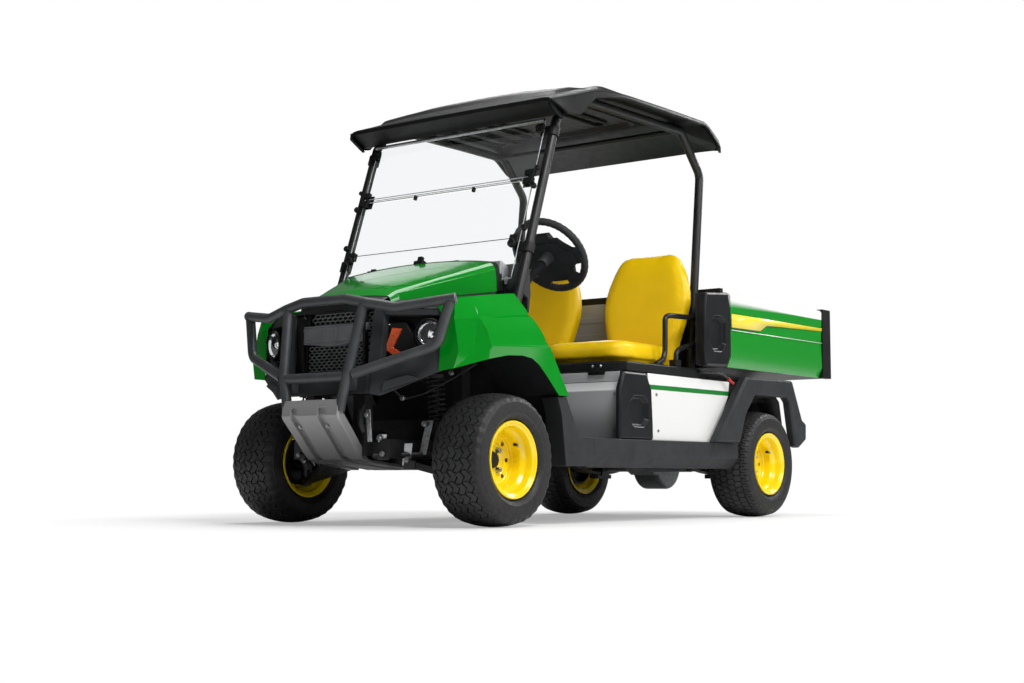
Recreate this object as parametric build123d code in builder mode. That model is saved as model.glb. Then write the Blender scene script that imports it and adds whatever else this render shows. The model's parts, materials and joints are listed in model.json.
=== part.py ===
"""Two-seat electric utility vehicle with a cargo bed, canopy and brush guard.

Millimetres. +X is the vehicle's left, -Y is forward, +Z is up.
The origin is on the floor, under the centre of the whole vehicle's box.
Stations ahead of the seats are written from the front axle, the others from the rear axle.
"""
from build123d import *
from math import atan, cos, radians, sin, sqrt
import os

os.makedirs("parts", exist_ok=True)

# ---------------------------------------------------------------- driving dimensions
AXLE_F_Y = -1088.0
WHEELBASE = 1981.0
AXLE_R_Y = AXLE_F_Y + WHEELBASE
TYRE_R = 246.0
AXLE_Z = TYRE_R
HALF_TRACK_F = 520.0
HALF_TRACK_R = 522.0
TYRE_W_F = 227.0
TYRE_W_R = 214.0
BEAD_R = 127.0
RIM_FLANGE_R = 144.0
RIM_HALF_W = 100.0
RIM_GAUGE = 4.0
FIT = 0.3
RUN = 0.05

KINGPIN_X = 436.0
KINGPIN_R = 11.0
STEER_ARM = 80.0

RAIL_X = 220.0
RAIL_W = 50.0
RAIL_H = 70.0
RAIL_Z = 287.0
RAIL_REAR_Z = 610.0

FLOOR_GAUGE = 8.0
FLOOR_Z = RAIL_Z + RAIL_H / 2 + FIT + FLOOR_GAUGE
BED_HALF_W = 635.0
STEP_X = BED_HALF_W - 35
STEP_TOP_Z = 338.0
STEP_CREASE_Z = 270.0
STEP_LOW_Z = 222.0
STEP_WALL = 6.0
DOORWAY_FRONT_Y = AXLE_F_Y + 448.0
SEAT_BASE_FRONT_Y = AXLE_R_Y - 1191.0
SEAT_BASE_REAR_Y = AXLE_R_Y - 481.0
SEAT_BASE_X = BED_HALF_W - 60
SEAT_BASE_TOP_Z = 620.0
TRAY_TOP_Z = 662.0
PANEL_GAUGE = 6.0

SEAT_IN_X = 80.0
SEAT_OUT_X = SEAT_BASE_X - 63
CUSHION_FRONT_Y = AXLE_R_Y - 1113.0
CUSHION_REAR_Y = AXLE_R_Y - 645.0
CUSHION_H = 86.0
BACK_LEAN = 10.0
BACK_THICK = 82.0
BACK_EDGE_R = 12.0
BACK_H = 545.0
BACK_W = SEAT_OUT_X - SEAT_IN_X - 14

BED_FRONT_Y = AXLE_R_Y - 429.0
BED_SIDE_FRONT_Y = BED_FRONT_Y + 48
BED_REAR_Y = AXLE_R_Y + 631.0
BED_LOW_Z = 675.0
BED_TOP_Z = 1012.0
BED_WALL = 28.0
BED_FLOOR_T = 24.0
BED_PIVOT_Y = AXLE_R_Y + 459.0
BED_PIVOT_Z = RAIL_REAR_Z
BED_PIVOT_R = 13.0
TAILGATE_T = 26.0

POST_R = 19.0
POST_X = SEAT_BASE_X - 75
ROOF_LOW_Z = 1752.0
ROOF_GAUGE = 6.0

GUARD_R = 19.0

ACROSS = (1, 0, 0)


def keep(builder, name):
    """Label a finished sub-part and write it."""
    builder.part.label = name
    export_step(builder.part, f"parts/{name}.step")


def axle_plane(x, y, z):
    """Vertical plane through an axle: local x runs along +X, local y up."""
    return Plane(origin=(x, y, z), x_dir=(1, 0, 0), z_dir=(0, -1, 0))


def run_tube(points, bend, radius):
    """Sweep a round bar along straight runs joined by tangent arcs."""
    with BuildLine() as run:
        FilletPolyline(*points, radius=bend)
    with BuildSketch(Plane(origin=run.line @ 0, z_dir=run.line % 0)) as section:
        Circle(radius)
    sweep(sections=section.sketch, path=run.line)


def slab(low, high):
    """Box between two corners."""
    middle = [(a + b) / 2 for a, b in zip(low, high)]
    size = [b - a for a, b in zip(low, high)]
    with Locations(Vector(*middle)):
        Box(*size)


# ---------------------------------------------------------------- wheels
def build_tyre(name, x, y, width):
    half = width / 2
    crown_half = half * 0.84
    shoulder_r = TYRE_R - 13.0
    bead_half = RIM_HALF_W - 11.5
    wall = 11.0
    bead_low = BEAD_R + FIT
    bead_top = bead_low + 20
    widest_r = BEAD_R + 63.0
    with BuildPart() as tyre:
        with BuildSketch(axle_plane(x, y, AXLE_Z)):
            with BuildLine():
                ThreePointArc((0, TYRE_R), (crown_half / 2, TYRE_R - 3.2), (crown_half, shoulder_r))
                ThreePointArc((crown_half, shoulder_r), (half - 3, shoulder_r - 18), (half, widest_r))
                ThreePointArc((half, widest_r), (half - 6, widest_r - 26), (bead_half, bead_top))
                Polyline(
                    (bead_half, bead_top), (bead_half, bead_low),
                    (bead_half - wall, bead_low), (bead_half - wall, bead_top + 6),
                )
                ThreePointArc(
                    (bead_half - wall, bead_top + 6), (half - wall - 5, widest_r - 20), (half - wall, widest_r),
                )
                ThreePointArc(
                    (half - wall, widest_r), (half - wall - 2, shoulder_r - 26), (crown_half - wall, shoulder_r - wall),
                )
                Line((crown_half - wall, shoulder_r - wall), (0, shoulder_r - wall))
                mirror(about=Plane.YZ)
            make_face()
        revolve(axis=Axis((x, y, AXLE_Z), ACROSS))
    keep(tyre, name)


HUB_BORE_R = 33.0
STUD_CIRCLE_R = 50.8
STUD_R = 6.0
DISC_FACE = -8.0
DISC_T = 6.0
DROP_R = 104.0
VENTS = 8
VENT_R = 83.2
VENT_W = 17.0
VENT_H = 23.0


def build_rim(name, x, y, side):
    """Deep-dished steel wheel; side is +1 where the dish opens to +X."""
    seat = BEAD_R
    lip = RIM_HALF_W
    g = RIM_GAUGE
    outer = [
        (lip, RIM_FLANGE_R), (lip - 6, RIM_FLANGE_R), (lip - 11, RIM_FLANGE_R - 7), (lip - 11, seat),
        (lip - 38, seat), (lip - 58, DROP_R + g), (-lip + 58, DROP_R + g), (-lip + 38, seat),
        (-lip + 11, seat), (-lip + 11, RIM_FLANGE_R - 7), (-lip + 6, RIM_FLANGE_R), (-lip, RIM_FLANGE_R),
        (-lip, RIM_FLANGE_R - g), (-lip + 7 - g, seat - 2), (-lip + 11, seat - g), (-lip + 36, seat - g),
        (-lip + 56, DROP_R), (lip - 56, DROP_R), (lip - 36, seat - g), (lip - 11, seat - g),
        (lip - 7 + g, seat - 2), (lip, RIM_FLANGE_R - g),
    ]
    face = DISC_FACE
    disc = [
        (face, HUB_BORE_R), (face, 66), (face + 7, 74), (face + 7, 94), (face + 16, DROP_R + 1),
        (face + 16 - DISC_T, DROP_R + 1), (face + 7 - DISC_T, 97), (face + 7 - DISC_T, 74),
        (face - DISC_T, 66), (face - DISC_T, HUB_BORE_R),
    ]
    centre = Plane(origin=(x, y, AXLE_Z), x_dir=(0, side, 0), z_dir=(side, 0, 0))
    with BuildPart() as rim:
        with BuildSketch(axle_plane(x, y, AXLE_Z)):
            Polygon(*[(side * a, r) for a, r in outer], align=None)
            Polygon(*[(side * a, r) for a, r in disc], align=None)
        revolve(axis=Axis((x, y, AXLE_Z), ACROSS))
        with BuildSketch(centre):
            with PolarLocations(STUD_CIRCLE_R, 4, start_angle=45):
                Circle(STUD_R + FIT)
            with PolarLocations(VENT_R, VENTS, start_angle=22.5):
                Trapezoid(VENT_W, VENT_H, 98, rotation=90)
        extrude(amount=40, both=True, mode=Mode.SUBTRACT)
    keep(rim, name)


DRUM_R = 92.0


def build_hub(name, x, y, side, inner, bore):
    """Hub, drum and cap that turn with the wheel; inner is the drum's inboard reach from the tyre's centre."""
    back = DISC_FACE - DISC_T
    centre = Plane(origin=(x, y, AXLE_Z), x_dir=(0, side, 0), z_dir=(side, 0, 0))
    cap_r = HUB_BORE_R - 1.0
    profile = [
        (back, bore), (back, DRUM_R - 8), (back - 8, DRUM_R), (inner, DRUM_R), (inner, DRUM_R - 6),
        (back - 12, DRUM_R - 6), (back - 12, 34), (inner + 8, 30), (inner + 8, bore),
    ]
    with BuildPart() as hub:
        with BuildSketch(axle_plane(x, y, AXLE_Z)):
            Polygon(*[(side * a, r) for a, r in profile], align=None)
        revolve(axis=Axis((x, y, AXLE_Z), ACROSS))
        with BuildSketch(centre.offset(back)):
            Circle(cap_r)
        extrude(amount=-back + DISC_FACE + 12, taper=12)
        fillet(hub.faces().sort_by(Axis((x, y, AXLE_Z), (side, 0, 0)))[-1].edges(), 8)
        with BuildSketch(centre.offset(back)):
            with PolarLocations(STUD_CIRCLE_R, 4, start_angle=45):
                Circle(STUD_R)
        extrude(amount=DISC_T + 14)
    keep(hub, name)


WHEELS = {
    "fl": (HALF_TRACK_F, AXLE_F_Y, 1, TYRE_W_F),
    "fr": (-HALF_TRACK_F, AXLE_F_Y, -1, TYRE_W_F),
    "rl": (HALF_TRACK_R, AXLE_R_Y, 1, TYRE_W_R),
    "rr": (-HALF_TRACK_R, AXLE_R_Y, -1, TYRE_W_R),
}
SPINDLE_R = 14.0
HUB_INNER_F = -58.0
HUB_INNER_R = -70.0
for corner, (wheel_x, wheel_y, wheel_side, tyre_w) in WHEELS.items():
    build_tyre(f"tyre_{corner}", wheel_x, wheel_y, tyre_w)
    build_rim(f"rim_{corner}", wheel_x, wheel_y, wheel_side)
    hub_inner = HUB_INNER_F if corner[0] == "f" else HUB_INNER_R
    build_hub(f"hub_{corner}", wheel_x, wheel_y, wheel_side, hub_inner, SPINDLE_R + RUN)

# ---------------------------------------------------------------- knuckles
KINGPIN_LOW_Z = AXLE_Z - 62.0
KINGPIN_TOP_Z = AXLE_Z + 62.0
STEER_ARM_Z = AXLE_Z - 40.0
STEER_ARM_T = 10.0


def build_knuckle(name, side):
    """Kingpin boss, spindle and steering arm of one front wheel."""
    x = side * KINGPIN_X
    spindle_end = side * (HALF_TRACK_F + DISC_FACE - DISC_T - 3)
    with BuildPart() as knuckle:
        with BuildSketch(Plane(origin=(x, AXLE_F_Y, KINGPIN_LOW_Z), z_dir=(0, 0, 1))):
            Circle(21)
        extrude(amount=KINGPIN_TOP_Z - KINGPIN_LOW_Z)
        with BuildSketch(Plane(origin=(x, AXLE_F_Y, AXLE_Z), z_dir=(side, 0, 0))):
            Circle(SPINDLE_R)
        extrude(amount=abs(spindle_end - x))
        with BuildSketch(Plane.XY.offset(STEER_ARM_Z - STEER_ARM_T / 2)):
            with BuildLine():
                Polyline(
                    (x - 16, AXLE_F_Y), (x - 13, AXLE_F_Y + STEER_ARM),
                    (x + 13, AXLE_F_Y + STEER_ARM), (x + 16, AXLE_F_Y), (x - 16, AXLE_F_Y),
                )
            make_face()
            with Locations((x, AXLE_F_Y + STEER_ARM)):
                Circle(15)
        extrude(amount=STEER_ARM_T)
        with BuildSketch(Plane(origin=(x, AXLE_F_Y, KINGPIN_LOW_Z), z_dir=(0, 0, 1))):
            Circle(KINGPIN_R + RUN)
        extrude(amount=KINGPIN_TOP_Z - KINGPIN_LOW_Z, mode=Mode.SUBTRACT)
    keep(knuckle, name)


build_knuckle("knuckle_left", 1)
build_knuckle("knuckle_right", -1)

# ---------------------------------------------------------------- steering rack
RACK_R = 12.0
RACK_HALF = 210.0
RACK_Y = AXLE_F_Y + STEER_ARM
RACK_Z = STEER_ARM_Z + 26.0
RACK_HOUSING_HALF = 140.0
TIE_R = 8.0
JOINT_R = 14.0
with BuildPart() as steering_rack:
    with BuildSketch(Plane(origin=(0, RACK_Y, RACK_Z), x_dir=(1, 0, 0), z_dir=(0, -1, 0))):
        tie_end = KINGPIN_X - JOINT_R + 2
        Polygon(
            (-tie_end, 0), (-tie_end, TIE_R), (-RACK_HALF, TIE_R), (-RACK_HALF, RACK_R),
            (RACK_HALF, RACK_R), (RACK_HALF, TIE_R), (tie_end, TIE_R), (tie_end, 0),
            align=None,
        )
    revolve(axis=Axis((0, RACK_Y, RACK_Z), ACROSS))
    with Locations((KINGPIN_X, RACK_Y, RACK_Z), (-KINGPIN_X, RACK_Y, RACK_Z)):
        Cylinder(JOINT_R, 24)
keep(steering_rack, "steering_rack")

# ---------------------------------------------------------------- frame
RAIL_FRONT_Y = AXLE_F_Y - 262.0
HORN_Y = AXLE_F_Y - 293.7
RAIL_RISE_Y = AXLE_R_Y - 421.0
RAIL_REAR_Y = BED_PIVOT_Y + 48
TOWER_X = 262.0
TOWER_TOP_Z = 610.0
ARM_PIVOT_X = 150.0
ARM_PIVOT_Z = AXLE_Z + 4.0
ARM_PIVOT_R = 8.0
HITCH_OUT = 63.0
HITCH_BORE = 51.0
HITCH_Z = 330.0
HITCH_REAR_Y = AXLE_R_Y + 579.0
HITCH_PIN_R = 8.0
CROSS_TOP_Z = STEP_TOP_Z - STEP_WALL - FIT
with BuildPart() as frame:
    for side in (1, -1):
        with BuildLine() as rail_run:
            FilletPolyline(
                (side * RAIL_X, RAIL_FRONT_Y, RAIL_Z),
                (side * RAIL_X, RAIL_RISE_Y, RAIL_Z),
                (side * RAIL_X, RAIL_RISE_Y + 150, RAIL_REAR_Z),
                (side * RAIL_X, RAIL_REAR_Y, RAIL_REAR_Z),
                radius=70,
            )
        with BuildSketch(Plane(origin=rail_run.line @ 0, x_dir=(1, 0, 0), z_dir=(0, 1, 0))) as rail_section:
            Rectangle(RAIL_W, RAIL_H)
        sweep(sections=rail_section.sketch, path=rail_run.line)
        slab((side * TOWER_X - 22, AXLE_F_Y + 110, RAIL_Z - 20), (side * TOWER_X + 22, AXLE_F_Y + 160, TOWER_TOP_Z))
        slab((side * 130 - 20, HORN_Y, RAIL_Z - 25), (side * 130 + 20, HORN_Y + 44, 560))
        for lug_y in (AXLE_F_Y - 135, AXLE_F_Y + 63):
            slab(
                (side * 168 - 38, lug_y, ARM_PIVOT_Z - 14),
                (side * 168 + 38, lug_y + 12, RAIL_Z + 20),
            )
        with BuildSketch(Plane(origin=(side * ARM_PIVOT_X, AXLE_F_Y - 135, ARM_PIVOT_Z), z_dir=(0, 1, 0))):
            Circle(ARM_PIVOT_R)
        extrude(amount=200)
    cross = RAIL_X + RAIL_W / 2
    slab((-cross, RAIL_FRONT_Y, RAIL_Z - 25), (cross, RAIL_FRONT_Y + 50, RAIL_Z + 25))
    slab((-TOWER_X - 22, AXLE_F_Y + 110, TOWER_TOP_Z - 50), (TOWER_X + 22, AXLE_F_Y + 160, TOWER_TOP_Z))
    slab((-STEP_X + 80.3, AXLE_F_Y + 430, RAIL_Z - 25), (STEP_X - 80.3, AXLE_F_Y + 490, RAIL_Z + 25))
    slab((-STEP_X + 60, SEAT_BASE_FRONT_Y + 40, RAIL_Z - 20), (STEP_X - 60, SEAT_BASE_FRONT_Y + 90, CROSS_TOP_Z))
    slab((-STEP_X + 60, AXLE_R_Y - 549, RAIL_Z - 20), (STEP_X - 60, AXLE_R_Y - 495, CROSS_TOP_Z))
    slab((-cross, AXLE_R_Y - 220, RAIL_REAR_Z - 30), (cross, AXLE_R_Y - 170, RAIL_REAR_Z + 20))
    slab((-cross, RAIL_REAR_Y - 50, RAIL_REAR_Z - 30), (cross, RAIL_REAR_Y, RAIL_REAR_Z + 20))
    with BuildSketch(Plane(origin=(0, BED_PIVOT_Y, BED_PIVOT_Z), z_dir=(1, 0, 0))):
        Circle(BED_PIVOT_R)
    extrude(amount=RAIL_X + RAIL_W / 2 + 40, both=True)
    with BuildSketch(Plane(origin=(0, RACK_Y, RACK_Z), z_dir=(1, 0, 0))):
        Circle(RACK_R + 9)
    extrude(amount=RACK_HOUSING_HALF, both=True)
    slab((-60, RACK_Y - 10, RACK_Z), (60, RACK_Y + 62, RAIL_Z))
    slab((-cross, RACK_Y + 26, RAIL_Z - 25), (cross, RACK_Y + 66, RAIL_Z + 25))
    with BuildSketch(Plane(origin=(0, RACK_Y, RACK_Z), z_dir=(1, 0, 0))):
        Circle(RACK_R + RUN)
    extrude(amount=RACK_HALF + 30, both=True, mode=Mode.SUBTRACT)
keep(frame, "frame")

# square drawbar socket, hung from the rear cross-member by two cheeks
HITCH_CHEEK_T = 8.0
HITCH_HANG_Z = RAIL_REAR_Z - 30 - FIT
with BuildPart() as hitch_receiver:
    half = HITCH_OUT / 2
    slab((-half, HITCH_REAR_Y - 180, HITCH_Z - half), (half, HITCH_REAR_Y, HITCH_Z + half))
    slab((-half - 14, RAIL_REAR_Y - 50, HITCH_HANG_Z - 8), (half + 14, RAIL_REAR_Y, HITCH_HANG_Z))
    for side in (1, -1):
        with BuildSketch(Plane.YZ.offset(side * (half + HITCH_CHEEK_T / 2))):
            Polygon(
                (RAIL_REAR_Y - 50, HITCH_HANG_Z), (RAIL_REAR_Y - 2, HITCH_HANG_Z),
                (RAIL_REAR_Y - 2, HITCH_Z - half), (HITCH_REAR_Y - 180, HITCH_Z - half),
                (HITCH_REAR_Y - 180, HITCH_Z + half),
                align=None,
            )
        extrude(amount=HITCH_CHEEK_T / 2, both=True)
    with BuildSketch(Plane(origin=(0, HITCH_REAR_Y, HITCH_Z), z_dir=(0, -1, 0))):
        Rectangle(HITCH_BORE, HITCH_BORE)
    extrude(amount=140, mode=Mode.SUBTRACT)
    with BuildSketch(Plane(origin=(0, HITCH_REAR_Y - 60, HITCH_Z), z_dir=(1, 0, 0))):
        Circle(HITCH_PIN_R)
    extrude(amount=60, both=True, mode=Mode.SUBTRACT)
keep(hitch_receiver, "hitch_receiver")

# ---------------------------------------------------------------- front suspension
ARM_T = 26.0
arm_slope = (ARM_PIVOT_Z - KINGPIN_LOW_Z + 15) / (KINGPIN_X - ARM_PIVOT_X)
arm_len = sqrt((KINGPIN_X - ARM_PIVOT_X) ** 2 * (1 + arm_slope**2))
with BuildPart() as front_arms:
    arm_plane = Plane(
        origin=(ARM_PIVOT_X, AXLE_F_Y, ARM_PIVOT_Z), x_dir=(1, 0, -arm_slope), z_dir=(arm_slope, 0, 1),
    )
    with BuildSketch(arm_plane.offset(-ARM_T / 2)):
        with BuildLine():
            Polyline(
                (0, -120), (60, -120), (arm_len, -18), (arm_len, 18), (60, 60), (0, 60),
                (0, 20), (90, 0), (90, -40), (0, -80), (0, -120),
            )
        make_face()
    extrude(amount=ARM_T)
    with BuildSketch(Plane(origin=(KINGPIN_X, AXLE_F_Y, KINGPIN_LOW_Z - FIT), z_dir=(0, 0, -1))):
        Circle(20)
    extrude(amount=ARM_T + 8)
    with Locations((KINGPIN_X, AXLE_F_Y, KINGPIN_LOW_Z - FIT + 50)):
        Box(140, 80, 100, mode=Mode.SUBTRACT)
    with BuildSketch(Plane(origin=(KINGPIN_X, AXLE_F_Y, KINGPIN_LOW_Z - ARM_T), z_dir=(0, 0, 1))):
        Circle(KINGPIN_R)
    extrude(amount=KINGPIN_TOP_Z - KINGPIN_LOW_Z + ARM_T + 8)
    for low_y, high_y in ((-120, -80), (20, 60)):
        with BuildSketch(Plane(origin=(ARM_PIVOT_X, AXLE_F_Y + low_y, ARM_PIVOT_Z), z_dir=(0, 1, 0))):
            Circle(15)
        extrude(amount=high_y - low_y)
    with BuildSketch(Plane(origin=(ARM_PIVOT_X, AXLE_F_Y - 130, ARM_PIVOT_Z), z_dir=(0, 1, 0))):
        Circle(ARM_PIVOT_R + FIT)
    extrude(amount=200, mode=Mode.SUBTRACT)
    mirror(about=Plane.YZ)
keep(front_arms, "front_arms")

STRUT_LOW_X = 300.0
STRUT_TOP_X = 275.0
STRUT_Y = AXLE_F_Y - 40.0
STRUT_TOP_Z = 604.0
COIL_R = 34.0
strut_low_z = ARM_PIVOT_Z - arm_slope * (STRUT_LOW_X - ARM_PIVOT_X) + ARM_T / 2 * sqrt(1 + arm_slope**2)
with BuildPart() as front_struts:
    low = Vector(STRUT_LOW_X, STRUT_Y, strut_low_z + 8)
    top = Vector(STRUT_TOP_X, STRUT_Y, STRUT_TOP_Z)
    axis_dir = (top - low).normalized()
    with BuildSketch(Plane(origin=low, z_dir=axis_dir)):
        Circle(18)
    extrude(amount=190)
    with BuildSketch(Plane(origin=low, z_dir=axis_dir)):
        Circle(9)
    extrude(amount=(top - low).length)
    for turn in range(9):
        with BuildSketch(Plane(origin=low + axis_dir * (105 + 28 * turn), z_dir=axis_dir)):
            Circle(COIL_R)
        extrude(amount=12)
    bracket_x = RAIL_X + RAIL_W / 2 + FIT
    slab((bracket_x, STRUT_Y - 30, STRUT_TOP_Z - 6), (STRUT_TOP_X + 40, STRUT_Y + 30, STRUT_TOP_Z + 8))
    slab((bracket_x, STRUT_Y - 75, RAIL_Z - 25), (bracket_x + 8, STRUT_Y - 45, STRUT_TOP_Z + 8))
    slab((bracket_x, STRUT_Y - 75, STRUT_TOP_Z - 6), (STRUT_TOP_X + 20, STRUT_Y, STRUT_TOP_Z + 8))
    mirror(about=Plane.YZ)
keep(front_struts, "front_struts")

# ---------------------------------------------------------------- rear axle and springs
AXLE_TUBE_R = 34.0
with BuildPart() as drive_unit:
    hub_face = HALF_TRACK_R + HUB_INNER_R + 8
    with BuildSketch(Plane(origin=(0, AXLE_R_Y, AXLE_Z), z_dir=(1, 0, 0))):
        Circle(AXLE_TUBE_R)
    extrude(amount=hub_face - 6, both=True)
    with BuildSketch(Plane(origin=(0, AXLE_R_Y, AXLE_Z), z_dir=(1, 0, 0))):
        Circle(SPINDLE_R)
    extrude(amount=HALF_TRACK_R + DISC_FACE - DISC_T - 3, both=True)
    with BuildSketch(Plane(origin=(0, AXLE_R_Y, AXLE_Z), z_dir=(1, 0, 0))):
        Circle(118)
    extrude(amount=70, both=True)
    fillet(drive_unit.edges().filter_by(GeomType.CIRCLE).filter_by(lambda e: e.radius > 100), 18)
    with BuildSketch(Plane(origin=(70, AXLE_R_Y - 165, AXLE_Z + 55), z_dir=(1, 0, 0))):
        Circle(92)
    extrude(amount=220)
    with BuildSketch(Plane(origin=(-70, AXLE_R_Y, AXLE_Z), x_dir=(0, 1, 0), z_dir=(1, 0, 0))):
        with BuildLine():
            Polyline((-220, 0), (-220, 110), (-60, 110), (0, 60), (0, -40), (-120, -50), (-220, 0))
        make_face()
    extrude(amount=140)
keep(drive_unit, "drive_unit")

SPRING_X = 330.0
SPRING_W = 50.0
SPRING_FRONT_Y = AXLE_R_Y - 420.0
SPRING_REAR_Y = AXLE_R_Y + 400.0
SPRING_EYE_Z = 330.0
SPRING_SEAT_Z = AXLE_Z - AXLE_TUBE_R - 2
with BuildPart() as rear_springs:
    for side in (1, -1):
        with BuildSketch(Plane(origin=(side * SPRING_X - SPRING_W / 2, AXLE_R_Y, 0), x_dir=(0, 1, 0), z_dir=(1, 0, 0))):
            with BuildLine():
                ThreePointArc((-420, SPRING_EYE_Z), (0, SPRING_SEAT_Z), (400, SPRING_EYE_Z))
                Line((400, SPRING_EYE_Z), (400, SPRING_EYE_Z - 12))
                ThreePointArc((400, SPRING_EYE_Z - 12), (0, SPRING_SEAT_Z - 12), (-420, SPRING_EYE_Z - 12))
                Line((-420, SPRING_EYE_Z - 12), (-420, SPRING_EYE_Z))
            make_face()
            with Locations((-420, SPRING_EYE_Z - 6), (400, SPRING_EYE_Z - 6)):
                Circle(20)
            with Locations((0, SPRING_SEAT_Z - 22)):
                Rectangle(120, 20)
        extrude(amount=SPRING_W)
        slab(
            (side * SPRING_X - 30, AXLE_R_Y - 30, SPRING_SEAT_Z - 20),
            (side * SPRING_X + 30, AXLE_R_Y + 30, AXLE_Z + AXLE_TUBE_R + 8),
        )
        slab(
            (side * (SPRING_X - 43) - 43, SPRING_FRONT_Y - 20, RAIL_Z - 20),
            (side * (SPRING_X - 43) + 43, SPRING_FRONT_Y + 20, RAIL_Z + 60),
        )
        slab(
            (side * (SPRING_X - 43) - 43, SPRING_REAR_Y - 20, SPRING_EYE_Z),
            (side * (SPRING_X - 43) + 43, SPRING_REAR_Y + 20, RAIL_REAR_Z - RAIL_H / 2),
        )
    with BuildSketch(Plane(origin=(0, AXLE_R_Y, AXLE_Z), z_dir=(1, 0, 0))):
        Circle(AXLE_TUBE_R + 0.2)
    extrude(amount=HALF_TRACK_R, both=True, mode=Mode.SUBTRACT)
    for side in (1, -1):
        middle = (side * RAIL_X, (SPRING_FRONT_Y + SPRING_REAR_Y) / 2, (RAIL_Z + RAIL_REAR_Z) / 2)
        with Locations(middle):
            Box(RAIL_W + 1, 2000, 700, mode=Mode.SUBTRACT)
keep(rear_springs, "rear_springs")

with BuildPart() as battery_pack:
    slab((-RAIL_X + 30, AXLE_R_Y - 1141, CROSS_TOP_Z + FIT), (RAIL_X - 30, AXLE_R_Y - 601, SEAT_BASE_TOP_Z - 30))
    fillet(battery_pack.edges().filter_by(Axis.Z), 15)
keep(battery_pack, "battery_pack")

# ---------------------------------------------------------------- floor, steps and seat base
TOE_Y = AXLE_F_Y + 318.0
TOE_TOP_Z = 820.0
FENDER_IN_X = 402.0
with BuildPart() as floor:
    floor_half = STEP_X - 90 - FIT
    slab((-floor_half, DOORWAY_FRONT_Y - 60, FLOOR_Z - FLOOR_GAUGE), (floor_half, SEAT_BASE_FRONT_Y - 7, FLOOR_Z))
    with BuildSketch(Plane.YZ.offset(-FENDER_IN_X + 2)):
        Polygon(
            (DOORWAY_FRONT_Y - 60, FLOOR_Z - FLOOR_GAUGE), (TOE_Y, FLOOR_Z + 90), (TOE_Y, TOE_TOP_Z),
            (TOE_Y + FLOOR_GAUGE, TOE_TOP_Z), (TOE_Y + FLOOR_GAUGE, FLOOR_Z + 94), (DOORWAY_FRONT_Y - 56, FLOOR_Z),
            align=None,
        )
    extrude(amount=2 * FENDER_IN_X - 4)
    for side in (1, -1):
        with BuildSketch(Plane.YZ.offset(side * (FENDER_IN_X - 2 + floor_half) / 2)):
            Polygon(
                (DOORWAY_FRONT_Y - 60, FLOOR_Z - FLOOR_GAUGE), (AXLE_F_Y + 366, 492), (AXLE_F_Y + 251, 675),
                (AXLE_F_Y + 200, 730), (AXLE_F_Y + 320, 730), (AXLE_F_Y + 320, 722), (AXLE_F_Y + 218, 722),
                (AXLE_F_Y + 258, 679), (AXLE_F_Y + 374, 494), (DOORWAY_FRONT_Y - 54, FLOOR_Z),
                align=None,
            )
        extrude(amount=(floor_half - FENDER_IN_X + 2) / 2, both=True)
    rib_y = (DOORWAY_FRONT_Y + SEAT_BASE_FRONT_Y) / 2 - 20
    with BuildSketch(Plane.XY.offset(FLOOR_Z)):
        with Locations((0, rib_y)):
            with GridLocations(64, 1, 14, 1):
                SlotOverall(300, 22, rotation=90)
    extrude(amount=4)
keep(floor, "floor")

STEP_FRONT_Y = AXLE_F_Y + 548.0
STEP_REAR_Y = AXLE_R_Y - 265.0
step_section = [
    (STEP_X - 110, STEP_TOP_Z), (STEP_X, STEP_TOP_Z), (STEP_X, STEP_CREASE_Z), (STEP_X - 38, STEP_LOW_Z),
    (STEP_X - 70, STEP_LOW_Z), (STEP_X - 70, STEP_LOW_Z + STEP_WALL), (STEP_X - 42, STEP_LOW_Z + STEP_WALL),
    (STEP_X - STEP_WALL, STEP_CREASE_Z + 3), (STEP_X - STEP_WALL, STEP_TOP_Z - STEP_WALL),
    (STEP_X - 110, STEP_TOP_Z - STEP_WALL),
]
leg_outline = [
    (AXLE_F_Y + 363, 490), (AXLE_F_Y + 448, 342), (STEP_FRONT_Y - FIT, STEP_TOP_Z), (STEP_FRONT_Y - FIT, STEP_LOW_Z + 4),
    (AXLE_F_Y + 357, STEP_LOW_Z + 4), (AXLE_F_Y + 330, 420), (AXLE_F_Y + 303, 490),
]
with BuildPart() as side_steps:
    with BuildSketch(Plane(origin=(0, STEP_FRONT_Y, 0), x_dir=(1, 0, 0), z_dir=(0, -1, 0))):
        Polygon(*step_section, align=None)
    extrude(amount=-(STEP_REAR_Y - STEP_FRONT_Y))
    with BuildSketch(Plane.YZ.offset(STEP_X - 80)):
        Polygon(*leg_outline, align=None)
    extrude(amount=80)
    mirror(about=Plane.YZ)
keep(side_steps, "side_steps")

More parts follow.
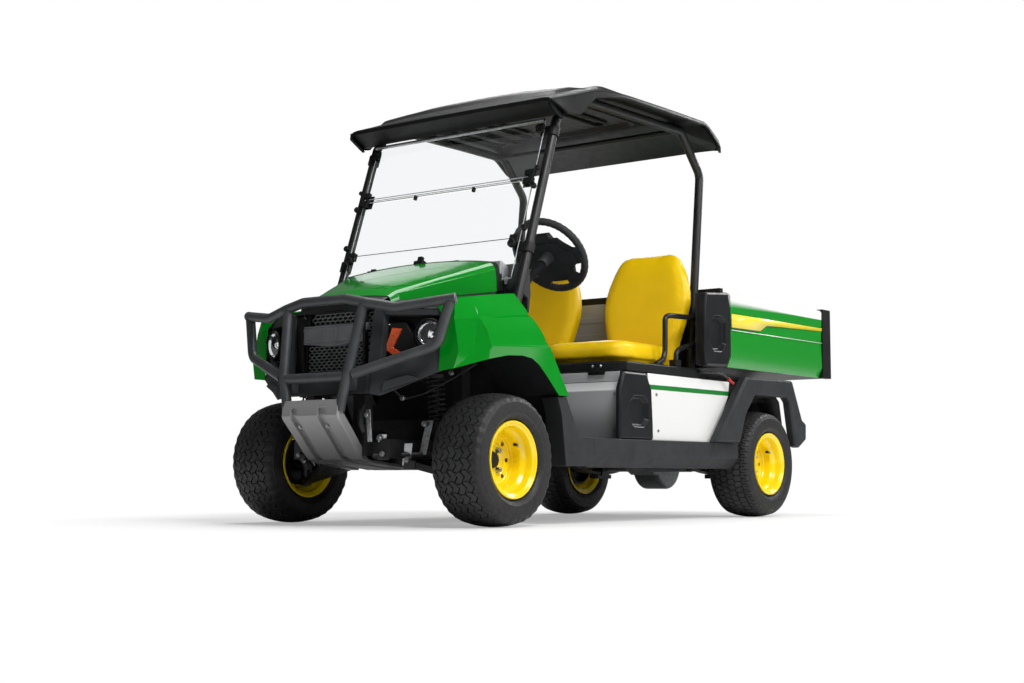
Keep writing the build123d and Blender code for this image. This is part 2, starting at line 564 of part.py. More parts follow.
with BuildPart() as seat_base:
    with BuildSketch(Plane.XY.offset(STEP_TOP_Z + FIT)):
        with Locations((0, (SEAT_BASE_FRONT_Y + SEAT_BASE_REAR_Y + FIT) / 2)):
            Rectangle(2 * (SEAT_BASE_X - 20), SEAT_BASE_REAR_Y - SEAT_BASE_FRONT_Y - FIT)
            Rectangle(2 * (SEAT_BASE_X - 28), SEAT_BASE_REAR_Y - SEAT_BASE_FRONT_Y - 16, mode=Mode.SUBTRACT)
    extrude(amount=SEAT_BASE_TOP_Z - STEP_TOP_Z - FIT)
    with BuildSketch(Plane.XY.offset(SEAT_BASE_TOP_Z)):
        with BuildLine():
            Polyline(
                (-SEAT_BASE_X, SEAT_BASE_FRONT_Y + 40), (-SEAT_BASE_X + 60, SEAT_BASE_FRONT_Y + 4),
                (SEAT_BASE_X - 60, SEAT_BASE_FRONT_Y + 4), (SEAT_BASE_X, SEAT_BASE_FRONT_Y + 40),
                (SEAT_BASE_X, SEAT_BASE_REAR_Y - 70), (-SEAT_BASE_X, SEAT_BASE_REAR_Y - 70),
                (-SEAT_BASE_X, SEAT_BASE_FRONT_Y + 40),
            )
        make_face()
    extrude(amount=TRAY_TOP_Z - SEAT_BASE_TOP_Z)
    fillet(seat_base.faces().sort_by(Axis.Z)[-1].edges(), 10)
keep(seat_base, "seat_base")

panel_x = SEAT_BASE_X + FIT
with BuildPart() as side_panels:
    with BuildSketch(Plane.YZ.offset(panel_x)):
        Polygon(
            (AXLE_R_Y - 987, STEP_TOP_Z + FIT), (AXLE_R_Y - 459, STEP_TOP_Z + FIT), (AXLE_R_Y - 317, 551),
            (AXLE_R_Y - 307, 615), (AXLE_R_Y - 1001, 618),
            align=None,
        )
    extrude(amount=PANEL_GAUGE)
    mirror(about=Plane.YZ)
    slab(
        (-SEAT_BASE_X + 40, SEAT_BASE_FRONT_Y - PANEL_GAUGE, FLOOR_Z + 10),
        (SEAT_BASE_X - 40, SEAT_BASE_FRONT_Y, SEAT_BASE_TOP_Z - 2),
    )
keep(side_panels, "side_panels")

with BuildPart() as corner_mouldings:
    with BuildSketch(Plane.YZ.offset(SEAT_BASE_X - 30)):
        Polygon(
            (AXLE_R_Y - 1205, 616), (AXLE_R_Y - 1043, 616), (AXLE_R_Y - 1005, 553), (AXLE_R_Y - 991, STEP_TOP_Z + FIT),
            (AXLE_R_Y - 1241, STEP_TOP_Z + FIT), (AXLE_R_Y - 1233, 545),
            align=None,
        )
    extrude(amount=52)
    chamfer(corner_mouldings.faces().sort_by(Axis.X)[-1].edges(), 9)
    with BuildSketch(Plane.YZ.offset(SEAT_BASE_X + 22)):
        with BuildLine():
            Polyline(
                (AXLE_R_Y - 1169, 520), (AXLE_R_Y - 1149, 545), (AXLE_R_Y - 1093, 545), (AXLE_R_Y - 1073, 520),
                (AXLE_R_Y - 1073, 405), (AXLE_R_Y - 1093, 380), (AXLE_R_Y - 1149, 380), (AXLE_R_Y - 1169, 405),
                (AXLE_R_Y - 1169, 520),
            )
        make_face()
    extrude(amount=-12, taper=20, mode=Mode.SUBTRACT)
    with Locations((SEAT_BASE_X - 36, SEAT_BASE_FRONT_Y + 104, 480)):
        Box(60, 212, 400, mode=Mode.SUBTRACT)
    mirror(about=Plane.YZ)
keep(corner_mouldings, "corner_mouldings")

# ---------------------------------------------------------------- seats
seat_mid_x = (SEAT_IN_X + SEAT_OUT_X) / 2
with BuildPart() as seat_cushions:
    with BuildSketch(Plane.XY.offset(TRAY_TOP_Z + FIT)):
        with BuildLine():
            Polyline(
                (SEAT_IN_X + 10, CUSHION_FRONT_Y + 14), (seat_mid_x, CUSHION_FRONT_Y),
                (SEAT_OUT_X - 10, CUSHION_FRONT_Y + 14), (SEAT_OUT_X, CUSHION_REAR_Y),
                (SEAT_IN_X, CUSHION_REAR_Y), (SEAT_IN_X + 10, CUSHION_FRONT_Y + 14),
            )
        make_face()
        fillet(vertices(), 40)
    extrude(amount=CUSHION_H)
    fillet(seat_cushions.faces().sort_by(Axis.Z)[-1].edges(), 28)
    mirror(about=Plane.YZ)
keep(seat_cushions, "seat_cushions")

lean_sin = sin(radians(BACK_LEAN))
lean_cos = cos(radians(BACK_LEAN))
foot_lift = BACK_THICK * lean_sin - BACK_EDGE_R * (lean_sin + lean_cos - 1)
back_foot = Vector(seat_mid_x + 2, CUSHION_REAR_Y + 3, TRAY_TOP_Z + FIT + foot_lift)
back_plane = Plane(
    origin=back_foot, x_dir=(1, 0, 0), z_dir=(0, -lean_cos, lean_sin),
)
with BuildPart() as seat_backs:
    with BuildSketch(back_plane):
        half = BACK_W / 2
        with BuildLine():
            Polyline(
                (-half + 34, 0), (half - 34, 0), (half, BACK_H * 0.58), (half - 34, BACK_H * 0.88),
                (half - 70, BACK_H), (-half + 70, BACK_H), (-half + 34, BACK_H * 0.88), (-half, BACK_H * 0.58),
                (-half + 34, 0),
            )
        make_face()
        fillet(vertices(), 45)
    extrude(amount=-BACK_THICK)
    through = Axis(back_foot, back_plane.z_dir)
    fillet(seat_backs.faces().sort_by(through)[-1].edges(), 26)
    fillet(seat_backs.faces().sort_by(through)[0].edges(), BACK_EDGE_R)
    mirror(about=Plane.YZ)
keep(seat_backs, "seat_backs")

HIP_X = SEAT_BASE_X - 23
HIP_R = 9.5
with BuildPart() as seat_frames:
    for side in (1, -1):
        run_tube(
            [
                (side * HIP_X, AXLE_R_Y - 839, TRAY_TOP_Z + FIT),
                (side * HIP_X, AXLE_R_Y - 841, 885), (side * HIP_X, AXLE_R_Y - 556, 885),
                (side * HIP_X, AXLE_R_Y - 546, 748), (side * HIP_X, AXLE_R_Y - 711, 738),
            ],
            26, HIP_R,
        )
keep(seat_frames, "seat_frames")

# ---------------------------------------------------------------- canopy
PILLAR_X = POST_X - 18
PILLAR_FOOT = (PILLAR_X, AXLE_F_Y + 178.0, 800.0)
PILLAR_HEAD = (PILLAR_X, AXLE_F_Y + 462.0, 1612.0)
RAIL_ROOF_Z = ROOF_LOW_Z - POST_R - FIT
with BuildPart() as canopy_frame:
    for side in (1, -1):
        run_tube(
            [
                (side * PILLAR_FOOT[0], PILLAR_FOOT[1], PILLAR_FOOT[2]),
                (side * PILLAR_HEAD[0], PILLAR_HEAD[1], PILLAR_HEAD[2]),
                (side * PILLAR_HEAD[0], AXLE_F_Y + 560, RAIL_ROOF_Z),
                (side * POST_X, AXLE_R_Y - 581, RAIL_ROOF_Z),
                (side * POST_X, AXLE_R_Y - 415, 1560),
                (side * POST_X, AXLE_R_Y - 511, 690),
                (side * POST_X, AXLE_R_Y - 519, STEP_TOP_Z + 1),
            ],
            60, POST_R,
        )
    with BuildSketch(Plane(origin=(0, AXLE_F_Y + 600, RAIL_ROOF_Z), z_dir=(1, 0, 0))):
        Circle(12)
    extrude(amount=PILLAR_HEAD[0], both=True)
    with BuildSketch(Plane(origin=(0, AXLE_R_Y - 601, RAIL_ROOF_Z), z_dir=(1, 0, 0))):
        Circle(12)
    extrude(amount=POST_X, both=True)
keep(canopy_frame, "canopy_frame")

# roof: crowned cap with a front visor, drooping rear edge and raised middle, hollow below
ROOF_HALF_W = SEAT_BASE_X + 31
ROOF_REAR_Y = AXLE_R_Y - 341
VISOR_Y = AXLE_F_Y + 350
VISOR_Z = 1664.0
DOME_TOP_Z = 1928.0
roof_top = [
    (VISOR_Y, VISOR_Z + 18), (VISOR_Y + 40, 1708), (AXLE_F_Y + 560, 1782), (AXLE_R_Y - 1131, 1836),
    (AXLE_R_Y - 681, 1834), (AXLE_R_Y - 421, 1790), (ROOF_REAR_Y, 1700),
]
roof_under = [
    (ROOF_REAR_Y - 20, 1668), (AXLE_R_Y - 481, ROOF_LOW_Z), (AXLE_R_Y - 1191, ROOF_LOW_Z), (AXLE_F_Y + 600, 1714),
    (AXLE_F_Y + 508, 1632), (VISOR_Y + 82, VISOR_Z - 44),
]
roof_plan = [
    (-540, VISOR_Y), (540, VISOR_Y), (565, VISOR_Y + 60), (ROOF_HALF_W, AXLE_F_Y + 740),
    (ROOF_HALF_W, ROOF_REAR_Y - 80), (570, ROOF_REAR_Y), (-570, ROOF_REAR_Y), (-ROOF_HALF_W, ROOF_REAR_Y - 80),
    (-ROOF_HALF_W, AXLE_F_Y + 740), (-565, VISOR_Y + 60),
]
roof_front = [
    (-ROOF_HALF_W, 1600), (-ROOF_HALF_W, 1770), (-585, 1792), (-400, 1824), (0, 1840), (400, 1824), (585, 1792),
    (ROOF_HALF_W, 1770), (ROOF_HALF_W, 1600),
]
# raised middle: height, half width, front and rear station of its foot and of its crown
dome_levels = (
    (1790.0, 400.0, AXLE_R_Y - 1131, AXLE_R_Y - 471), (DOME_TOP_Z, 250.0, AXLE_R_Y - 861, AXLE_R_Y - 561),
)
g = ROOF_GAUGE
with BuildPart() as roof_core:
    with BuildSketch(Plane.YZ.offset(-700)):
        Polygon(
            (VISOR_Y + 84, 1590), (VISOR_Y + 84, VISOR_Z - 37), (VISOR_Y + g, VISOR_Z + 4),
            (VISOR_Y + g, VISOR_Z + 14), (VISOR_Y + 42, 1708 - g), (AXLE_F_Y + 561, 1782 - g),
            (AXLE_R_Y - 1130, 1836 - g), (AXLE_R_Y - 682, 1834 - g), (AXLE_R_Y - 425, 1790 - g),
            (ROOF_REAR_Y - g, 1700), (ROOF_REAR_Y - g, 1590),
            align=None,
        )
    extrude(amount=1400)
    with BuildSketch(Plane.XY.offset(1580)):
        Polygon(*roof_plan, align=None)
        offset(amount=-g, kind=Kind.INTERSECTION, mode=Mode.REPLACE)
    extrude(amount=400, mode=Mode.INTERSECT)
    with BuildSketch(Plane(origin=(0, AXLE_F_Y + 200, 0), x_dir=(1, 0, 0), z_dir=(0, -1, 0))):
        Polygon(*[(x * (1 - g / ROOF_HALF_W), z - g if z > 1700 else 1500) for x, z in roof_front], align=None)
    extrude(amount=-1600, mode=Mode.INTERSECT)
    for level, half, front, rear in dome_levels:
        with BuildSketch(Plane.XY.offset(level - g)):
            with Locations((0, (front + rear) / 2)):
                Rectangle(2 * (half - g), rear - front - 2 * g)
    loft(ruled=True)
with BuildPart() as roof:
    with BuildSketch(Plane.YZ.offset(-620)):
        Polygon(*roof_top, *roof_under, align=None)
    extrude(amount=1240)
    with BuildSketch(Plane.XY.offset(1600)):
        Polygon(*roof_plan, align=None)
    extrude(amount=300, mode=Mode.INTERSECT)
    with BuildSketch(Plane(origin=(0, AXLE_F_Y + 200, 0), x_dir=(1, 0, 0), z_dir=(0, -1, 0))):
        Polygon(*roof_front, align=None)
    extrude(amount=-1600, mode=Mode.INTERSECT)
    for level, half, front, rear in dome_levels:
        with BuildSketch(Plane.XY.offset(level)):
            with Locations((0, (front + rear) / 2)):
                Rectangle(2 * half, rear - front)
    loft(ruled=True)
    add(roof_core.part, mode=Mode.SUBTRACT)
    for rib_y, rib_half in ((AXLE_F_Y + 600, ROOF_HALF_W - 24), (AXLE_R_Y - 601, ROOF_HALF_W - 2)):
        slab((-rib_half, rib_y - 12, ROOF_LOW_Z), (rib_half, rib_y + 12, ROOF_LOW_Z + 30))
keep(roof, "roof")

# ---------------------------------------------------------------- windshield
lean = (PILLAR_HEAD[1] - PILLAR_FOOT[1]) / (PILLAR_HEAD[2] - PILLAR_FOOT[2])
GLASS_HALF = PILLAR_X - 30
GLASS_T = 5.0
GLASS_AHEAD = 26.0
PANE_SPLIT_Z = 1350.0


def pillar_y(z):
    """Pillar's centre line at height z."""
    return PILLAR_FOOT[1] + lean * (z - PILLAR_FOOT[2])


with BuildPart() as windshield:
    for low, high in ((945, PANE_SPLIT_Z - 4), (PANE_SPLIT_Z + 4, 1606)):
        front_low = pillar_y(low) - GLASS_AHEAD
        front_high = pillar_y(high) - GLASS_AHEAD
        with BuildSketch(Plane.YZ.offset(-GLASS_HALF)):
            Polygon(
                (front_low, low), (front_high, high), (front_high + GLASS_T, high), (front_low + GLASS_T, low),
                align=None,
            )
        extrude(amount=2 * GLASS_HALF)
keep(windshield, "windshield")

glass_lean = atan(lean)
glass_normal = Vector(0, -cos(glass_lean), sin(glass_lean))
pillar_dir = Vector(0, sin(glass_lean), cos(glass_lean))
pad_ahead = (GLASS_AHEAD - GLASS_T) * cos(glass_lean) - FIT
with BuildPart() as windshield_clamps:
    for clamp_z in (1070.0, 1560.0):
        seat_point = Vector(PILLAR_FOOT[0], pillar_y(clamp_z), clamp_z) - pillar_dir * 20
        clamp_plane = Plane(origin=seat_point, x_dir=(1, 0, 0), z_dir=pillar_dir)
        with BuildSketch(clamp_plane):
            Circle(POST_R + 6)
            with Locations((-32, -(pad_ahead - 5))):
                Rectangle(30, 10)
            Circle(POST_R + FIT, mode=Mode.SUBTRACT)
        extrude(amount=40)
    hinge_point = Vector(GLASS_HALF - 31, pillar_y(PANE_SPLIT_Z), PANE_SPLIT_Z) + glass_normal * (pad_ahead - 4)
    with BuildSketch(Plane(origin=hinge_point, x_dir=(1, 0, 0), z_dir=glass_normal)):
        Rectangle(34, 60)
    extrude(amount=4)
    mirror(about=Plane.YZ)
keep(windshield_clamps, "windshield_clamps")

# ---------------------------------------------------------------- hood, fenders, front fascia and grille
with BuildPart() as hood:
    stations = ((-297.6, 208, 780, 826, 838), (-190, 222, 810, 884, 900), (180, 393, 880, 1012, 1046))
    for station, half, skirt, edge, crown in stations:
        with BuildSketch(Plane(origin=(0, AXLE_F_Y + station, 0), x_dir=(1, 0, 0), z_dir=(0, -1, 0))):
            with BuildLine():
                Line((-half - 8, skirt), (-half, edge))
                ThreePointArc((-half, edge), (0, crown), (half, edge))
                Line((half, edge), (half + 8, skirt))
                Line((half + 8, skirt), (half, skirt))
                Line((half, skirt), (half - 8, edge - 8))
                ThreePointArc((half - 8, edge - 8), (0, crown - 7), (-half + 8, edge - 8))
                Line((-half + 8, edge - 8), (-half, skirt))
                Line((-half, skirt), (-half - 8, skirt))
            make_face()
    loft(ruled=True)
keep(hood, "hood")

fender_side = [
    (AXLE_F_Y - 198, 600), (AXLE_F_Y - 196, 790), (AXLE_F_Y - 60, 856), (AXLE_F_Y + 120, 884),
    (AXLE_F_Y + 152, 768), (AXLE_F_Y + 248, 673), (AXLE_F_Y + 364, 492), (AXLE_F_Y + 303, 492),
    (AXLE_F_Y + 177, 617), (AXLE_F_Y + 135, 636), (AXLE_F_Y - 91, 622), (AXLE_F_Y - 120, 598),
]
fender_front = [
    (402, 480), (402, 884), (470, 880), (540, 850), (585, 770), (618, 660), (618, 600), (604, 480),
]
FENDER_GAUGE = 6.0
with BuildPart() as fender_core:
    with BuildSketch(Plane.YZ.offset(300)):
        Polygon(*fender_side[:7], (AXLE_F_Y + 420, 400), (AXLE_F_Y - 198, 400), align=None)
        offset(amount=-FENDER_GAUGE, kind=Kind.INTERSECTION, mode=Mode.REPLACE)
    extrude(amount=400)
    with BuildSketch(Plane(origin=(0, AXLE_F_Y - 300, 0), x_dir=(1, 0, 0), z_dir=(0, -1, 0))):
        Polygon((300, 480), (300, 884), *fender_front[2:], align=None)
        offset(amount=-FENDER_GAUGE, kind=Kind.INTERSECTION, mode=Mode.REPLACE)
    extrude(amount=-800, mode=Mode.INTERSECT)
with BuildPart() as front_fenders:
    with BuildSketch(Plane.YZ.offset(390)):
        Polygon(*fender_side, align=None)
    extrude(amount=240)
    with BuildSketch(Plane(origin=(0, AXLE_F_Y - 300, 0), x_dir=(1, 0, 0), z_dir=(0, -1, 0))):
        Polygon(*fender_front, align=None)
    extrude(amount=-800, mode=Mode.INTERSECT)
    add(fender_core.part, mode=Mode.SUBTRACT)
    mirror(about=Plane.YZ)
keep(front_fenders, "front_fenders")

FASCIA_Y = AXLE_F_Y - 300.0
LAMP_R = 50.0


def lamp_plane(side):
    """Front face of one headlamp, turned a little outwards."""
    return Plane(origin=(side * 390, AXLE_F_Y - 268, 700), z_dir=(side * 0.35, -1, 0))


with BuildPart() as front_bumper:
    with BuildSketch(Plane.XY.offset(490)):
        Polygon(
            (-470, AXLE_F_Y - 216), (-455, AXLE_F_Y - 236), (-222, FASCIA_Y - 36), (222, FASCIA_Y - 36),
            (455, AXLE_F_Y - 236), (470, AXLE_F_Y - 216), (440, AXLE_F_Y - 198 - FIT), (215, FASCIA_Y + 2),
            (-215, FASCIA_Y + 2), (-440, AXLE_F_Y - 198 - FIT),
            align=None,
        )
    extrude(amount=322)
    with BuildSketch(Plane.YZ.offset(-500)):
        Polygon(
            (FASCIA_Y - 41, 490), (FASCIA_Y - 18, 812), (AXLE_F_Y, 812), (AXLE_F_Y, 490),
            align=None,
        )
    extrude(amount=1000, mode=Mode.INTERSECT)
    with BuildSketch(Plane(origin=(0, AXLE_F_Y - 400, 0), x_dir=(1, 0, 0), z_dir=(0, -1, 0))):
        Polygon(
            (-470, 575), (-222, 490), (222, 490), (470, 575), (470, 790), (330, 776), (215, 780),
            (-215, 780), (-330, 776), (-470, 790),
            align=None,
        )
    extrude(amount=-300, mode=Mode.INTERSECT)
    with BuildSketch(Plane(origin=(0, AXLE_F_Y - 400, 0), x_dir=(1, 0, 0), z_dir=(0, -1, 0))):
        Rectangle(388, 400)
        with Locations((0, 685)):
            Rectangle(388, 240)
    extrude(amount=-300, mode=Mode.SUBTRACT)
    for side in (1, -1):
        with BuildSketch(lamp_plane(side)):
            Circle(LAMP_R + FIT)
        extrude(amount=120, both=True, mode=Mode.SUBTRACT)
keep(front_bumper, "front_bumper")

with BuildPart() as grille:
    slab((-194 + FIT, FASCIA_Y, 568), (194 - FIT, FASCIA_Y + 6, 800))
    with BuildSketch(Plane(origin=(0, FASCIA_Y - 5, 0), x_dir=(1, 0, 0), z_dir=(0, -1, 0))):
        with Locations((0, 782)):
            with HexLocations(9, 16, 2):
                RegularPolygon(7.5, 6)
        with Locations((0, 610)):
            with HexLocations(9, 12, 4):
                RegularPolygon(7.5, 6)
    extrude(amount=-20, mode=Mode.SUBTRACT)
    slab((-160, FASCIA_Y - 16, 684), (160, FASCIA_Y, 752))
keep(grille, "grille")

with BuildPart() as lamps:
    for side in (1, -1):
        with BuildSketch(lamp_plane(side)):
            Circle(LAMP_R)
        extrude(amount=-40)
keep(lamps, "lamps")

GUARD_TOP = [
    (531, AXLE_F_Y - 238, 822), (327, AXLE_F_Y - 320, 796), (196, AXLE_F_Y - 352, 822), (110, AXLE_F_Y - 350, 842),
]
with BuildPart() as brush_guard:
    run_tube(
        GUARD_TOP + [(-x, y, z) for x, y, z in reversed(GUARD_TOP)],
        60, GUARD_R,
    )
    for side in (1, -1):
        run_tube(
            [
                (side * 196, AXLE_F_Y - 352, 815), (side * 165, AXLE_F_Y - 404, 560),
                (side * 138, AXLE_F_Y - 402, 452), (side * 132, AXLE_F_Y - 407, 418),
            ],
            40, GUARD_R,
        )
        run_tube(
            [
                (side * 526, AXLE_F_Y - 238, 822), (side * 500, AXLE_F_Y - 250, 680),
                (side * 440, AXLE_F_Y - 278, 630), (side * 169, AXLE_F_Y - 398, 545),
            ],
            40, GUARD_R,
        )
        slab((side * 145 - 5, AXLE_F_Y - 400, 500), (side * 145 + 5, FASCIA_Y - 36 - FIT, 560))
    with BuildSketch(Plane(origin=(0, AXLE_F_Y - 399, 548), z_dir=(1, 0, 0))):
        Circle(GUARD_R)
    extrude(amount=168, both=True)
keep(brush_guard, "brush_guard")

SKID_T = 6.0
with BuildPart() as skid_plate:
    with BuildSketch(Plane.YZ.offset(-200)):
        Polygon(
            (AXLE_F_Y - 428, 462), (AXLE_F_Y - 435, 405), (AXLE_F_Y - 300, 248), (AXLE_F_Y - 225, 230),
            (AXLE_F_Y - 20, 208), (AXLE_F_Y - 20, 214), (AXLE_F_Y - 222, 236), (AXLE_F_Y - 296, 254),
            (AXLE_F_Y - 429, 408), (AXLE_F_Y - 422, 462),
            align=None,
        )
    extrude(amount=400)
    with BuildSketch(Plane.XY.offset(150)):
        Polygon(
            (-146, AXLE_F_Y - 440), (146, AXLE_F_Y - 440), (146, AXLE_F_Y - 300), (190, AXLE_F_Y - 20),
            (-190, AXLE_F_Y - 20), (-146, AXLE_F_Y - 300),
            align=None,
        )
    extrude(amount=400, mode=Mode.INTERSECT)
    for side in (1, -1):
        slab((side * 120 - 20, AXLE_F_Y - 250, 238), (side * 120 + 20, AXLE_F_Y - 225, RAIL_Z - 25 - FIT))
keep(skid_plate, "skid_plate")

# ---------------------------------------------------------------- dash and steering
WHEEL_C = Vector(290, AXLE_F_Y + 685, 1108)
COLUMN_SLOPE = 38.0
column_dir = Vector(0, cos(radians(COLUMN_SLOPE)), sin(radians(COLUMN_SLOPE)))
STEER_R = 168.0
STEER_SHAFT_R = 12.0
with BuildPart() as dash:
    dash_half = PILLAR_FOOT[0] - POST_R - 1.5
    with BuildSketch(Plane.YZ.offset(-dash_half)):
        Polygon(
            (AXLE_F_Y + 236, 905), (AXLE_F_Y + 250, 1018), (AXLE_F_Y + 266, 1030), (AXLE_F_Y + 360, 985),
            (AXLE_F_Y + 372, 900), (AXLE_F_Y + 326, TOE_TOP_Z + FIT), (AXLE_F_Y + 300, TOE_TOP_Z + FIT),
            (AXLE_F_Y + 300, 880),
            align=None,
        )
    extrude(amount=2 * dash_half)
    with BuildSketch(Plane(origin=WHEEL_C - column_dir * 40, z_dir=-column_dir)):
        Circle(28 + FIT)
    extrude(amount=400, mode=Mode.SUBTRACT)
keep(dash, "dash")

with BuildPart() as steering_column:
    with BuildSketch(Plane(origin=WHEEL_C - column_dir * 40, z_dir=-column_dir)):
        Circle(28)
    extrude(amount=350)
    with BuildSketch(Plane(origin=WHEEL_C - column_dir * 40, z_dir=column_dir)):
        Circle(STEER_SHAFT_R)
    extrude(amount=30)
keep(steering_column, "steering_column")

with BuildPart() as steering_wheel:
    wheel_plane = Plane(origin=WHEEL_C, x_dir=(1, 0, 0), z_dir=column_dir)
    with BuildSketch(Plane(origin=WHEEL_C + Vector(STEER_R, 0, 0), x_dir=(1, 0, 0), z_dir=wheel_plane.y_dir)):
        Circle(14)
    revolve(axis=Axis(WHEEL_C, column_dir))
    with BuildSketch(wheel_plane.offset(-38)):
        Circle(52)
    extrude(amount=40)
    with BuildSketch(wheel_plane.offset(-12)):
        with PolarLocations(STEER_R / 2, 3, start_angle=30):
            Rectangle(STEER_R, 34)
    extrude(amount=12)
    with BuildSketch(wheel_plane.offset(-38)):
        Circle(STEER_SHAFT_R + RUN)
    extrude(amount=30, mode=Mode.SUBTRACT)
keep(steering_wheel, "steering_wheel")

with BuildPart() as pedals:
    for pedal_x, pedal_w in ((190, 60), (330, 70)):
        slab(
            (pedal_x - pedal_w / 2, AXLE_F_Y + 370, FLOOR_Z + 90),
            (pedal_x + pedal_w / 2, AXLE_F_Y + 384, FLOOR_Z + 210),
        )
        slab((pedal_x - 8, AXLE_F_Y + 326, FLOOR_Z + 180), (pedal_x + 8, AXLE_F_Y + 371, FLOOR_Z + 200))
keep(pedals, "pedals")

# ---------------------------------------------------------------- rear body
rear_fender_outline = [
    (AXLE_R_Y - 520, STEP_TOP_Z + FIT), (AXLE_R_Y - 344, 531), (AXLE_R_Y - 239, 640), (AXLE_R_Y + 218, 645),
    (AXLE_R_Y + 317, 461), (AXLE_R_Y + 359, 442), (AXLE_R_Y + 356, 365), (AXLE_R_Y + 280, 325),
    (AXLE_R_Y + 239, 333), (AXLE_R_Y + 189, 540), (AXLE_R_Y + 159, 562), (AXLE_R_Y - 151, 562),
    (AXLE_R_Y - 241, 470), (AXLE_R_Y - 303, STEP_TOP_Z + FIT),
]
REAR_FENDER_W = 43.0
with BuildPart() as rear_fenders:
    with BuildSketch(Plane.YZ.offset(BED_HALF_W - REAR_FENDER_W)):
        Polygon(*rear_fender_outline, align=None)
    extrude(amount=REAR_FENDER_W)
    chamfer(rear_fenders.faces().sort_by(Axis.X)[-1].edges(), 8)
    mirror(about=Plane.YZ)
keep(rear_fenders, "rear_fenders")

with BuildPart() as bed_lever:
    run_tube(
        [
            (SEAT_BASE_X + FIT, AXLE_R_Y - 581, 645), (SEAT_BASE_X + 29, AXLE_R_Y - 581, 645),
            (SEAT_BASE_X + 33, AXLE_R_Y - 421, 645), (SEAT_BASE_X + 39, AXLE_R_Y - 331, 606),
        ],
        14, 6,
    )
keep(bed_lever, "bed_lever")

# ---------------------------------------------------------------- cargo bed
BED_IN_X = BED_HALF_W - BED_WALL
with BuildPart() as bed_tub:
    slab((-BED_IN_X, BED_FRONT_Y, BED_LOW_Z), (BED_IN_X, BED_REAR_Y - TAILGATE_T - 12, BED_LOW_Z + BED_FLOOR_T))
    slab((-BED_IN_X, BED_FRONT_Y, BED_LOW_Z), (BED_IN_X, BED_FRONT_Y + BED_WALL, BED_TOP_Z + 20))
    for side in (1, -1):
        ear_x = side * (RAIL_X + RAIL_W / 2 + 20)
        with BuildSketch(Plane(origin=(ear_x - 6, BED_PIVOT_Y, BED_PIVOT_Z), z_dir=(1, 0, 0), x_dir=(0, 1, 0))):
            Circle(28)
            with Locations((0, (BED_LOW_Z - BED_PIVOT_Z) / 2 + 2)):
                Rectangle(56, BED_LOW_Z - BED_PIVOT_Z + 4)
            Circle(BED_PIVOT_R + RUN, mode=Mode.SUBTRACT)
        extrude(amount=12)
        slab(
            (side * RAIL_X - 20, BED_FRONT_Y + 10, RAIL_REAR_Z + RAIL_H / 2 + FIT),
            (side * RAIL_X + 20, BED_PIVOT_Y - 20, BED_LOW_Z),
        )
keep(bed_tub, "bed_tub")

side_section = [
    (BED_IN_X + FIT, BED_LOW_Z + 2), (BED_HALF_W - 22, BED_LOW_Z), (BED_HALF_W, BED_LOW_Z + 50),
    (BED_HALF_W - 4, BED_LOW_Z + 180), (BED_HALF_W, BED_TOP_Z - 70), (BED_HALF_W, BED_TOP_Z - 10),
    (BED_HALF_W - 10, BED_TOP_Z), (BED_IN_X + FIT, BED_TOP_Z),
]
with BuildPart() as bed_sides:
    with BuildSketch(Plane(origin=(0, BED_SIDE_FRONT_Y, 0), x_dir=(1, 0, 0), z_dir=(0, -1, 0))):
        Polygon(*side_section, align=None)
    extrude(amount=-(BED_REAR_Y - 90 - BED_SIDE_FRONT_Y))
    mirror(about=Plane.YZ)
keep(bed_sides, "bed_sides")

TAILGATE_PIN_Y = BED_REAR_Y - 3 - TAILGATE_T / 2
TAILGATE_PIN_Z = BED_LOW_Z + 12.0
TAILGATE_PIN_R = 6.0
with BuildPart() as bed_posts:
    slab((BED_IN_X + FIT, BED_REAR_Y - 89, BED_LOW_Z), (BED_HALF_W + 3, BED_REAR_Y, BED_TOP_Z + 6))
    with BuildSketch(Plane.YZ.offset(BED_HALF_W - 61)):
        Polygon(
            (AXLE_R_Y - 602, 996), (AXLE_R_Y - 387, 1016), (AXLE_R_Y - 381.3, 929), (AXLE_R_Y - 381.3, 733),
            (AXLE_R_Y - 389, 678), (AXLE_R_Y - 593, 670), (AXLE_R_Y - 615, 712), (AXLE_R_Y - 615, 940),
            align=None,
        )
    extrude(amount=61)
    slab_y = BED_FRONT_Y - FIT
    with Locations((BED_IN_X + FIT - 50, slab_y + 50, 850)):
        Box(100, 100, 400, mode=Mode.SUBTRACT)
    with BuildSketch(Plane(origin=(BED_IN_X, TAILGATE_PIN_Y, TAILGATE_PIN_Z), z_dir=(1, 0, 0))):
        Circle(TAILGATE_PIN_R + RUN)
    extrude(amount=16, mode=Mode.SUBTRACT)
    mirror(about=Plane.YZ)
keep(bed_posts, "bed_posts")

with BuildPart() as tailgate:
    slab(
        (-BED_IN_X + 5, BED_REAR_Y - TAILGATE_T - 3, BED_LOW_Z + 4),
        (BED_IN_X - 5, BED_REAR_Y - 3, BED_TOP_Z - 6),
    )
    with BuildSketch(Plane(origin=(0, TAILGATE_PIN_Y, TAILGATE_PIN_Z), z_dir=(1, 0, 0))):
        Circle(TAILGATE_PIN_R)
    extrude(amount=BED_IN_X + 12, both=True)
keep(tailgate, "tailgate")
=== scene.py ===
"""Utility vehicle with two seats, a roof and a tipping bed: its visible pieces, laid out as an add-on."""
import json
import math

import bmesh
import bpy
from mathutils import Matrix, Vector

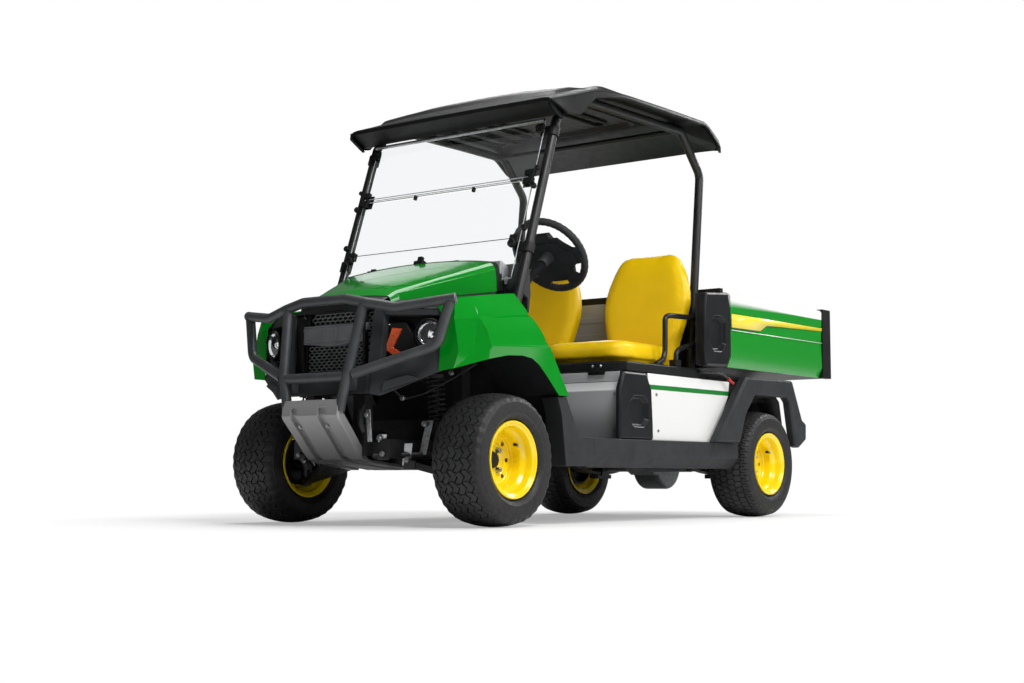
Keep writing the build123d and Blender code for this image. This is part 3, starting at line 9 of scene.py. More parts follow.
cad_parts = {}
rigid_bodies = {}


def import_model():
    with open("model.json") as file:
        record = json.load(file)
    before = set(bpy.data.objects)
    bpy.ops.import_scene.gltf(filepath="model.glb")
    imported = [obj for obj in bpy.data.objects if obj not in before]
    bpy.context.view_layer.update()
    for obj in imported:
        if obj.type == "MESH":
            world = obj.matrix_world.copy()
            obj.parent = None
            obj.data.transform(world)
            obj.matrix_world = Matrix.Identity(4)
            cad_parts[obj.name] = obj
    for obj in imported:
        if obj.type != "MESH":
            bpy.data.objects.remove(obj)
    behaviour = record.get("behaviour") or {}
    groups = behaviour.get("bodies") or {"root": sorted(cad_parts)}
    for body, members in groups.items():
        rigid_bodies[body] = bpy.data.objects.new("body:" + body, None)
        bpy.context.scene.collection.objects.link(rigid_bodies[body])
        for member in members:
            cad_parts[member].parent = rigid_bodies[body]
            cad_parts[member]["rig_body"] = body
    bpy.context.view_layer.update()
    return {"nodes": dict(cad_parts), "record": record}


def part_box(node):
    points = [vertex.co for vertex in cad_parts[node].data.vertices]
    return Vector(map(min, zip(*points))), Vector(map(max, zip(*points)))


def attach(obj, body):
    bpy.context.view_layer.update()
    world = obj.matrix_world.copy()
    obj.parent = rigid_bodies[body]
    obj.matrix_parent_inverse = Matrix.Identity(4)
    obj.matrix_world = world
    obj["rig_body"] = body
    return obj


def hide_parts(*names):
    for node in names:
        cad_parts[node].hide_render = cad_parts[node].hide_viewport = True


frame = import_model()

bl_info = {
    "name": "Utility Vehicle Pieces",
    "version": (1, 0, 0),
    "blender": (4, 5, 0),
    "location": "3D View > Sidebar > Utility Vehicle",
    "description": "Makes the visible pieces of a two-seat utility vehicle over its frame",
    "category": "Object",
}

CHASSIS = "chassis"
MM = 0.001
JOINT = {joint["name"]: joint for joint in frame["record"]["behaviour"]["joints"]}
FRONT_AXLE = Vector(JOINT["front_left_spin"]["pos_m"])
AXLE_Y = FRONT_AXLE.y
HELM = Vector(JOINT["steering_turn"]["pos_m"])
HELM_AXIS = Vector(JOINT["steering_turn"]["axis"]).normalized()


def af(x, y, z):
    """A point given from the front axle's line: x to the left, y rearward, z up, in metres."""
    return Vector((x, AXLE_Y + y, z))


def left(points):
    return [Vector((-p[0], p[1], p[2])) for p in points]


# ---------------------------------------------------------------- building forms
class Form:
    """Points and faces of one piece while it is built up, with the finish number of each face."""

    def __init__(self):
        self.points = []
        self.faces = []
        self.marks = []
        self.shades = None

    def add(self, points, faces, mark=0):
        first = len(self.points)
        self.points += [Vector(p) for p in points]
        self.faces += [tuple(first + i for i in face) for face in faces]
        self.marks += [mark] * len(faces)
        return self

    def grid(self, rows, mark=0, loop=False):
        """Faces between rows of points; loop closes each row on itself."""
        width = len(rows[0])
        faces = []
        for r in range(len(rows) - 1):
            for c in range(width if loop else width - 1):
                d = (c + 1) % width
                faces.append((r * width + c, r * width + d, (r + 1) * width + d, (r + 1) * width + c))
        return self.add([p for row in rows for p in row], faces, mark)

    def tube(self, points, bend, radius, mark=0, sides=20):
        """A round tube along straight runs, with its corners bent round."""
        path = rounded(points, bend)
        rows = []
        across = None
        for i, point in enumerate(path):
            ahead = (path[min(i + 1, len(path) - 1)] - path[max(i - 1, 0)]).normalized()
            if across is None:
                across = ahead.orthogonal().normalized()
            across = (across - ahead * across.dot(ahead)).normalized()
            over = ahead.cross(across)
            turns = [math.tau * k / sides for k in range(sides)]
            rows.append([point + radius * (across * math.cos(t) + over * math.sin(t)) for t in turns])
        self.grid(rows, mark, loop=True)
        self.add(rows[0], [tuple(range(sides))], mark)
        return self.add(rows[-1], [tuple(range(sides))], mark)

    def lathe(self, profile, centre, axis, mark=0, sides=48, loop=True):
        """A turned shape: profile holds (distance along the axis, radius) pairs."""
        centre = Vector(centre)
        axis = Vector(axis).normalized()
        across = axis.orthogonal().normalized()
        over = axis.cross(across)
        rows = []
        for along, radius in profile + profile[:1] if loop else profile:
            ring = []
            for k in range(sides):
                t = math.tau * k / sides
                ring.append(centre + axis * along + radius * (across * math.cos(t) + over * math.sin(t)))
            rows.append(ring)
        return self.grid(rows, mark, loop=True)

    def prism(self, outline, depth, mark=0):
        """A flat outline of 3-D points carried along a depth vector, closed at both ends."""
        near = [Vector(p) for p in outline]
        far = [p + Vector(depth) for p in near]
        count = len(near)
        sides = [(i, (i + 1) % count, count + (i + 1) % count, count + i) for i in range(count)]
        ends = [tuple(range(count)), tuple(range(2 * count - 1, count - 1, -1))]
        return self.add(near + far, sides + ends, mark)

    def block(self, low, high, mark=0):
        """A square-cornered body between two corners."""
        a, b = Vector(low), Vector(high)
        outline = [(a.x, a.y, a.z), (b.x, a.y, a.z), (b.x, b.y, a.z), (a.x, b.y, a.z)]
        return self.prism(outline, (0, 0, b.z - a.z), mark)

    def turned(self, matrix):
        self.points = [matrix @ p for p in self.points]
        return self

    def piece(self, name, finishes, body=CHASSIS, crease=32.0, facing=None, closed=True):
        """The finished object, riding on its body."""
        mesh = bpy.data.meshes.new(name)
        mesh.from_pydata([tuple(p) for p in self.points], [], self.faces)
        for finish in finishes if isinstance(finishes, (list, tuple)) else [finishes]:
            mesh.materials.append(finish)
        mesh.polygons.foreach_set("material_index", self.marks)
        # Per-point share of painted darkening on a tyre: painted shade in the tread's grooves, a darker tone on its
        # walls and beads.
        if self.shades:
            mesh.attributes.new("groove", "FLOAT", "POINT").data.foreach_set("value", self.shades)
        work = bmesh.new()
        work.from_mesh(mesh)
        bmesh.ops.remove_doubles(work, verts=work.verts, dist=1e-5)
        bmesh.ops.dissolve_degenerate(work, edges=work.edges, dist=1e-6)
        if closed:
            bmesh.ops.recalc_face_normals(work, faces=work.faces)
        if facing is not None:
            toward = sum((f.normal.dot(Vector(facing)) * f.calc_area() for f in work.faces), 0.0)
            if toward < 0:
                bmesh.ops.reverse_faces(work, faces=work.faces)
        for face in work.faces:
            face.smooth = True
        work.to_mesh(mesh)
        work.free()
        mesh.set_sharp_from_angle(angle=math.radians(crease))
        piece = bpy.data.objects.new(name, mesh)
        bpy.context.scene.collection.objects.link(piece)
        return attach(piece, body) or piece


def rounded(points, bend):
    """Straight runs with each corner turned at the bend radius, as a list of points."""
    points = [Vector(p) for p in points]
    path = [points[0]]
    for before, corner, after in zip(points, points[1:], points[2:]):
        back = before - corner
        ahead = after - corner
        turn = math.pi - back.angle(ahead)
        if turn < 0.03 or bend <= 0:
            path.append(corner)
            continue
        cut = min(bend * math.tan(turn / 2), 0.48 * back.length, 0.48 * ahead.length)
        radius = cut / math.tan(turn / 2)
        start = corner + back.normalized() * cut
        end = corner + ahead.normalized() * cut
        centre = corner + (back.normalized() + ahead.normalized()).normalized() * radius / math.cos(turn / 2)
        spin = (start - centre).cross(end - centre).normalized()
        steps = max(3, math.ceil(turn / 0.14))
        for k in range(steps + 1):
            path.append(centre + Matrix.Rotation(turn * k / steps, 3, spin) @ (start - centre))
    path.append(points[-1])
    return path


def soften(piece, radius, segments=2, angle=30.0):
    """Rounds the piece's edges, with shading that keeps its flats flat."""
    bevel = piece.modifiers.new("edge_round", "BEVEL")
    bevel.width = radius
    bevel.segments = segments
    bevel.limit_method = "ANGLE"
    bevel.angle_limit = math.radians(angle)
    bevel.harden_normals = True
    bevel.miter_outer = "MITER_ARC"
    return piece


def thicken(piece, gauge, offset=-1.0):
    """Gives a sheet its wall, inwards from its face."""
    wall = piece.modifiers.new("wall", "SOLIDIFY")
    wall.thickness = gauge
    wall.offset = offset
    wall.use_even_offset = True
    return piece


def dress(node, finish, radius, segments=2, crease=32.0, merge_angle=1.5, keep=None):
    """A copy of a frame part with its edges rounded and its shading cleaned, standing for it."""
    source = frame["nodes"][node]
    mesh = source.data.copy()
    mesh.name = node
    work = bmesh.new()
    work.from_mesh(mesh)
    bmesh.ops.remove_doubles(work, verts=work.verts, dist=2e-5)
    if keep is not None:
        gone = [f for f in work.faces if not keep(f.calc_center_median())]
        bmesh.ops.delete(work, geom=gone, context="FACES")
    bmesh.ops.dissolve_limit(
        work, angle_limit=math.radians(merge_angle), verts=work.verts, edges=work.edges, delimit=set()
    )
    for face in work.faces:
        face.smooth = True
        face.material_index = 0
    work.to_mesh(mesh)
    work.free()
    if mesh.has_custom_normals:
        mesh.attributes.remove(mesh.attributes["custom_normal"])
    mesh.materials.clear()
    mesh.materials.append(finish)
    mesh.set_sharp_from_angle(angle=math.radians(crease))
    piece = bpy.data.objects.new(node + "_skin", mesh)
    bpy.context.scene.collection.objects.link(piece)
    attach(piece, source["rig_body"])
    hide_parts(node)
    if radius:
        soften(piece, radius, segments, crease)
    return piece


def stand_for(piece, slot, *nodes):
    """The piece replaces these frame parts, which are hidden; slot is not used."""
    if nodes:
        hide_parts(*nodes)
    return piece


# ---------------------------------------------------------------- node trees
def add_node(tree, kind, settings=None, links=None):
    """A node with its settings; a link's value is another node's socket or a plain value."""
    node = tree.nodes.new(kind)
    for key, value in (settings or {}).items():
        setattr(node, key, value)
    for socket, value in (links or {}).items():
        if isinstance(value, bpy.types.NodeSocket):
            tree.links.new(value, node.inputs[socket])
        else:
            node.inputs[socket].default_value = value
    return node


def new_tree(name, inputs):
    """A geometry tree with a mesh in, a mesh out and the named inputs between."""
    tree = bpy.data.node_groups.new(name, "GeometryNodeTree")
    tree.interface.new_socket("Geometry", in_out="INPUT", socket_type="NodeSocketGeometry")
    tree.interface.new_socket("Geometry", in_out="OUTPUT", socket_type="NodeSocketGeometry")
    for label, kind in inputs.items():
        tree.interface.new_socket(label, in_out="INPUT", socket_type=kind)
    return tree, add_node(tree, "NodeGroupInput")


def end_tree(tree, given, shape):
    """Instances become real faces with their finish."""
    real = add_node(tree, "GeometryNodeRealizeInstances", links={0: shape})
    smooth = add_node(tree, "GeometryNodeSetShadeSmooth", links={0: real.outputs[0], 2: True})
    merged = add_node(tree, "GeometryNodeMergeByDistance", links={0: smooth.outputs[0], "Distance": 2e-5})
    done = add_node(tree, "GeometryNodeSetMaterial", links={0: merged.outputs[0], 2: given.outputs["Finish"]})
    add_node(tree, "NodeGroupOutput", links={0: done.outputs[0]})
    return tree


def run_tree(piece, tree, values, crease=35.0):
    """Runs the tree on the piece with these inputs and leaves its result as a plain mesh."""
    modifier = piece.modifiers.new(tree.name, "NODES")
    modifier.node_group = tree
    for item in tree.interface.items_tree:
        if item.in_out == "INPUT" and item.name in values:
            modifier[item.identifier] = values[item.name]
    bpy.context.view_layer.update()
    seen = piece.evaluated_get(bpy.context.evaluated_depsgraph_get())
    mesh = bpy.data.meshes.new_from_object(seen)
    mesh.name = piece.name
    piece.modifiers.remove(modifier)
    piece.data = mesh
    mesh.set_sharp_from_angle(angle=math.radians(crease))
    return piece


def pitch_tree():
    """Repeats one pitch of a wheel's pattern all the way round its axle."""
    name = "pitch_round_axle"
    if name in bpy.data.node_groups:
        return bpy.data.node_groups[name]
    tree, given = new_tree(name, {
        "Count": "NodeSocketInt", "Axle": "NodeSocketVector", "Finish": "NodeSocketMaterial",
    })
    away = add_node(tree, "ShaderNodeVectorMath", {"operation": "SCALE"}, {0: given.outputs["Axle"], 3: -1.0})
    near = add_node(tree, "GeometryNodeTransform", links={0: given.outputs["Geometry"], "Translation": away.outputs[0]})
    spots = add_node(tree, "GeometryNodePoints", links={0: given.outputs["Count"], 1: given.outputs["Axle"]})
    number = add_node(tree, "GeometryNodeInputIndex")
    share = add_node(tree, "ShaderNodeMath", {"operation": "DIVIDE"}, {0: number.outputs[0], 1: given.outputs["Count"]})
    angle = add_node(tree, "ShaderNodeMath", {"operation": "MULTIPLY"}, {0: share.outputs[0], 1: math.tau})
    turn = add_node(tree, "ShaderNodeCombineXYZ", links={0: angle.outputs[0]})
    placed = add_node(tree, "GeometryNodeInstanceOnPoints", links={
        "Points": spots.outputs[0], "Instance": near.outputs[0], "Rotation": turn.outputs[0],
    })
    return end_tree(tree, given, placed.outputs[0])


def fastener_tree():
    """Puts a hexagon bolt on its washer at every point of a mesh, along the point's normal."""
    name = "hexagon_bolts"
    if name in bpy.data.node_groups:
        return bpy.data.node_groups[name]
    tree, given = new_tree(name, {
        "Across flats": "NodeSocketFloat", "Head height": "NodeSocketFloat", "Washer": "NodeSocketFloat",
        "Finish": "NodeSocketMaterial",
    })
    half = add_node(tree, "ShaderNodeMath", {"operation": "MULTIPLY"}, {0: given.outputs["Across flats"], 1: 0.577})
    head = add_node(tree, "GeometryNodeMeshCone", links={
        "Vertices": 6, "Radius Bottom": half.outputs[0], "Radius Top": half.outputs[0],
        "Depth": given.outputs["Head height"],
    })
    tip = add_node(tree, "ShaderNodeMath", {"operation": "MULTIPLY"}, {0: half.outputs[0], 1: 0.84})
    crown_h = add_node(tree, "ShaderNodeMath", {"operation": "MULTIPLY"}, {0: half.outputs[0], 1: 0.16})
    crown = add_node(tree, "GeometryNodeMeshCone", links={
        "Vertices": 6, "Radius Bottom": half.outputs[0], "Radius Top": tip.outputs[0], "Depth": crown_h.outputs[0],
    })
    crown_z = add_node(tree, "ShaderNodeCombineXYZ", links={2: given.outputs["Head height"]})
    crown_up = add_node(tree, "GeometryNodeTransform", links={
        0: crown.outputs[0], "Translation": crown_z.outputs[0],
    })
    ring_h = add_node(tree, "ShaderNodeMath", {"operation": "MULTIPLY"}, {0: given.outputs["Head height"], 1: 0.3})
    ring = add_node(tree, "GeometryNodeMeshCone", links={
        "Vertices": 18, "Radius Bottom": given.outputs["Washer"], "Radius Top": given.outputs["Washer"],
        "Depth": ring_h.outputs[0],
    })
    bolt = add_node(tree, "GeometryNodeJoinGeometry")
    for part in (head, crown_up, ring):
        tree.links.new(part.outputs[0], bolt.inputs[0])
    facing = add_node(tree, "GeometryNodeInputNamedAttribute", {"data_type": "FLOAT_VECTOR"}, {0: "facing"})
    turn = add_node(tree, "FunctionNodeAlignRotationToVector", {"axis": "Z"}, {2: facing.outputs[0]})
    spots = add_node(tree, "GeometryNodeMeshToPoints", links={0: given.outputs["Geometry"]})
    placed = add_node(tree, "GeometryNodeInstanceOnPoints", links={
        "Points": spots.outputs[0], "Instance": bolt.outputs[0], "Rotation": turn.outputs[0],
    })
    return end_tree(tree, given, placed.outputs[0])


def bolts(name, spots, across, height_share, finish="steel", body=CHASSIS):
    """Bolts at spots of (point, facing); the height is a share of the width across flats."""
    mesh = bpy.data.meshes.new(name)
    mesh.from_pydata([tuple(point) for point, facing in spots], [], [])
    facing = mesh.attributes.new("facing", "FLOAT_VECTOR", "POINT")
    for i, (point, way) in enumerate(spots):
        facing.data[i].vector = Vector(way)
    mesh.materials.append(FINISH[finish])
    piece = bpy.data.objects.new(name, mesh)
    bpy.context.scene.collection.objects.link(piece)
    run_tree(piece, fastener_tree(), {
        "Across flats": across, "Head height": across * height_share, "Washer": across * 0.85, "Finish": FINISH[finish],
    })
    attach(piece, body)
    return piece


# ---------------------------------------------------------------- finishes
def linear(code):
    """A hex sRGB colour as the linear numbers that the shaders take; a sidebar colour is linear already."""
    if not isinstance(code, str):
        return (*code, 1.0)
    parts = [int(code[i:i + 2], 16) / 255 for i in (1, 3, 5)]
    return (*[p / 12.92 if p <= 0.04045 else ((p + 0.055) / 1.055) ** 2.4 for p in parts], 1.0)


def start_finish(name, roughness, metallic=0.0):
    """An empty finish: its tree, its shader and the place on the object that its patterns read."""
    finish = bpy.data.materials.new(name)
    finish.use_nodes = True
    tree = finish.node_tree
    tree.nodes.clear()
    shader = add_node(tree, "ShaderNodeBsdfPrincipled", links={"Roughness": roughness, "Metallic": metallic})
    add_node(tree, "ShaderNodeOutputMaterial", links={"Surface": shader.outputs[0]})
    place = add_node(tree, "ShaderNodeTexCoord").outputs["Object"]
    return finish, tree, shader, place


def shade_between(tree, shader, place, dark, light, patch_mm, detail=3.0):
    """Base colour drifting between two near shades over patches of this size."""
    drift = add_node(tree, "ShaderNodeTexNoise", links={
        "Vector": place, "Scale": 1 / (patch_mm * MM), "Detail": detail,
    })
    span = add_node(tree, "ShaderNodeMapRange", links={
        "Value": drift.outputs["Fac"], "From Min": 0.3, "From Max": 0.7,
    })
    colour = add_node(tree, "ShaderNodeMix", {"data_type": "RGBA"}, {
        "Factor": span.outputs[0], 6: linear(dark), 7: linear(light),
    })
    tree.links.new(colour.outputs[2], shader.inputs["Base Color"])
    return colour.outputs[2]


def gloss_between(tree, shader, place, low, high, patch_mm):
    """Roughness drifting between two values, so that a reflection is never quite even."""
    drift = add_node(tree, "ShaderNodeTexNoise", links={"Vector": place, "Scale": 1 / (patch_mm * MM), "Detail": 4.0})
    span = add_node(tree, "ShaderNodeMapRange", links={
        "Value": drift.outputs["Fac"], "From Min": 0.3, "From Max": 0.7, "To Min": low, "To Max": high,
    })
    tree.links.new(span.outputs[0], shader.inputs["Roughness"])


def raise_by(tree, shader, height, depth_mm, strength=1.0, under=None):
    """Bumps the surface by a pattern's height."""
    bump = add_node(tree, "ShaderNodeBump", links={
        "Height": height, "Distance": depth_mm * MM, "Strength": strength,
    })
    if under is not None:
        tree.links.new(under, bump.inputs["Normal"])
    tree.links.new(bump.outputs[0], shader.inputs["Normal"])
    return bump.outputs[0]


def painted_plastic(name, dark, light):
    """Colour-moulded TPO panels under clear lacquer: deep even colour, sharp highlights, a faint orange peel."""
    finish, tree, shader, place = start_finish(name, 0.3)
    shade_between(tree, shader, place, dark, light, 260)
    gloss_between(tree, shader, place, 0.11, 0.14, 110)
    shader.inputs["IOR"].default_value = 1.5
    shader.inputs["Specular IOR Level"].default_value = 0.4
    shader.inputs["Coat Weight"].default_value = 0.2
    shader.inputs["Coat Roughness"].default_value = 0.05
    peel = add_node(tree, "ShaderNodeTexNoise", links={"Vector": place, "Scale": 1 / (6 * MM), "Detail": 1.0})
    raise_by(tree, shader, peel.outputs["Fac"], 0.03)
    return finish


def grained_polypropylene(name, dark, light, low=0.5, high=0.62, grain_mm=1.4, depth_mm=0.05):
    """Injection-moulded polypropylene with a spark-eroded grain: broad soft sheen, no sharp reflection."""
    finish, tree, shader, place = start_finish(name, 0.55)
    shade_between(tree, shader, place, dark, light, 90)
    gloss_between(tree, shader, place, low, high, 40)
    shader.inputs["IOR"].default_value = 1.49
    shader.inputs["Specular IOR Level"].default_value = 0.26
    grain = add_node(tree, "ShaderNodeTexVoronoi", {"feature": "SMOOTH_F1"}, {
        "Vector": place, "Scale": 1 / (grain_mm * MM), "Smoothness": 0.6,
    })
    raise_by(tree, shader, grain.outputs["Distance"], depth_mm)
    return finish


def powder_coat(name, dark, light, low=0.38, high=0.5):
    """Baked polyester powder on steel tube: satin black with a fine ripple, a little brighter in random patches."""
    finish, tree, shader, place = start_finish(name, 0.42)
    shade_between(tree, shader, place, dark, light, 50)
    gloss_between(tree, shader, place, low, high, 25)
    ripple = add_node(tree, "ShaderNodeTexNoise", links={"Vector": place, "Scale": 1 / (2.2 * MM), "Detail": 2.0})
    raise_by(tree, shader, ripple.outputs["Fac"], 0.05)
    return finish


def tyre_rubber():
    """Carbon-filled tyre rubber: near black, dull on the tread, a soft sheen and fine scuffs on the walls."""
    finish, tree, shader, place = start_finish("tyre_rubber", 0.6)
    worn = shade_between(tree, shader, place, "#1c1c1d", "#2a2b2b", 45)
    # Painted shade: the groove floors are mixed toward near black for the shade that falls in them. The walls and beads
    # are drawn darker than the rib tops as well.
    sunk = add_node(tree, "ShaderNodeAttribute", {"attribute_type": "GEOMETRY", "attribute_name": "groove"})
    depth = add_node(tree, "ShaderNodeMapRange", links={"Value": sunk.outputs["Fac"], "From Max": 0.6})
    colour = add_node(tree, "ShaderNodeMix", {"data_type": "RGBA"}, {
        "Factor": depth.outputs[0], 6: worn, 7: linear("#050505"),
    })
    tree.links.new(colour.outputs[2], shader.inputs["Base Color"])
    gloss_between(tree, shader, place, 0.48, 0.68, 18)
    shader.inputs["IOR"].default_value = 1.52
    scuff = add_node(tree, "ShaderNodeTexNoise", links={"Vector": place, "Scale": 1 / (1.5 * MM), "Detail": 3.0})
    raise_by(tree, shader, scuff.outputs["Fac"], 0.08)
    return finish


def wheel_enamel(colour):
    """Baked yellow enamel on a pressed steel wheel: bright, smooth, with a thin clear gloss."""
    finish, tree, shader, place = start_finish("baked_yellow_enamel", 0.28)
    shade_between(tree, shader, place, deeper(colour, 0.94), colour, 80)
    gloss_between(tree, shader, place, 0.2, 0.3, 30)
    shader.inputs["Coat Weight"].default_value = 0.5
    shader.inputs["Coat Roughness"].default_value = 0.1
    peel = add_node(tree, "ShaderNodeTexNoise", links={"Vector": place, "Scale": 1 / (5 * MM), "Detail": 1.0})
    raise_by(tree, shader, peel.outputs["Fac"], 0.04)
    return finish


def seat_vinyl(colour):
    """Expanded vinyl over foam: bright yellow, a pebble leather grain about 2 mm across, soft broad sheen."""
    finish, tree, shader, place = start_finish("seat_vinyl", 0.46)
    shade_between(tree, shader, place, deeper(colour, 0.93), colour, 120)
    gloss_between(tree, shader, place, 0.4, 0.5, 60)
    shader.inputs["IOR"].default_value = 1.5
    shader.inputs["Specular IOR Level"].default_value = 0.4
    pebble = add_node(tree, "ShaderNodeTexVoronoi", {"feature": "SMOOTH_F1"}, {
        "Vector": place, "Scale": 1 / (2.0 * MM), "Smoothness": 0.8,
    })
    crease = add_node(tree, "ShaderNodeTexNoise", links={"Vector": place, "Scale": 1 / (70 * MM), "Detail": 2.0})
    low = raise_by(tree, shader, crease.outputs["Fac"], 2.0, 0.4)
    raise_by(tree, shader, pebble.outputs["Distance"], 0.12, 1.0, low)
    return finish


def banded_abs(name, bands, roughness=0.3, blends=(0.4,), soft_end=None):
    """Gloss ABS sheet with bands of colour at fixed heights: print on some pieces, painted light and shade on the
    silver one. bands holds (height from, colour) from low to high.

    blends gives the half width of each band's edge in millimetres; soft_end gives two places along the vehicle,
    from the front axle's line, between which a soft edge sharpens.
    """
    finish, tree, shader, place = start_finish(name, roughness)
    spot = add_node(tree, "ShaderNodeSeparateXYZ", links={0: place})
    height = spot.outputs["Z"]
    colour = linear(bands[0][1])
    for k, (start, code) in enumerate(bands[1:]):
        half = blends[min(k, len(blends) - 1)] * MM
        if soft_end:
            wide = add_node(tree, "ShaderNodeMapRange", links={
                "Value": spot.outputs["Y"], "From Min": AXLE_Y + soft_end[0], "From Max": AXLE_Y + soft_end[1],
                "To Min": half, "To Max": half * 0.08,
            })
            above = add_node(tree, "ShaderNodeMath", {"operation": "SUBTRACT"}, {0: height, 1: start})
            share = add_node(tree, "ShaderNodeMath", {"operation": "DIVIDE"}, {0: above.outputs[0], 1: wide.outputs[0]})
            edge = add_node(tree, "ShaderNodeMapRange", links={"Value": share.outputs[0], "From Min": -1.0,
                                                               "From Max": 1.0})
        else:
            edge = add_node(tree, "ShaderNodeMapRange", links={
                "Value": height, "From Min": start - half, "From Max": start + half,
            })
        edge.interpolation_type = "SMOOTHSTEP"
        layer = add_node(tree, "ShaderNodeMix", {"data_type": "RGBA"}, {
            "Factor": edge.outputs[0], 6: colour, 7: linear(code),
        })
        colour = layer.outputs[2]
    if isinstance(colour, bpy.types.NodeSocket):
        tree.links.new(colour, shader.inputs["Base Color"])
    gloss_between(tree, shader, place, roughness - 0.02, roughness + 0.02, 70)
    shader.inputs["Coat Weight"].default_value = 0.3
    shader.inputs["Coat Roughness"].default_value = 0.08
    ripple = add_node(tree, "ShaderNodeTexNoise", links={"Vector": place, "Scale": 1 / (9 * MM), "Detail": 1.0})
    raise_by(tree, shader, ripple.outputs["Fac"], 0.012)
    return finish


def bare_metal(name, dark, light, low=0.25, high=0.4, grain_mm=0.8):
    """Machined or zinc-plated steel: grey, with fine tool marks that break up its reflections."""
    finish, tree, shader, place = start_finish(name, 0.32, 1.0)
    shade_between(tree, shader, place, dark, light, 15)
    gloss_between(tree, shader, place, low, high, 6)
    marks = add_node(tree, "ShaderNodeTexNoise", links={"Vector": place, "Scale": 1 / (grain_mm * MM), "Detail": 4.0})
    raise_by(tree, shader, marks.outputs["Fac"], 0.04)
    return finish


def skid_metal():
    """Rolled aluminium sheet under grey paint: satin, with faint lengthwise rolling lines."""
    finish, tree, shader, place = start_finish("painted_aluminium_sheet", 0.36, 0.3)
    # The grey is painted lighter towards the top, from 0.25 m to 0.45 m up: a painted highlight on the upper band and
    # painted shade lower down, standing in for how the light falls.
    height = add_node(tree, "ShaderNodeSeparateXYZ", links={0: place}).outputs["Z"]
    rise = add_node(tree, "ShaderNodeMapRange", links={"Value": height, "From Min": 0.25, "From Max": 0.45})
    colour = add_node(tree, "ShaderNodeMix", {"data_type": "RGBA"}, {
        "Factor": rise.outputs[0], 6: linear("#5e5e5e"), 7: linear("#a4a4a4"),
    })
    tree.links.new(colour.outputs[2], shader.inputs["Base Color"])
    gloss_between(tree, shader, place, 0.3, 0.42, 20)
    stretch = add_node(tree, "ShaderNodeMapping", {"vector_type": "POINT"}, {"Vector": place, "Scale": (1, 0.04, 0.04)})
    lines = add_node(tree, "ShaderNodeTexNoise", links={
        "Vector": stretch.outputs[0], "Scale": 1 / (1.2 * MM), "Detail": 3.0,
    })
    raise_by(tree, shader, lines.outputs["Fac"], 0.03)
    return finish


def clear_polycarbonate():
    """Hard-coated polycarbonate sheet: water clear, sharp reflections, a faint grey in its thickness."""
    finish, tree, shader, place = start_finish("clear_polycarbonate", 0.02)
    shader.inputs["Base Color"].default_value = linear("#f7f9fa")
    shader.inputs["Transmission Weight"].default_value = 1.0
    shader.inputs["IOR"].default_value = 1.3
    haze = add_node(tree, "ShaderNodeTexNoise", links={"Vector": place, "Scale": 1 / (120 * MM), "Detail": 2.0})
    span = add_node(tree, "ShaderNodeMapRange", links={"Value": haze.outputs["Fac"], "To Min": 0.0, "To Max": 0.04})
    tree.links.new(span.outputs[0], shader.inputs["Roughness"])
    return finish


def amber_lens():
    """Amber acrylic turn lens with moulded ribs 2 mm apart that catch the light in rows."""
    finish, tree, shader, place = start_finish("amber_acrylic", 0.12)
    shade_between(tree, shader, place, "#d8400a", "#f0641a", 12)
    shader.inputs["Coat Weight"].default_value = 0.8
    ribs = add_node(tree, "ShaderNodeTexWave", {"bands_direction": "Z"}, {"Vector": place, "Scale": 60.0})
    raise_by(tree, shader, ribs.outputs["Fac"], 0.6)
    return finish


def rubber_grip():
    """Dip-moulded red vinyl grip: soft, slightly dusty sheen."""
    finish, tree, shader, place = start_finish("dipped_red_vinyl", 0.45)
    shade_between(tree, shader, place, "#a01a14", "#b8231a", 20)
    gloss_between(tree, shader, place, 0.4, 0.52, 8)
    return finish


FINISH = {}


def deeper(colour, share):
    """The sidebar's colour, a little darker."""
    return [part * share for part in colour]


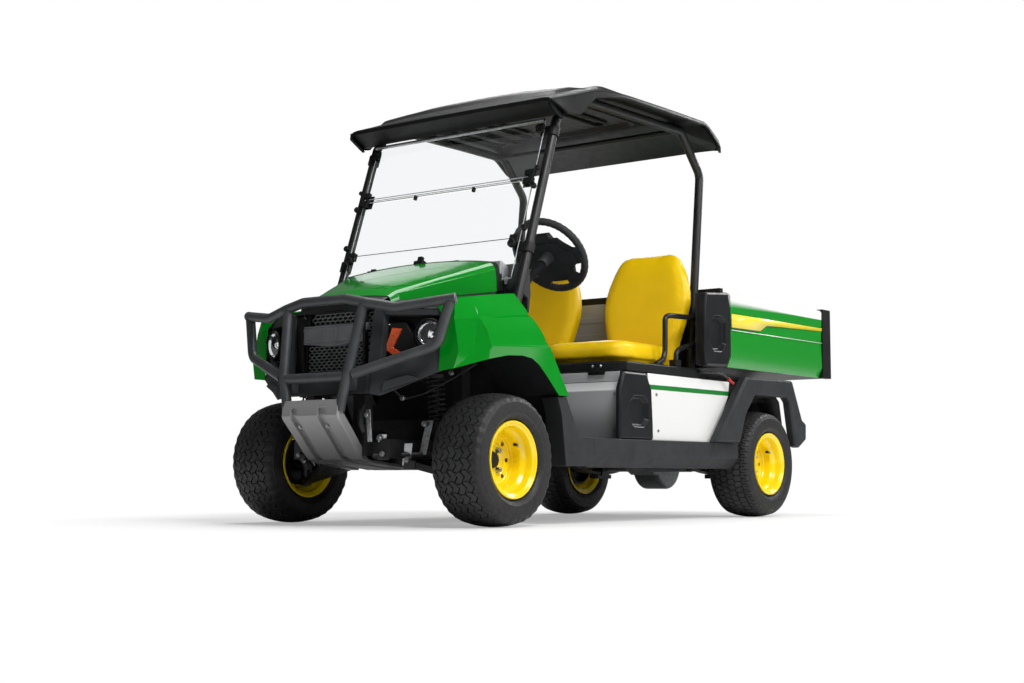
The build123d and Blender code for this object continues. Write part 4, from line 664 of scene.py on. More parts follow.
def mix_finishes(look):
    """Makes every finish once, from the colours in the sidebar."""
    FINISH["green"] = painted_plastic("lacquered_green_tpo", look.panel_shade, look.panel_tint)
    FINISH["charcoal"] = grained_polypropylene("charcoal_polypropylene", "#27282a", "#303133")
    FINISH["panel_black"] = grained_polypropylene("black_polypropylene", "#101112", "#18191a", 0.42, 0.54)
    FINISH["moulding"] = grained_polypropylene("satin_black_moulding", "#17181a", "#1e1f21", 0.30, 0.38)
    FINISH["wing_grey"] = grained_polypropylene("grey_polypropylene", "#2e3032", "#38393b")
    FINISH["rubber_mat"] = grained_polypropylene("black_floor_mat", "#161617", "#202122", 0.6, 0.75, 3.0, 0.12)
    FINISH["roof_black"] = grained_polypropylene("thermoformed_black_abs", "#0e0f10", "#151617", 0.38, 0.48, 2.0, 0.06)
    FINISH["tube_black"] = powder_coat("black_powder_coat", "#0b0c0d", "#121314")
    FINISH["guard_grey"] = powder_coat("graphite_powder_coat", "#3a3c3e", "#454749", 0.36, 0.44)
    FINISH["mesh_grey"] = powder_coat("dark_grey_mesh_coat", "#696b6d", "#767879", 0.42, 0.52)
    FINISH["chassis"] = powder_coat("chassis_powder_coat", "#0a0b0c", "#131415", 0.45, 0.6)
    FINISH["rubber"] = tyre_rubber()
    FINISH["enamel"] = wheel_enamel(look.wheel)
    FINISH["vinyl"] = seat_vinyl(look.seat)
    # The silver's bands are painted light and shade. The broad blend at 0.44 m leaves it darker low down and lighter
    # above. The near-white band on the strip that leans back toward the lamps is a painted highlight.
    FINISH["silver"] = banded_abs("silver_abs", [(0.0, "#8e9092"), (0.44, "#bcbec0"), (0.541, "#f0f1f2"), (0.578,
                                                                                                           "#c4c6c8")],
                                  0.36, (60, 0.6, 3.0))
    FINISH["white"] = banded_abs("white_abs_green_band", [(0.0, "#e6e6e4"), (0.551, "#127a2c"), (0.571, "#ebebe9")])
    FINISH["bed_green"] = banded_abs(
        "printed_green_bed_side", [(0.0, "#0c8a22"), (0.964, "#ececea")], 0.24, (22,), soft_end=(1.60, 2.20)
    )
    FINISH["light_grey"] = banded_abs("light_grey_abs", [(0.0, "#9fa1a3"), (2.0, "#9fa1a3")], 0.34)
    FINISH["dark_film"] = banded_abs("dark_green_vinyl_film", [(0.0, "#1d4a1c"), (2.0, "#1d4a1c")], 0.3)
    # Light grey for the clear sheets' polished edges: a painted highlight standing in for the light that the edges
    # catch.
    FINISH["clear_edge"] = banded_abs("polished_sheet_edge", [(0.0, "#c9cdd0"), (2.0, "#c9cdd0")], 0.2)
    FINISH["yellow_film"] = banded_abs("yellow_vinyl_film", [(0.0, look.stripe), (2.0, look.stripe)], 0.3)
    FINISH["white_film"] = banded_abs("white_vinyl_film", [(0.0, "#e9efe6"), (2.0, "#e9efe6")], 0.3)
    FINISH["steel"] = bare_metal("zinc_plated_steel", "#9a9c9e", "#c2c4c6")
    FINISH["dark_steel"] = bare_metal("phosphated_steel", "#3a3b3c", "#4c4d4e", 0.4, 0.55)
    FINISH["cast"] = bare_metal("cast_aluminium", "#77797b", "#8b8d8f", 0.45, 0.6, 1.6)
    FINISH["bright"] = bare_metal("vacuum_metallised_reflector", "#e2e4e6", "#f2f3f4", 0.05, 0.12, 4.0)
    FINISH["skid"] = skid_metal()
    FINISH["glazing"] = clear_polycarbonate()
    FINISH["amber"] = amber_lens()
    FINISH["grip"] = rubber_grip()


# ---------------------------------------------------------------- wheels
WHEELS = (
    ("fl", "front_left_wheel", "front_left_spin", 1, 0.2265),
    ("fr", "front_right_wheel", "front_right_spin", -1, 0.2265),
    ("rl", "rear_left_wheel", "rear_left_spin", 1, 0.2135),
    ("rr", "rear_right_wheel", "rear_right_spin", -1, 0.2135),
)


def wheel_middle(corner):
    """Centre of one wheel: its tyre's box across, its axle's line along and up."""
    low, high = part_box("tyre_" + corner)
    return (low + high) / 2


def zigzag(t):
    """A line that swings from -1 at 0 to +1 at a half and back."""
    return 1 - 4 * abs((t % 1.0) - 0.5)


def tyre_lines(half, columns, swing, groove):
    """Lines across the tread from the left shoulder to the right: (x, swing sign, kind, cell)."""
    reach = half * 0.80
    step = 2 * reach / (columns + 1)
    lines = []
    for k in range(columns + 1):
        x = -reach + (k + 0.5) * step
        lines += [(x - groove, k, "top", k), (x - groove * 0.6, k, "floor", -1)]
        lines += [(x + groove * 0.6, k, "floor", -1), (x + groove, k, "top", k + 1)]
        if k < columns:
            lines.append((x + step / 2, None, "top", k + 1))
    return lines, reach


def tyre_pitch(centre, width, outer_r, turf, sizes):
    """One pitch of a tyre, all the way round its section: turf has blocks and bars, the other has saw-tooth ribs."""
    half = width / 2
    columns = 4 if turf else 5
    count = sizes.turf_pitches if turf else sizes.rib_pitches
    groove = 0.0036 if turf else sizes.groove / 2
    depth = sizes.tread_depth
    swing = 0.0044 if turf else 0.0084
    lines, reach = tyre_lines(half, columns, swing, groove)
    times = [0.0, 0.07, 0.25, 0.43, 0.5, 0.57, 0.75, 0.93, 1.0]

    def crown(x):
        return outer_r - 0.013 * (abs(x) / (half * 0.84)) ** 2.0

    rows = []
    shades = []
    for t in times:
        row = []
        sunk = []
        for x, border, kind, cell in lines:
            sign = 0.0 if border is None else ((-1) ** border if turf else 1.0)
            if border is None and not turf:
                sign = 1.0
            place = x + swing * sign * zigzag(t)
            lean = 0.0 if turf else 0.16 * zigzag(0.5 + (x + reach) / (2 * reach) * (columns + 1) / 2)
            cut = 0.0
            if kind == "floor":
                cut = depth
            elif turf:
                gap_at = 0.5 if cell % 2 else 0.0
                if abs(t - gap_at) < 0.02 or (gap_at == 0.0 and t > 0.98):
                    cut = depth
            elif t in (0.0, 1.0):
                cut = depth * 0.45
            row.append((place, crown(place) - cut, t + lean))
            sunk.append(min(1.0, cut / depth))
        shoulder = []
        edge_wave = 0.0022 * zigzag(t)
        bar = turf and (t < 0.02 or t > 0.98)
        notch = depth * 0.8 if bar else 0.0
        for x, r, share in (
            (0.845, 0.0135, 1.0), (0.885, 0.0165, 1.0), (0.925, 0.0215, 0.8), (0.955, 0.0290, 0.5),
        ):
            shoulder.append((half * x + (0 if turf else edge_wave * share), outer_r - r - notch * share, t))
        wall = [
            (0.972, 0.0335), (0.985, 0.0345), (0.990, 0.0420), (1.0, 0.0560), (0.998, 0.0680), (0.984, 0.0760),
            (0.990, 0.0775), (0.972, 0.0820), (0.930, 0.0880), (0.880, 0.0930), (0.876, 0.0955), (0.830, 0.0975),
            (0.790, 0.0995), (0.780, 0.1020),
        ]
        side = shoulder + [(half * x, outer_r - r, t) for x, r in wall]
        bead = [(0.0885, outer_r - 0.1188, t), (0.0775, outer_r - 0.1188, t), (0.086, outer_r - 0.085, t),
                (half * 0.86, outer_r - 0.045, t), (half * 0.7, outer_r - 0.026, t)]
        right = side + bead
        ring = [(-x, r, s) for x, r, s in reversed(right)] + row + right
        rows.append(ring)
        # Share of the painted darkening at each point: full painted shade on the groove floors, 0.42 on the walls and
        # beads.
        shades += [0.42] * len(right) + sunk + [0.42] * len(right)
    form = Form()
    form.shades = shades
    points = []
    for ring in rows:
        arc = []
        for x, r, s in ring:
            angle = math.tau * s / count
            arc.append(centre + Vector((x, r * math.cos(angle), r * math.sin(angle))))
        points.append(arc)
    form.grid(points, loop=True)
    return form, count


def make_tyres(sizes):
    """Saw-tooth ribbed front tyres and block-pattern rear tyres, from one pitch repeated round the axle."""
    for corner, body, joint, side, width in WHEELS:
        centre = wheel_middle(corner)
        turf = corner[0] == "r"
        form, count = tyre_pitch(centre, width, centre.z, turf, sizes)
        piece = form.piece("tyre_" + corner + "_tread", FINISH["rubber"], body)
        run_tree(piece, pitch_tree(), {"Count": count, "Axle": centre, "Finish": FINISH["rubber"]}, crease=38)
        stand_for(piece, "tyre", "tyre_" + corner)


VENT_COUNT = 8
RIM_STEPS = 12


def rim_pitch(centre, side):
    """One eighth of a pressed wheel, with its one vent: lip, barrel, step ring, disc and both faces."""
    front = [
        (0.0925, 0.1440), (0.0962, 0.1442), (0.0990, 0.1428), (0.1000, 0.1402), (0.0990, 0.1372),
        (0.0962, 0.1345), (0.0932, 0.1318), (0.0918, 0.1285), (0.0905, 0.1250), (0.0880, 0.1232),
        (0.0700, 0.1226), (0.0672, 0.1214), (0.0648, 0.1212), (0.0622, 0.1200), (0.0560, 0.1130),
        (0.0500, 0.1078), (0.0440, 0.1052), (0.0380, 0.1045), (0.0150, 0.1042), (0.0118, 0.1030),
        (0.0098, 0.1010), (0.0060, 0.1000), (0.0010, 0.0990), (-0.0006, 0.0980), (-0.0010, 0.0968),
    ]
    hub = [
        (-0.0010, 0.0712), (-0.0022, 0.0700), (-0.0068, 0.0665), (-0.0080, 0.0650), (-0.0080, 0.0345),
        (-0.0088, 0.0335), (-0.0130, 0.0332), (-0.0138, 0.0345), (-0.0138, 0.0650), (-0.0070, 0.0712),
    ]
    back = [
        (-0.0070, 0.0968), (-0.0066, 0.0990), (-0.0070, 0.1030), (-0.0100, 0.1042), (-0.0400, 0.1045),
        (-0.0500, 0.1078), (-0.0600, 0.1180), (-0.0640, 0.1226), (-0.0880, 0.1232), (-0.0918, 0.1285),
        (-0.0962, 0.1345), (-0.0995, 0.1380), (-0.1000, 0.1402), (-0.0985, 0.1432), (-0.0950, 0.1442),
        (-0.0925, 0.1425), (-0.0895, 0.1370), (-0.0890, 0.1270), (-0.0620, 0.1270), (-0.0420, 0.1085),
        (0.0420, 0.1085), (0.0620, 0.1270), (0.0890, 0.1270), (0.0895, 0.1370), (0.0925, 0.1440),
    ]
    span = math.tau / VENT_COUNT
    form = Form()

    def spot(x, r, angle):
        return centre + Vector((side * x, r * math.cos(angle), r * math.sin(angle)))

    for path in (front, hub, back):
        form.grid([[spot(x, r, span * (k / RIM_STEPS - 0.5)) for k in range(RIM_STEPS + 1)] for x, r in path])

    def ring_of(low, high):
        """Points round the panel that one vent is cut in: (angle, radius)."""
        run = [span * (k / RIM_STEPS - 0.5) for k in range(RIM_STEPS + 1)]
        edge = [(a, low) for a in run] + [(run[-1], low + (high - low) * k / 3) for k in (1, 2)]
        edge += [(a, high) for a in reversed(run)] + [(run[0], high - (high - low) * k / 3) for k in (1, 2)]
        return edge

    edge = ring_of(0.0712, 0.0968)
    vent = []
    for angle, radius in edge:
        p, q = angle / (span / 2), (radius - 0.084) / 0.0128
        size = (abs(p) ** 4 + abs(q) ** 4) ** 0.25
        up = 0.0093 * q / size
        wide = (0.0078 + 0.0016 * q / size) * p / size
        vent.append((wide / (0.084 + up), 0.084 + up))
    for rise, first, second in ((-0.0010, 0.0, 0.0006), (-0.0070, 0.0, -0.0006)):
        rows = [[spot(rise, r, a) for a, r in edge]]
        rows.append([spot(rise, 0.084 + (r - 0.084) * 1.09, a * 1.09) for a, r in vent])
        rows.append([spot(rise - second, r, a) for a, r in vent])
        form.grid(rows, loop=True)
    form.grid([[spot(-0.0016, r, a) for a, r in vent], [spot(-0.0064, r, a) for a, r in vent]], loop=True)
    return form


def make_rims():
    """Pressed steel rims, each from one vent's pitch repeated round its axle."""
    for corner, body, joint, side, width in WHEELS:
        centre = wheel_middle(corner)
        piece = rim_pitch(centre, side).piece("rim_" + corner + "_pressed", FINISH["enamel"], body)
        run_tree(piece, pitch_tree(), {"Count": VENT_COUNT, "Axle": centre, "Finish": FINISH["enamel"]}, crease=40)
        stand_for(piece, "wheel_yellow", "rim_" + corner)


def make_hubs():
    """Brake drums with cooling fins, domed caps, wheel nuts and valve stems."""
    for corner, body, joint, side, width in WHEELS:
        centre = wheel_middle(corner)
        out = Vector((side, 0, 0))
        inner = -0.058 if corner[0] == "f" else -0.070
        drum = [(-0.0142, 0.0142), (-0.0142, 0.0800), (-0.0170, 0.0860), (-0.0220, 0.0905)]
        steps = 5
        for k in range(steps):
            at = -0.0240 - (abs(inner) - 0.026) * k / steps
            drum += [(at, 0.0900), (at - 0.0008, 0.0920), (at - 0.0034, 0.0920), (at - 0.0042, 0.0900)]
        drum += [(inner, 0.0918), (inner, 0.0860), (-0.0262, 0.0860), (-0.0262, 0.0340),
                 (inner + 0.008, 0.0300), (inner + 0.008, 0.0142)]
        form = Form()
        form.lathe(drum, centre, out, sides=64)
        cap = [(-0.0130, 0.0), (-0.0130, 0.0318), (-0.0040, 0.0318), (0.0020, 0.0306), (0.0075, 0.0275),
               (0.0115, 0.0215), (0.0135, 0.0130), (0.0138, 0.0), ]
        form.lathe(cap, centre, out, sides=48, loop=False)
        stem_way = math.radians(34)
        radial = Vector((0, math.cos(stem_way), math.sin(stem_way)))
        foot = centre + out * 0.034 + radial * 0.1045
        tip = foot + out * 0.026 - radial * 0.010
        form.lathe([(0.0, 0.0), (0.0, 0.0062), (0.005, 0.0058), (0.008, 0.0042), (0.020, 0.0038), (0.020, 0.0)],
                   foot, tip - foot, sides=20, loop=False)
        form.lathe([(0.020, 0.0), (0.020, 0.0036), (0.030, 0.0036), (0.0315, 0.0026), (0.0315, 0.0)],
                   foot, tip - foot, mark=1, sides=16, loop=False)
        piece = form.piece("hub_" + corner + "_drum", [FINISH["panel_black"], FINISH["steel"]], body)
        stand_for(piece, "trim_black", "hub_" + corner)

        nut = Form()
        middle = centre + Vector((0, 0.0508 * math.cos(math.pi / 4), 0.0508 * math.sin(math.pi / 4)))
        nut.lathe([(-0.0082, 0.0), (-0.0082, 0.0118), (-0.0060, 0.0112), (-0.0020, 0.0100), (-0.0020, 0.0)],
                  middle, out, sides=24, loop=False)
        nut.lathe([(-0.0030, 0.0), (-0.0030, 0.0104), (0.0070, 0.0104), (0.0085, 0.0088), (0.0085, 0.0)],
                  middle, out, sides=6, loop=False)
        nut.lathe([(0.0080, 0.0), (0.0080, 0.0058), (0.0125, 0.0058), (0.0135, 0.0046), (0.0135, 0.0)],
                  middle, out, sides=20, loop=False)
        nuts = nut.piece("wheel_nuts_" + corner, FINISH["steel"], body)
        run_tree(nuts, pitch_tree(), {"Count": 4, "Axle": centre, "Finish": FINISH["steel"]}, crease=30)


# ---------------------------------------------------------------- frame and running gear
def make_frame():
    """Chassis rails, battery, hitch, knuckles, rack and arms, dressed from the frame parts."""
    for node, finish, radius, slot in (
        ("frame", "chassis", 0.003, "chassis_black"),
        ("hitch_receiver", "chassis", 0.0015, "chassis_black"),
        ("front_arms", "chassis", 0.002, "chassis_black"),
        ("battery_pack", "panel_black", 0.006, "trim_black"),
        ("knuckle_left", "dark_steel", 0.0015, "bare_steel"),
        ("knuckle_right", "dark_steel", 0.0015, "bare_steel"),
        ("steering_rack", "steel", 0.0, "bare_steel"),
        ("rear_springs", "chassis", 0.0012, "chassis_black"),
    ):
        dress(node, FINISH[finish], radius)


def make_struts():
    """Front dampers with their coils."""
    low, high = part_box("front_struts")
    for side, label in ((1, "left"), (-1, "right")):
        foot = Vector((side * 0.300, STRUT_Y, low.z + 0.012))
        head = Vector((side * 0.275, STRUT_Y, high.z - 0.010))
        way = (head - foot).normalized()
        span = (head - foot).length
        form = Form()
        form.lathe([(-0.012, 0.0), (-0.012, 0.017), (0.012, 0.017), (0.016, 0.0225), (0.150, 0.0225), (0.156, 0.0300),
                    (0.162, 0.0300), (0.164, 0.0100), (span - 0.05, 0.0100), (span - 0.05, 0.0330),
                    (span - 0.035, 0.0345), (span - 0.022, 0.0200), (span - 0.005, 0.0180), (span - 0.005, 0.0)],
                   foot, way, sides=40, loop=False)
        turns, wire, ring = 8, 0.0050, 0.0295
        coil = []
        steps = turns * 22
        start, end = 0.160, span - 0.052
        across = way.orthogonal().normalized()
        over = way.cross(across)
        for k in range(steps + 1):
            t = math.tau * turns * k / steps
            coil.append(foot + way * (start + (end - start) * k / steps)
                        + ring * (across * math.cos(t) + over * math.sin(t)))
        form.tube(coil, 0, wire, mark=1, sides=10)
        piece = form.piece("strut_" + label, [FINISH["tube_black"], FINISH["chassis"]])
        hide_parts("front_struts")


def make_drive():
    """Rear axle tubes, gear case with its cooling ribs, motor and its cable boots."""
    piece = dress("drive_unit", FINISH["cast"], 0.003, crease=38)


STRUT_Y = AXLE_Y - 0.040


def make_floor():
    """Footwell with its mat, the sills, the rear fenders and the liners behind their arches."""
    for node, finish, radius, slot in (
        ("floor", "rubber_mat", 0.004, "trim_black"),
        ("side_steps", "charcoal", 0.004, "trim_charcoal"),
        ("rear_fenders", "charcoal", 0.007, "trim_charcoal"),
    ):
        dress(node, FINISH[finish], radius)
    arch = ((1.690, 0.366), (1.740, 0.470), (1.830, 0.563), (2.140, 0.563), (2.170, 0.541), (2.218, 0.345))
    liners = Form()
    for side in (1, -1):
        liners.grid([[af(side * x, y, z) for y, z in arch] for x in (0.420, 0.480, 0.574)])
    piece = liners.piece("rear_arch_liners", FINISH["panel_black"], facing=(0, 0, -1), closed=False)
    thicken(piece, 0.003)
# ---------------------------------------------------------------- hood and front
def between(a, b, t):
    return a + (b - a) * t


HOOD_STATIONS = (
    # y, half width of the top, height of the crown, of the crease, of the shoulder and of the lower edge
    (-0.232, 0.208, 0.8640, 0.8560, 0.8480, 0.8260),
    (-0.192, 0.214, 0.8960, 0.8790, 0.8650, 0.8370),
    (-0.120, 0.249, 0.9290, 0.9050, 0.8880, 0.8480),
    (-0.055, 0.281, 0.9560, 0.9290, 0.9080, 0.8580),
    (0.020, 0.317, 0.9840, 0.9560, 0.9320, 0.8700),
    (0.100, 0.356, 1.0120, 0.9855, 0.9590, 0.8840),
    (0.176, 0.392, 1.0420, 1.0130, 0.9840, 0.8970),
)


def hood_row(y, half, crown, crease, shoulder, low, lift=0.0, bow=0.022):
    """One cross-section of the hood from the middle to its lower edge on the left."""
    row = []
    bevel = 0.008 + 0.020 * max(0.0, min(1.0, (y + 0.20) / 0.37))
    for u in (0.0, 0.2, 0.4, 0.6, 0.75, 0.88, 0.96, 1.0):
        row.append(af(u * (half - 0.7 * bevel), y + bow * (1 - u * u),
                      crease + (crown - crease) * (1 - u ** 2.2) + lift))
    row.append(af(half - 0.15 * bevel, y, crease - 0.42 * bevel + lift))
    row.append(af(half + 0.006, y, crease - bevel + lift))
    row.append(af(half + 0.010, y, between(shoulder, low, 0.4)))
    row.append(af(half + 0.012, y, low))
    row.append(af(half - 0.004, y, low - 0.004))
    return row


def make_hood():
    rows = []
    for k, (y, *rest) in enumerate(HOOD_STATIONS):
        rows.append(hood_row(y, *rest, bow=-0.022 if k == 0 else (-0.012 if k == 1 else 0.026 * (y + 0.19) / 0.366)))
    form = Form()
    full = [list(reversed(left(row[1:]))) + row for row in rows]
    form.grid(full)
    hood = form.piece("hood_panel", [FINISH["green"], FINISH["panel_black"]], facing=(0, -0.3, 1), closed=False,
                      crease=40)
    thicken(hood, 0.004).modifiers["wall"].material_offset = 1
    soften(hood, 0.0035, 3, 9)
    stand_for(hood, "body_green", "hood")

    trim = Form()
    lip = [p + Vector((0, -0.001, -0.003)) for p in rows[0][:10]]
    mid = [af(p.x * 1.02, p.y - AXLE_Y - 0.034, p.z - 0.016) for p in lip]
    low = [af(p.x * 0.99, p.y - AXLE_Y - 0.050, p.z - 0.052) for p in lip]
    for band in (lip, mid, low):
        band[-2:] = [band[-2]]
    strip = [list(reversed(left(row[1:]))) + row for row in (lip, mid, low)]
    trim.grid(strip)
    nose = trim.piece("nose_trim", FINISH["panel_black"], facing=(0, -1, 0.4), closed=False)
    thicken(nose, 0.004)
    soften(nose, 0.003, 3)

    filler = Form()
    rows = []
    for y, half, crown, crease, shoulder, low in HOOD_STATIONS:
        top = between(0.826, 0.886, (y + 0.196) / 0.362)
        rows.append([af(half + 0.006, y, low + 0.004), af(between(half, 0.404, 0.5), y - 0.004, between(low, top,
                                                                                                        0.5) - 0.012),
                     af(0.408, max(y, -0.196), top - 0.006)])
    rows.insert(0, [af(0.216, -0.292, 0.803), af(0.330, -0.246, 0.798), af(0.456, -0.186, 0.792)])
    for way in (1, -1):
        filler.grid([[Vector((p.x * way, p.y, p.z)) for p in row] for row in rows])
    strip = filler.piece("hood_side_trims", FINISH["panel_black"], facing=(0, 0, 1), closed=False)
    thicken(strip, 0.003)
    soften(strip, 0.002, 2)

    cowl = Form()
    y, *rest = HOOD_STATIONS[-1]
    ring = hood_row(y, *rest, bow=0.026)[:-1]
    edges = []
    for ahead, rise, spread in ((-0.002, -0.004, 0.0), (0.000, 0.002, 0.002), (0.028, 0.006, 0.004),
                                (0.034, 0.001, 0.002), (0.034, -0.030, -0.010)):
        row = [p + Vector((math.copysign(spread, p.x) if p.x else 0, ahead, rise)) for p in ring]
        edges.append(list(reversed(left(row[1:]))) + row)
    cowl.grid(edges)
    band = cowl.piece("cowl_trim", FINISH["panel_black"], facing=(0, 0.2, 1), closed=False)
    thicken(band, 0.003)
    soften(band, 0.002, 2)


FENDER = {
    "a0": (0.404, -0.196, 0.826), "a1": (0.408, 0.166, 0.886), "am": (0.406, -0.065, 0.854),
    "b0": (0.498, -0.194, 0.828), "bm": (0.500, -0.065, 0.852), "b1": (0.500, 0.156, 0.881),
    "e0": (0.452, -0.214, 0.770), "c0": (0.508, -0.212, 0.752), "ap": (0.557, -0.140, 0.745),
    "k0": (0.448, -0.228, 0.566), "k1": (0.512, -0.222, 0.572), "s1": (0.530, -0.214, 0.632),
    "s2": (0.593, -0.114, 0.640), "s3": (0.588, -0.112, 0.610), "sm": (0.555, -0.158, 0.632),
    "g1": (0.470, 0.164, 0.870), "g2": (0.530, 0.172, 0.786),
    "g3": (0.560, 0.246, 0.670), "g4": (0.556, 0.372, 0.494),
}
FENDER_PANELS = (
    ("a0", "b0", "bm", "am"), ("am", "bm", "b1", "a1"), ("a0", "e0", "c0", "b0"), ("e0", "k0", "k1", "s1", "c0"),
    ("c0", "s1", "ap"),
    ("ap", "s1", "sm"), ("s1", "k1", "sm"), ("k1", "s3", "sm"), ("s3", "s2", "sm"), ("s2", "ap", "sm"),
)
# the flank from front to rear: the top's edge, the shoulder, the belly line, the arch lip and its return
FLANK = (
    ((0.498, -0.194, 0.828), (0.508, -0.212, 0.752), (0.508, -0.212, 0.752), None, None),
    ((0.500, -0.110, 0.843), (0.562, -0.129, 0.758), (0.600, -0.104, 0.656), (0.588, -0.112, 0.610), (0.577, -0.104,
                                                                                                      0.616)),
    ((0.500, -0.020, 0.859), (0.568, -0.030, 0.768), (0.607, -0.020, 0.660), (0.598, -0.010, 0.629), (0.585, -0.006,
                                                                                                      0.638)),
    ((0.500, 0.068, 0.870), (0.574, 0.062, 0.778), (0.612, 0.062, 0.664), (0.604, 0.072, 0.633), (0.590, 0.074, 0.645)),
    ((0.500, 0.114, 0.876), (0.577, 0.112, 0.783), (0.614, 0.140, 0.667), (0.605, 0.130, 0.626), (0.592, 0.134, 0.639)),
    ((0.500, 0.156, 0.881), (0.580, 0.160, 0.787), (0.617, 0.232, 0.672), (0.606, 0.172, 0.605), (0.593, 0.178, 0.615)),
)
FENDER_LEG = (
    # outer rear edge, arch lip, its return and the rear return
    ((0.617, 0.232, 0.672), (0.606, 0.172, 0.605), (0.593, 0.178, 0.615), (0.560, 0.246, 0.670)),
    ((0.614, 0.276, 0.613), (0.606, 0.214, 0.572), (0.593, 0.220, 0.580), (0.559, 0.288, 0.611)),
    ((0.612, 0.320, 0.553), (0.606, 0.258, 0.534), (0.593, 0.264, 0.541), (0.558, 0.330, 0.552)),
    ((0.610, 0.364, 0.494), (0.606, 0.303, 0.494), (0.593, 0.309, 0.496), (0.556, 0.372, 0.494)),
)


def flank_row(top, shoulder, belly, lip, back):
    """One cross-section of the fender's flank, from its top edge down to the arch's return."""
    top, shoulder = Vector(top), Vector(shoulder)
    row = [top, between(top, shoulder, 0.35), between(top, shoulder, 0.70)]
    shelf = between(top, shoulder, 0.84) + Vector((-0.001, 0, -0.007))
    row += [shelf, shoulder + Vector((-0.004, 0, 0.001)), shoulder]
    if lip is None:
        return row + [shoulder] * 8
    belly, lip, back = Vector(belly), Vector(lip), Vector(back)
    for part, out in ((0.18, 0.004), (0.42, 0.006), (0.62, 0.003), (0.80, -0.002), (0.92, -0.003)):
        row.append(between(shoulder, belly, part) + Vector((out, 0, 0)))
    return row + [belly, lip, back]


def make_fenders():
    """Front fenders: flat top, shouldered flank that flares to its belly line, front scoop, arch lip and rear leg."""
    for side, label in ((1, "left"), (-1, "right")):
        keys = list(FENDER)
        form = Form()

        def put(p):
            return af(side * p[0], p[1], p[2])

        form.add([put(p) for p in FENDER.values()], [tuple(keys.index(k) for k in panel) for panel in FENDER_PANELS])
        rows = [[put(p) for p in flank_row(*station)] for station in FLANK[1:]]
        form.grid(rows)
        front = rows[0]
        nose = [FENDER[k] for k in ("b0", "c0", "ap", "s2", "s3")]
        form.add([put(nose[0]), *front[:6], put(nose[1])], [tuple(range(8))])
        form.add([put(nose[1]), front[5], put(nose[2])], [(0, 1, 2)])
        form.add([put(nose[2]), *front[5:12], put(nose[3])], [tuple(range(9))])
        form.add([put(nose[3]), front[11], front[12]], [(0, 1, 2)])
        form.grid([[put(p) for p in row] for row in FENDER_LEG])
        last = rows[-1]
        form.add([put(FENDER["a1"]), last[0], put(FENDER["g1"])], [(0, 1, 2)])
        form.add([*last[:6], put(FENDER["g2"]), put(FENDER["g1"])], [tuple(range(8))])
        form.add([*last[5:12], put(FENDER["g3"]), put(FENDER["g2"])], [tuple(range(9))])
        form.add([put(row[k]) for row in FENDER_LEG for k in (0, 3)],
                 [(0, 1, 3, 2), (2, 3, 5, 4), (4, 5, 7, 6)])
        piece = form.piece("fender_" + label, [FINISH["green"], FINISH["panel_black"]], facing=(side, -0.2, 0.4),
                           closed=True, crease=34)
        wall = thicken(piece, 0.004).modifiers["wall"]
        wall.use_even_offset = False
        wall.material_offset = 1
        soften(piece, 0.0045, 3, 17)
        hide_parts("front_fenders")
        liner = Form()
        # y, z and the outer edge, which stays inside the fender's own lower edge
        arch = ((-0.150, 0.600, 0.546), (-0.110, 0.632, 0.570), (-0.060, 0.650, 0.588), (0.075, 0.655, 0.596),
                (0.130, 0.645, 0.596), (0.182, 0.612, 0.596), (0.268, 0.541, 0.596), (0.312, 0.496, 0.596),
                (0.345, 0.420, 0.596), (0.350, 0.345, 0.596))
        liner.grid([[af(side * x, y, z) for x in (out, out - 0.036, 0.440, 0.345)] for y, z, out in arch])
        piece = liner.piece("arch_liner_" + label, FINISH["panel_black"], facing=(0, 0, -1), closed=False, crease=30)
        thicken(piece, 0.003)
        soften(piece, 0.002, 2, 20)


def lamp_axis(side):
    return Vector((side * 0.30, -1.0, -0.04)).normalized()


def make_fascia():
    """Front fascia: grille posts, brow bars, lamp surrounds and the lower wings with their raised outline."""
    for side, label in ((1, "left"), (-1, "right")):
        form = Form()

        def panel(*points, depth=(0, 0.016, 0), mark=0):
            form.prism([af(side * x, y, z) for x, y, z in points], depth, mark)

        panel((0.198, -0.304, 0.802), (0.240, -0.286, 0.796), (0.246, -0.316, 0.590), (0.222, -0.345, 0.490),
              (0.198, -0.350, 0.490), depth=(0, 0.030, 0))
        panel((0.236, -0.290, 0.801), (0.456, -0.188, 0.794), (0.464, -0.188, 0.778), (0.442, -0.198, 0.770),
              (0.246, -0.294, 0.778), depth=(0, 0.040, -0.004))
        panel((0.456, -0.186, 0.793), (0.484, -0.150, 0.760), (0.466, -0.176, 0.664), (0.442, -0.190, 0.668),
              (0.458, -0.178, 0.756), depth=(0, 0.034, 0), mark=1)
        panel((0.222, -0.334, 0.592), (0.340, -0.286, 0.606), (0.438, -0.204, 0.668), (0.466, -0.184, 0.668),
              (0.456, -0.222, 0.566), (0.262, -0.340, 0.476), (0.222, -0.354, 0.484), depth=(0, 0.030, 0.008))
        panel((0.262, -0.331, 0.490), (0.268, -0.326, 0.530), (0.350, -0.288, 0.552), (0.392, -0.266, 0.538),
              depth=(side * 0.004, -0.007, 0))
        panel((0.236, -0.220, 0.800), (0.470, -0.120, 0.800), (0.470, -0.130, 0.600), (0.236, -0.240, 0.560), mark=1)
        panel((0.246, -0.268, 0.752), (0.300, -0.242, 0.752), (0.330, -0.226, 0.690), (0.352, -0.216, 0.640),
              (0.340, -0.222, 0.606), (0.246, -0.270, 0.596), depth=(0, 0.03, 0), mark=1)
        piece = form.piece("fascia_" + label, [FINISH["wing_grey"], FINISH["panel_black"]])
        soften(piece, 0.004, 3)
        stand_for(piece, "trim_charcoal", "front_bumper")
    low = Form()
    low.prism([af(-0.222, -0.345, 0.488), af(0.222, -0.345, 0.488), af(0.206, -0.338, 0.556), af(-0.206, -0.338,
                                                                                                 0.556)],
              (0, 0.03, 0))
    piece = low.piece("fascia_lower_lip", FINISH["wing_grey"])
    soften(piece, 0.006, 3)


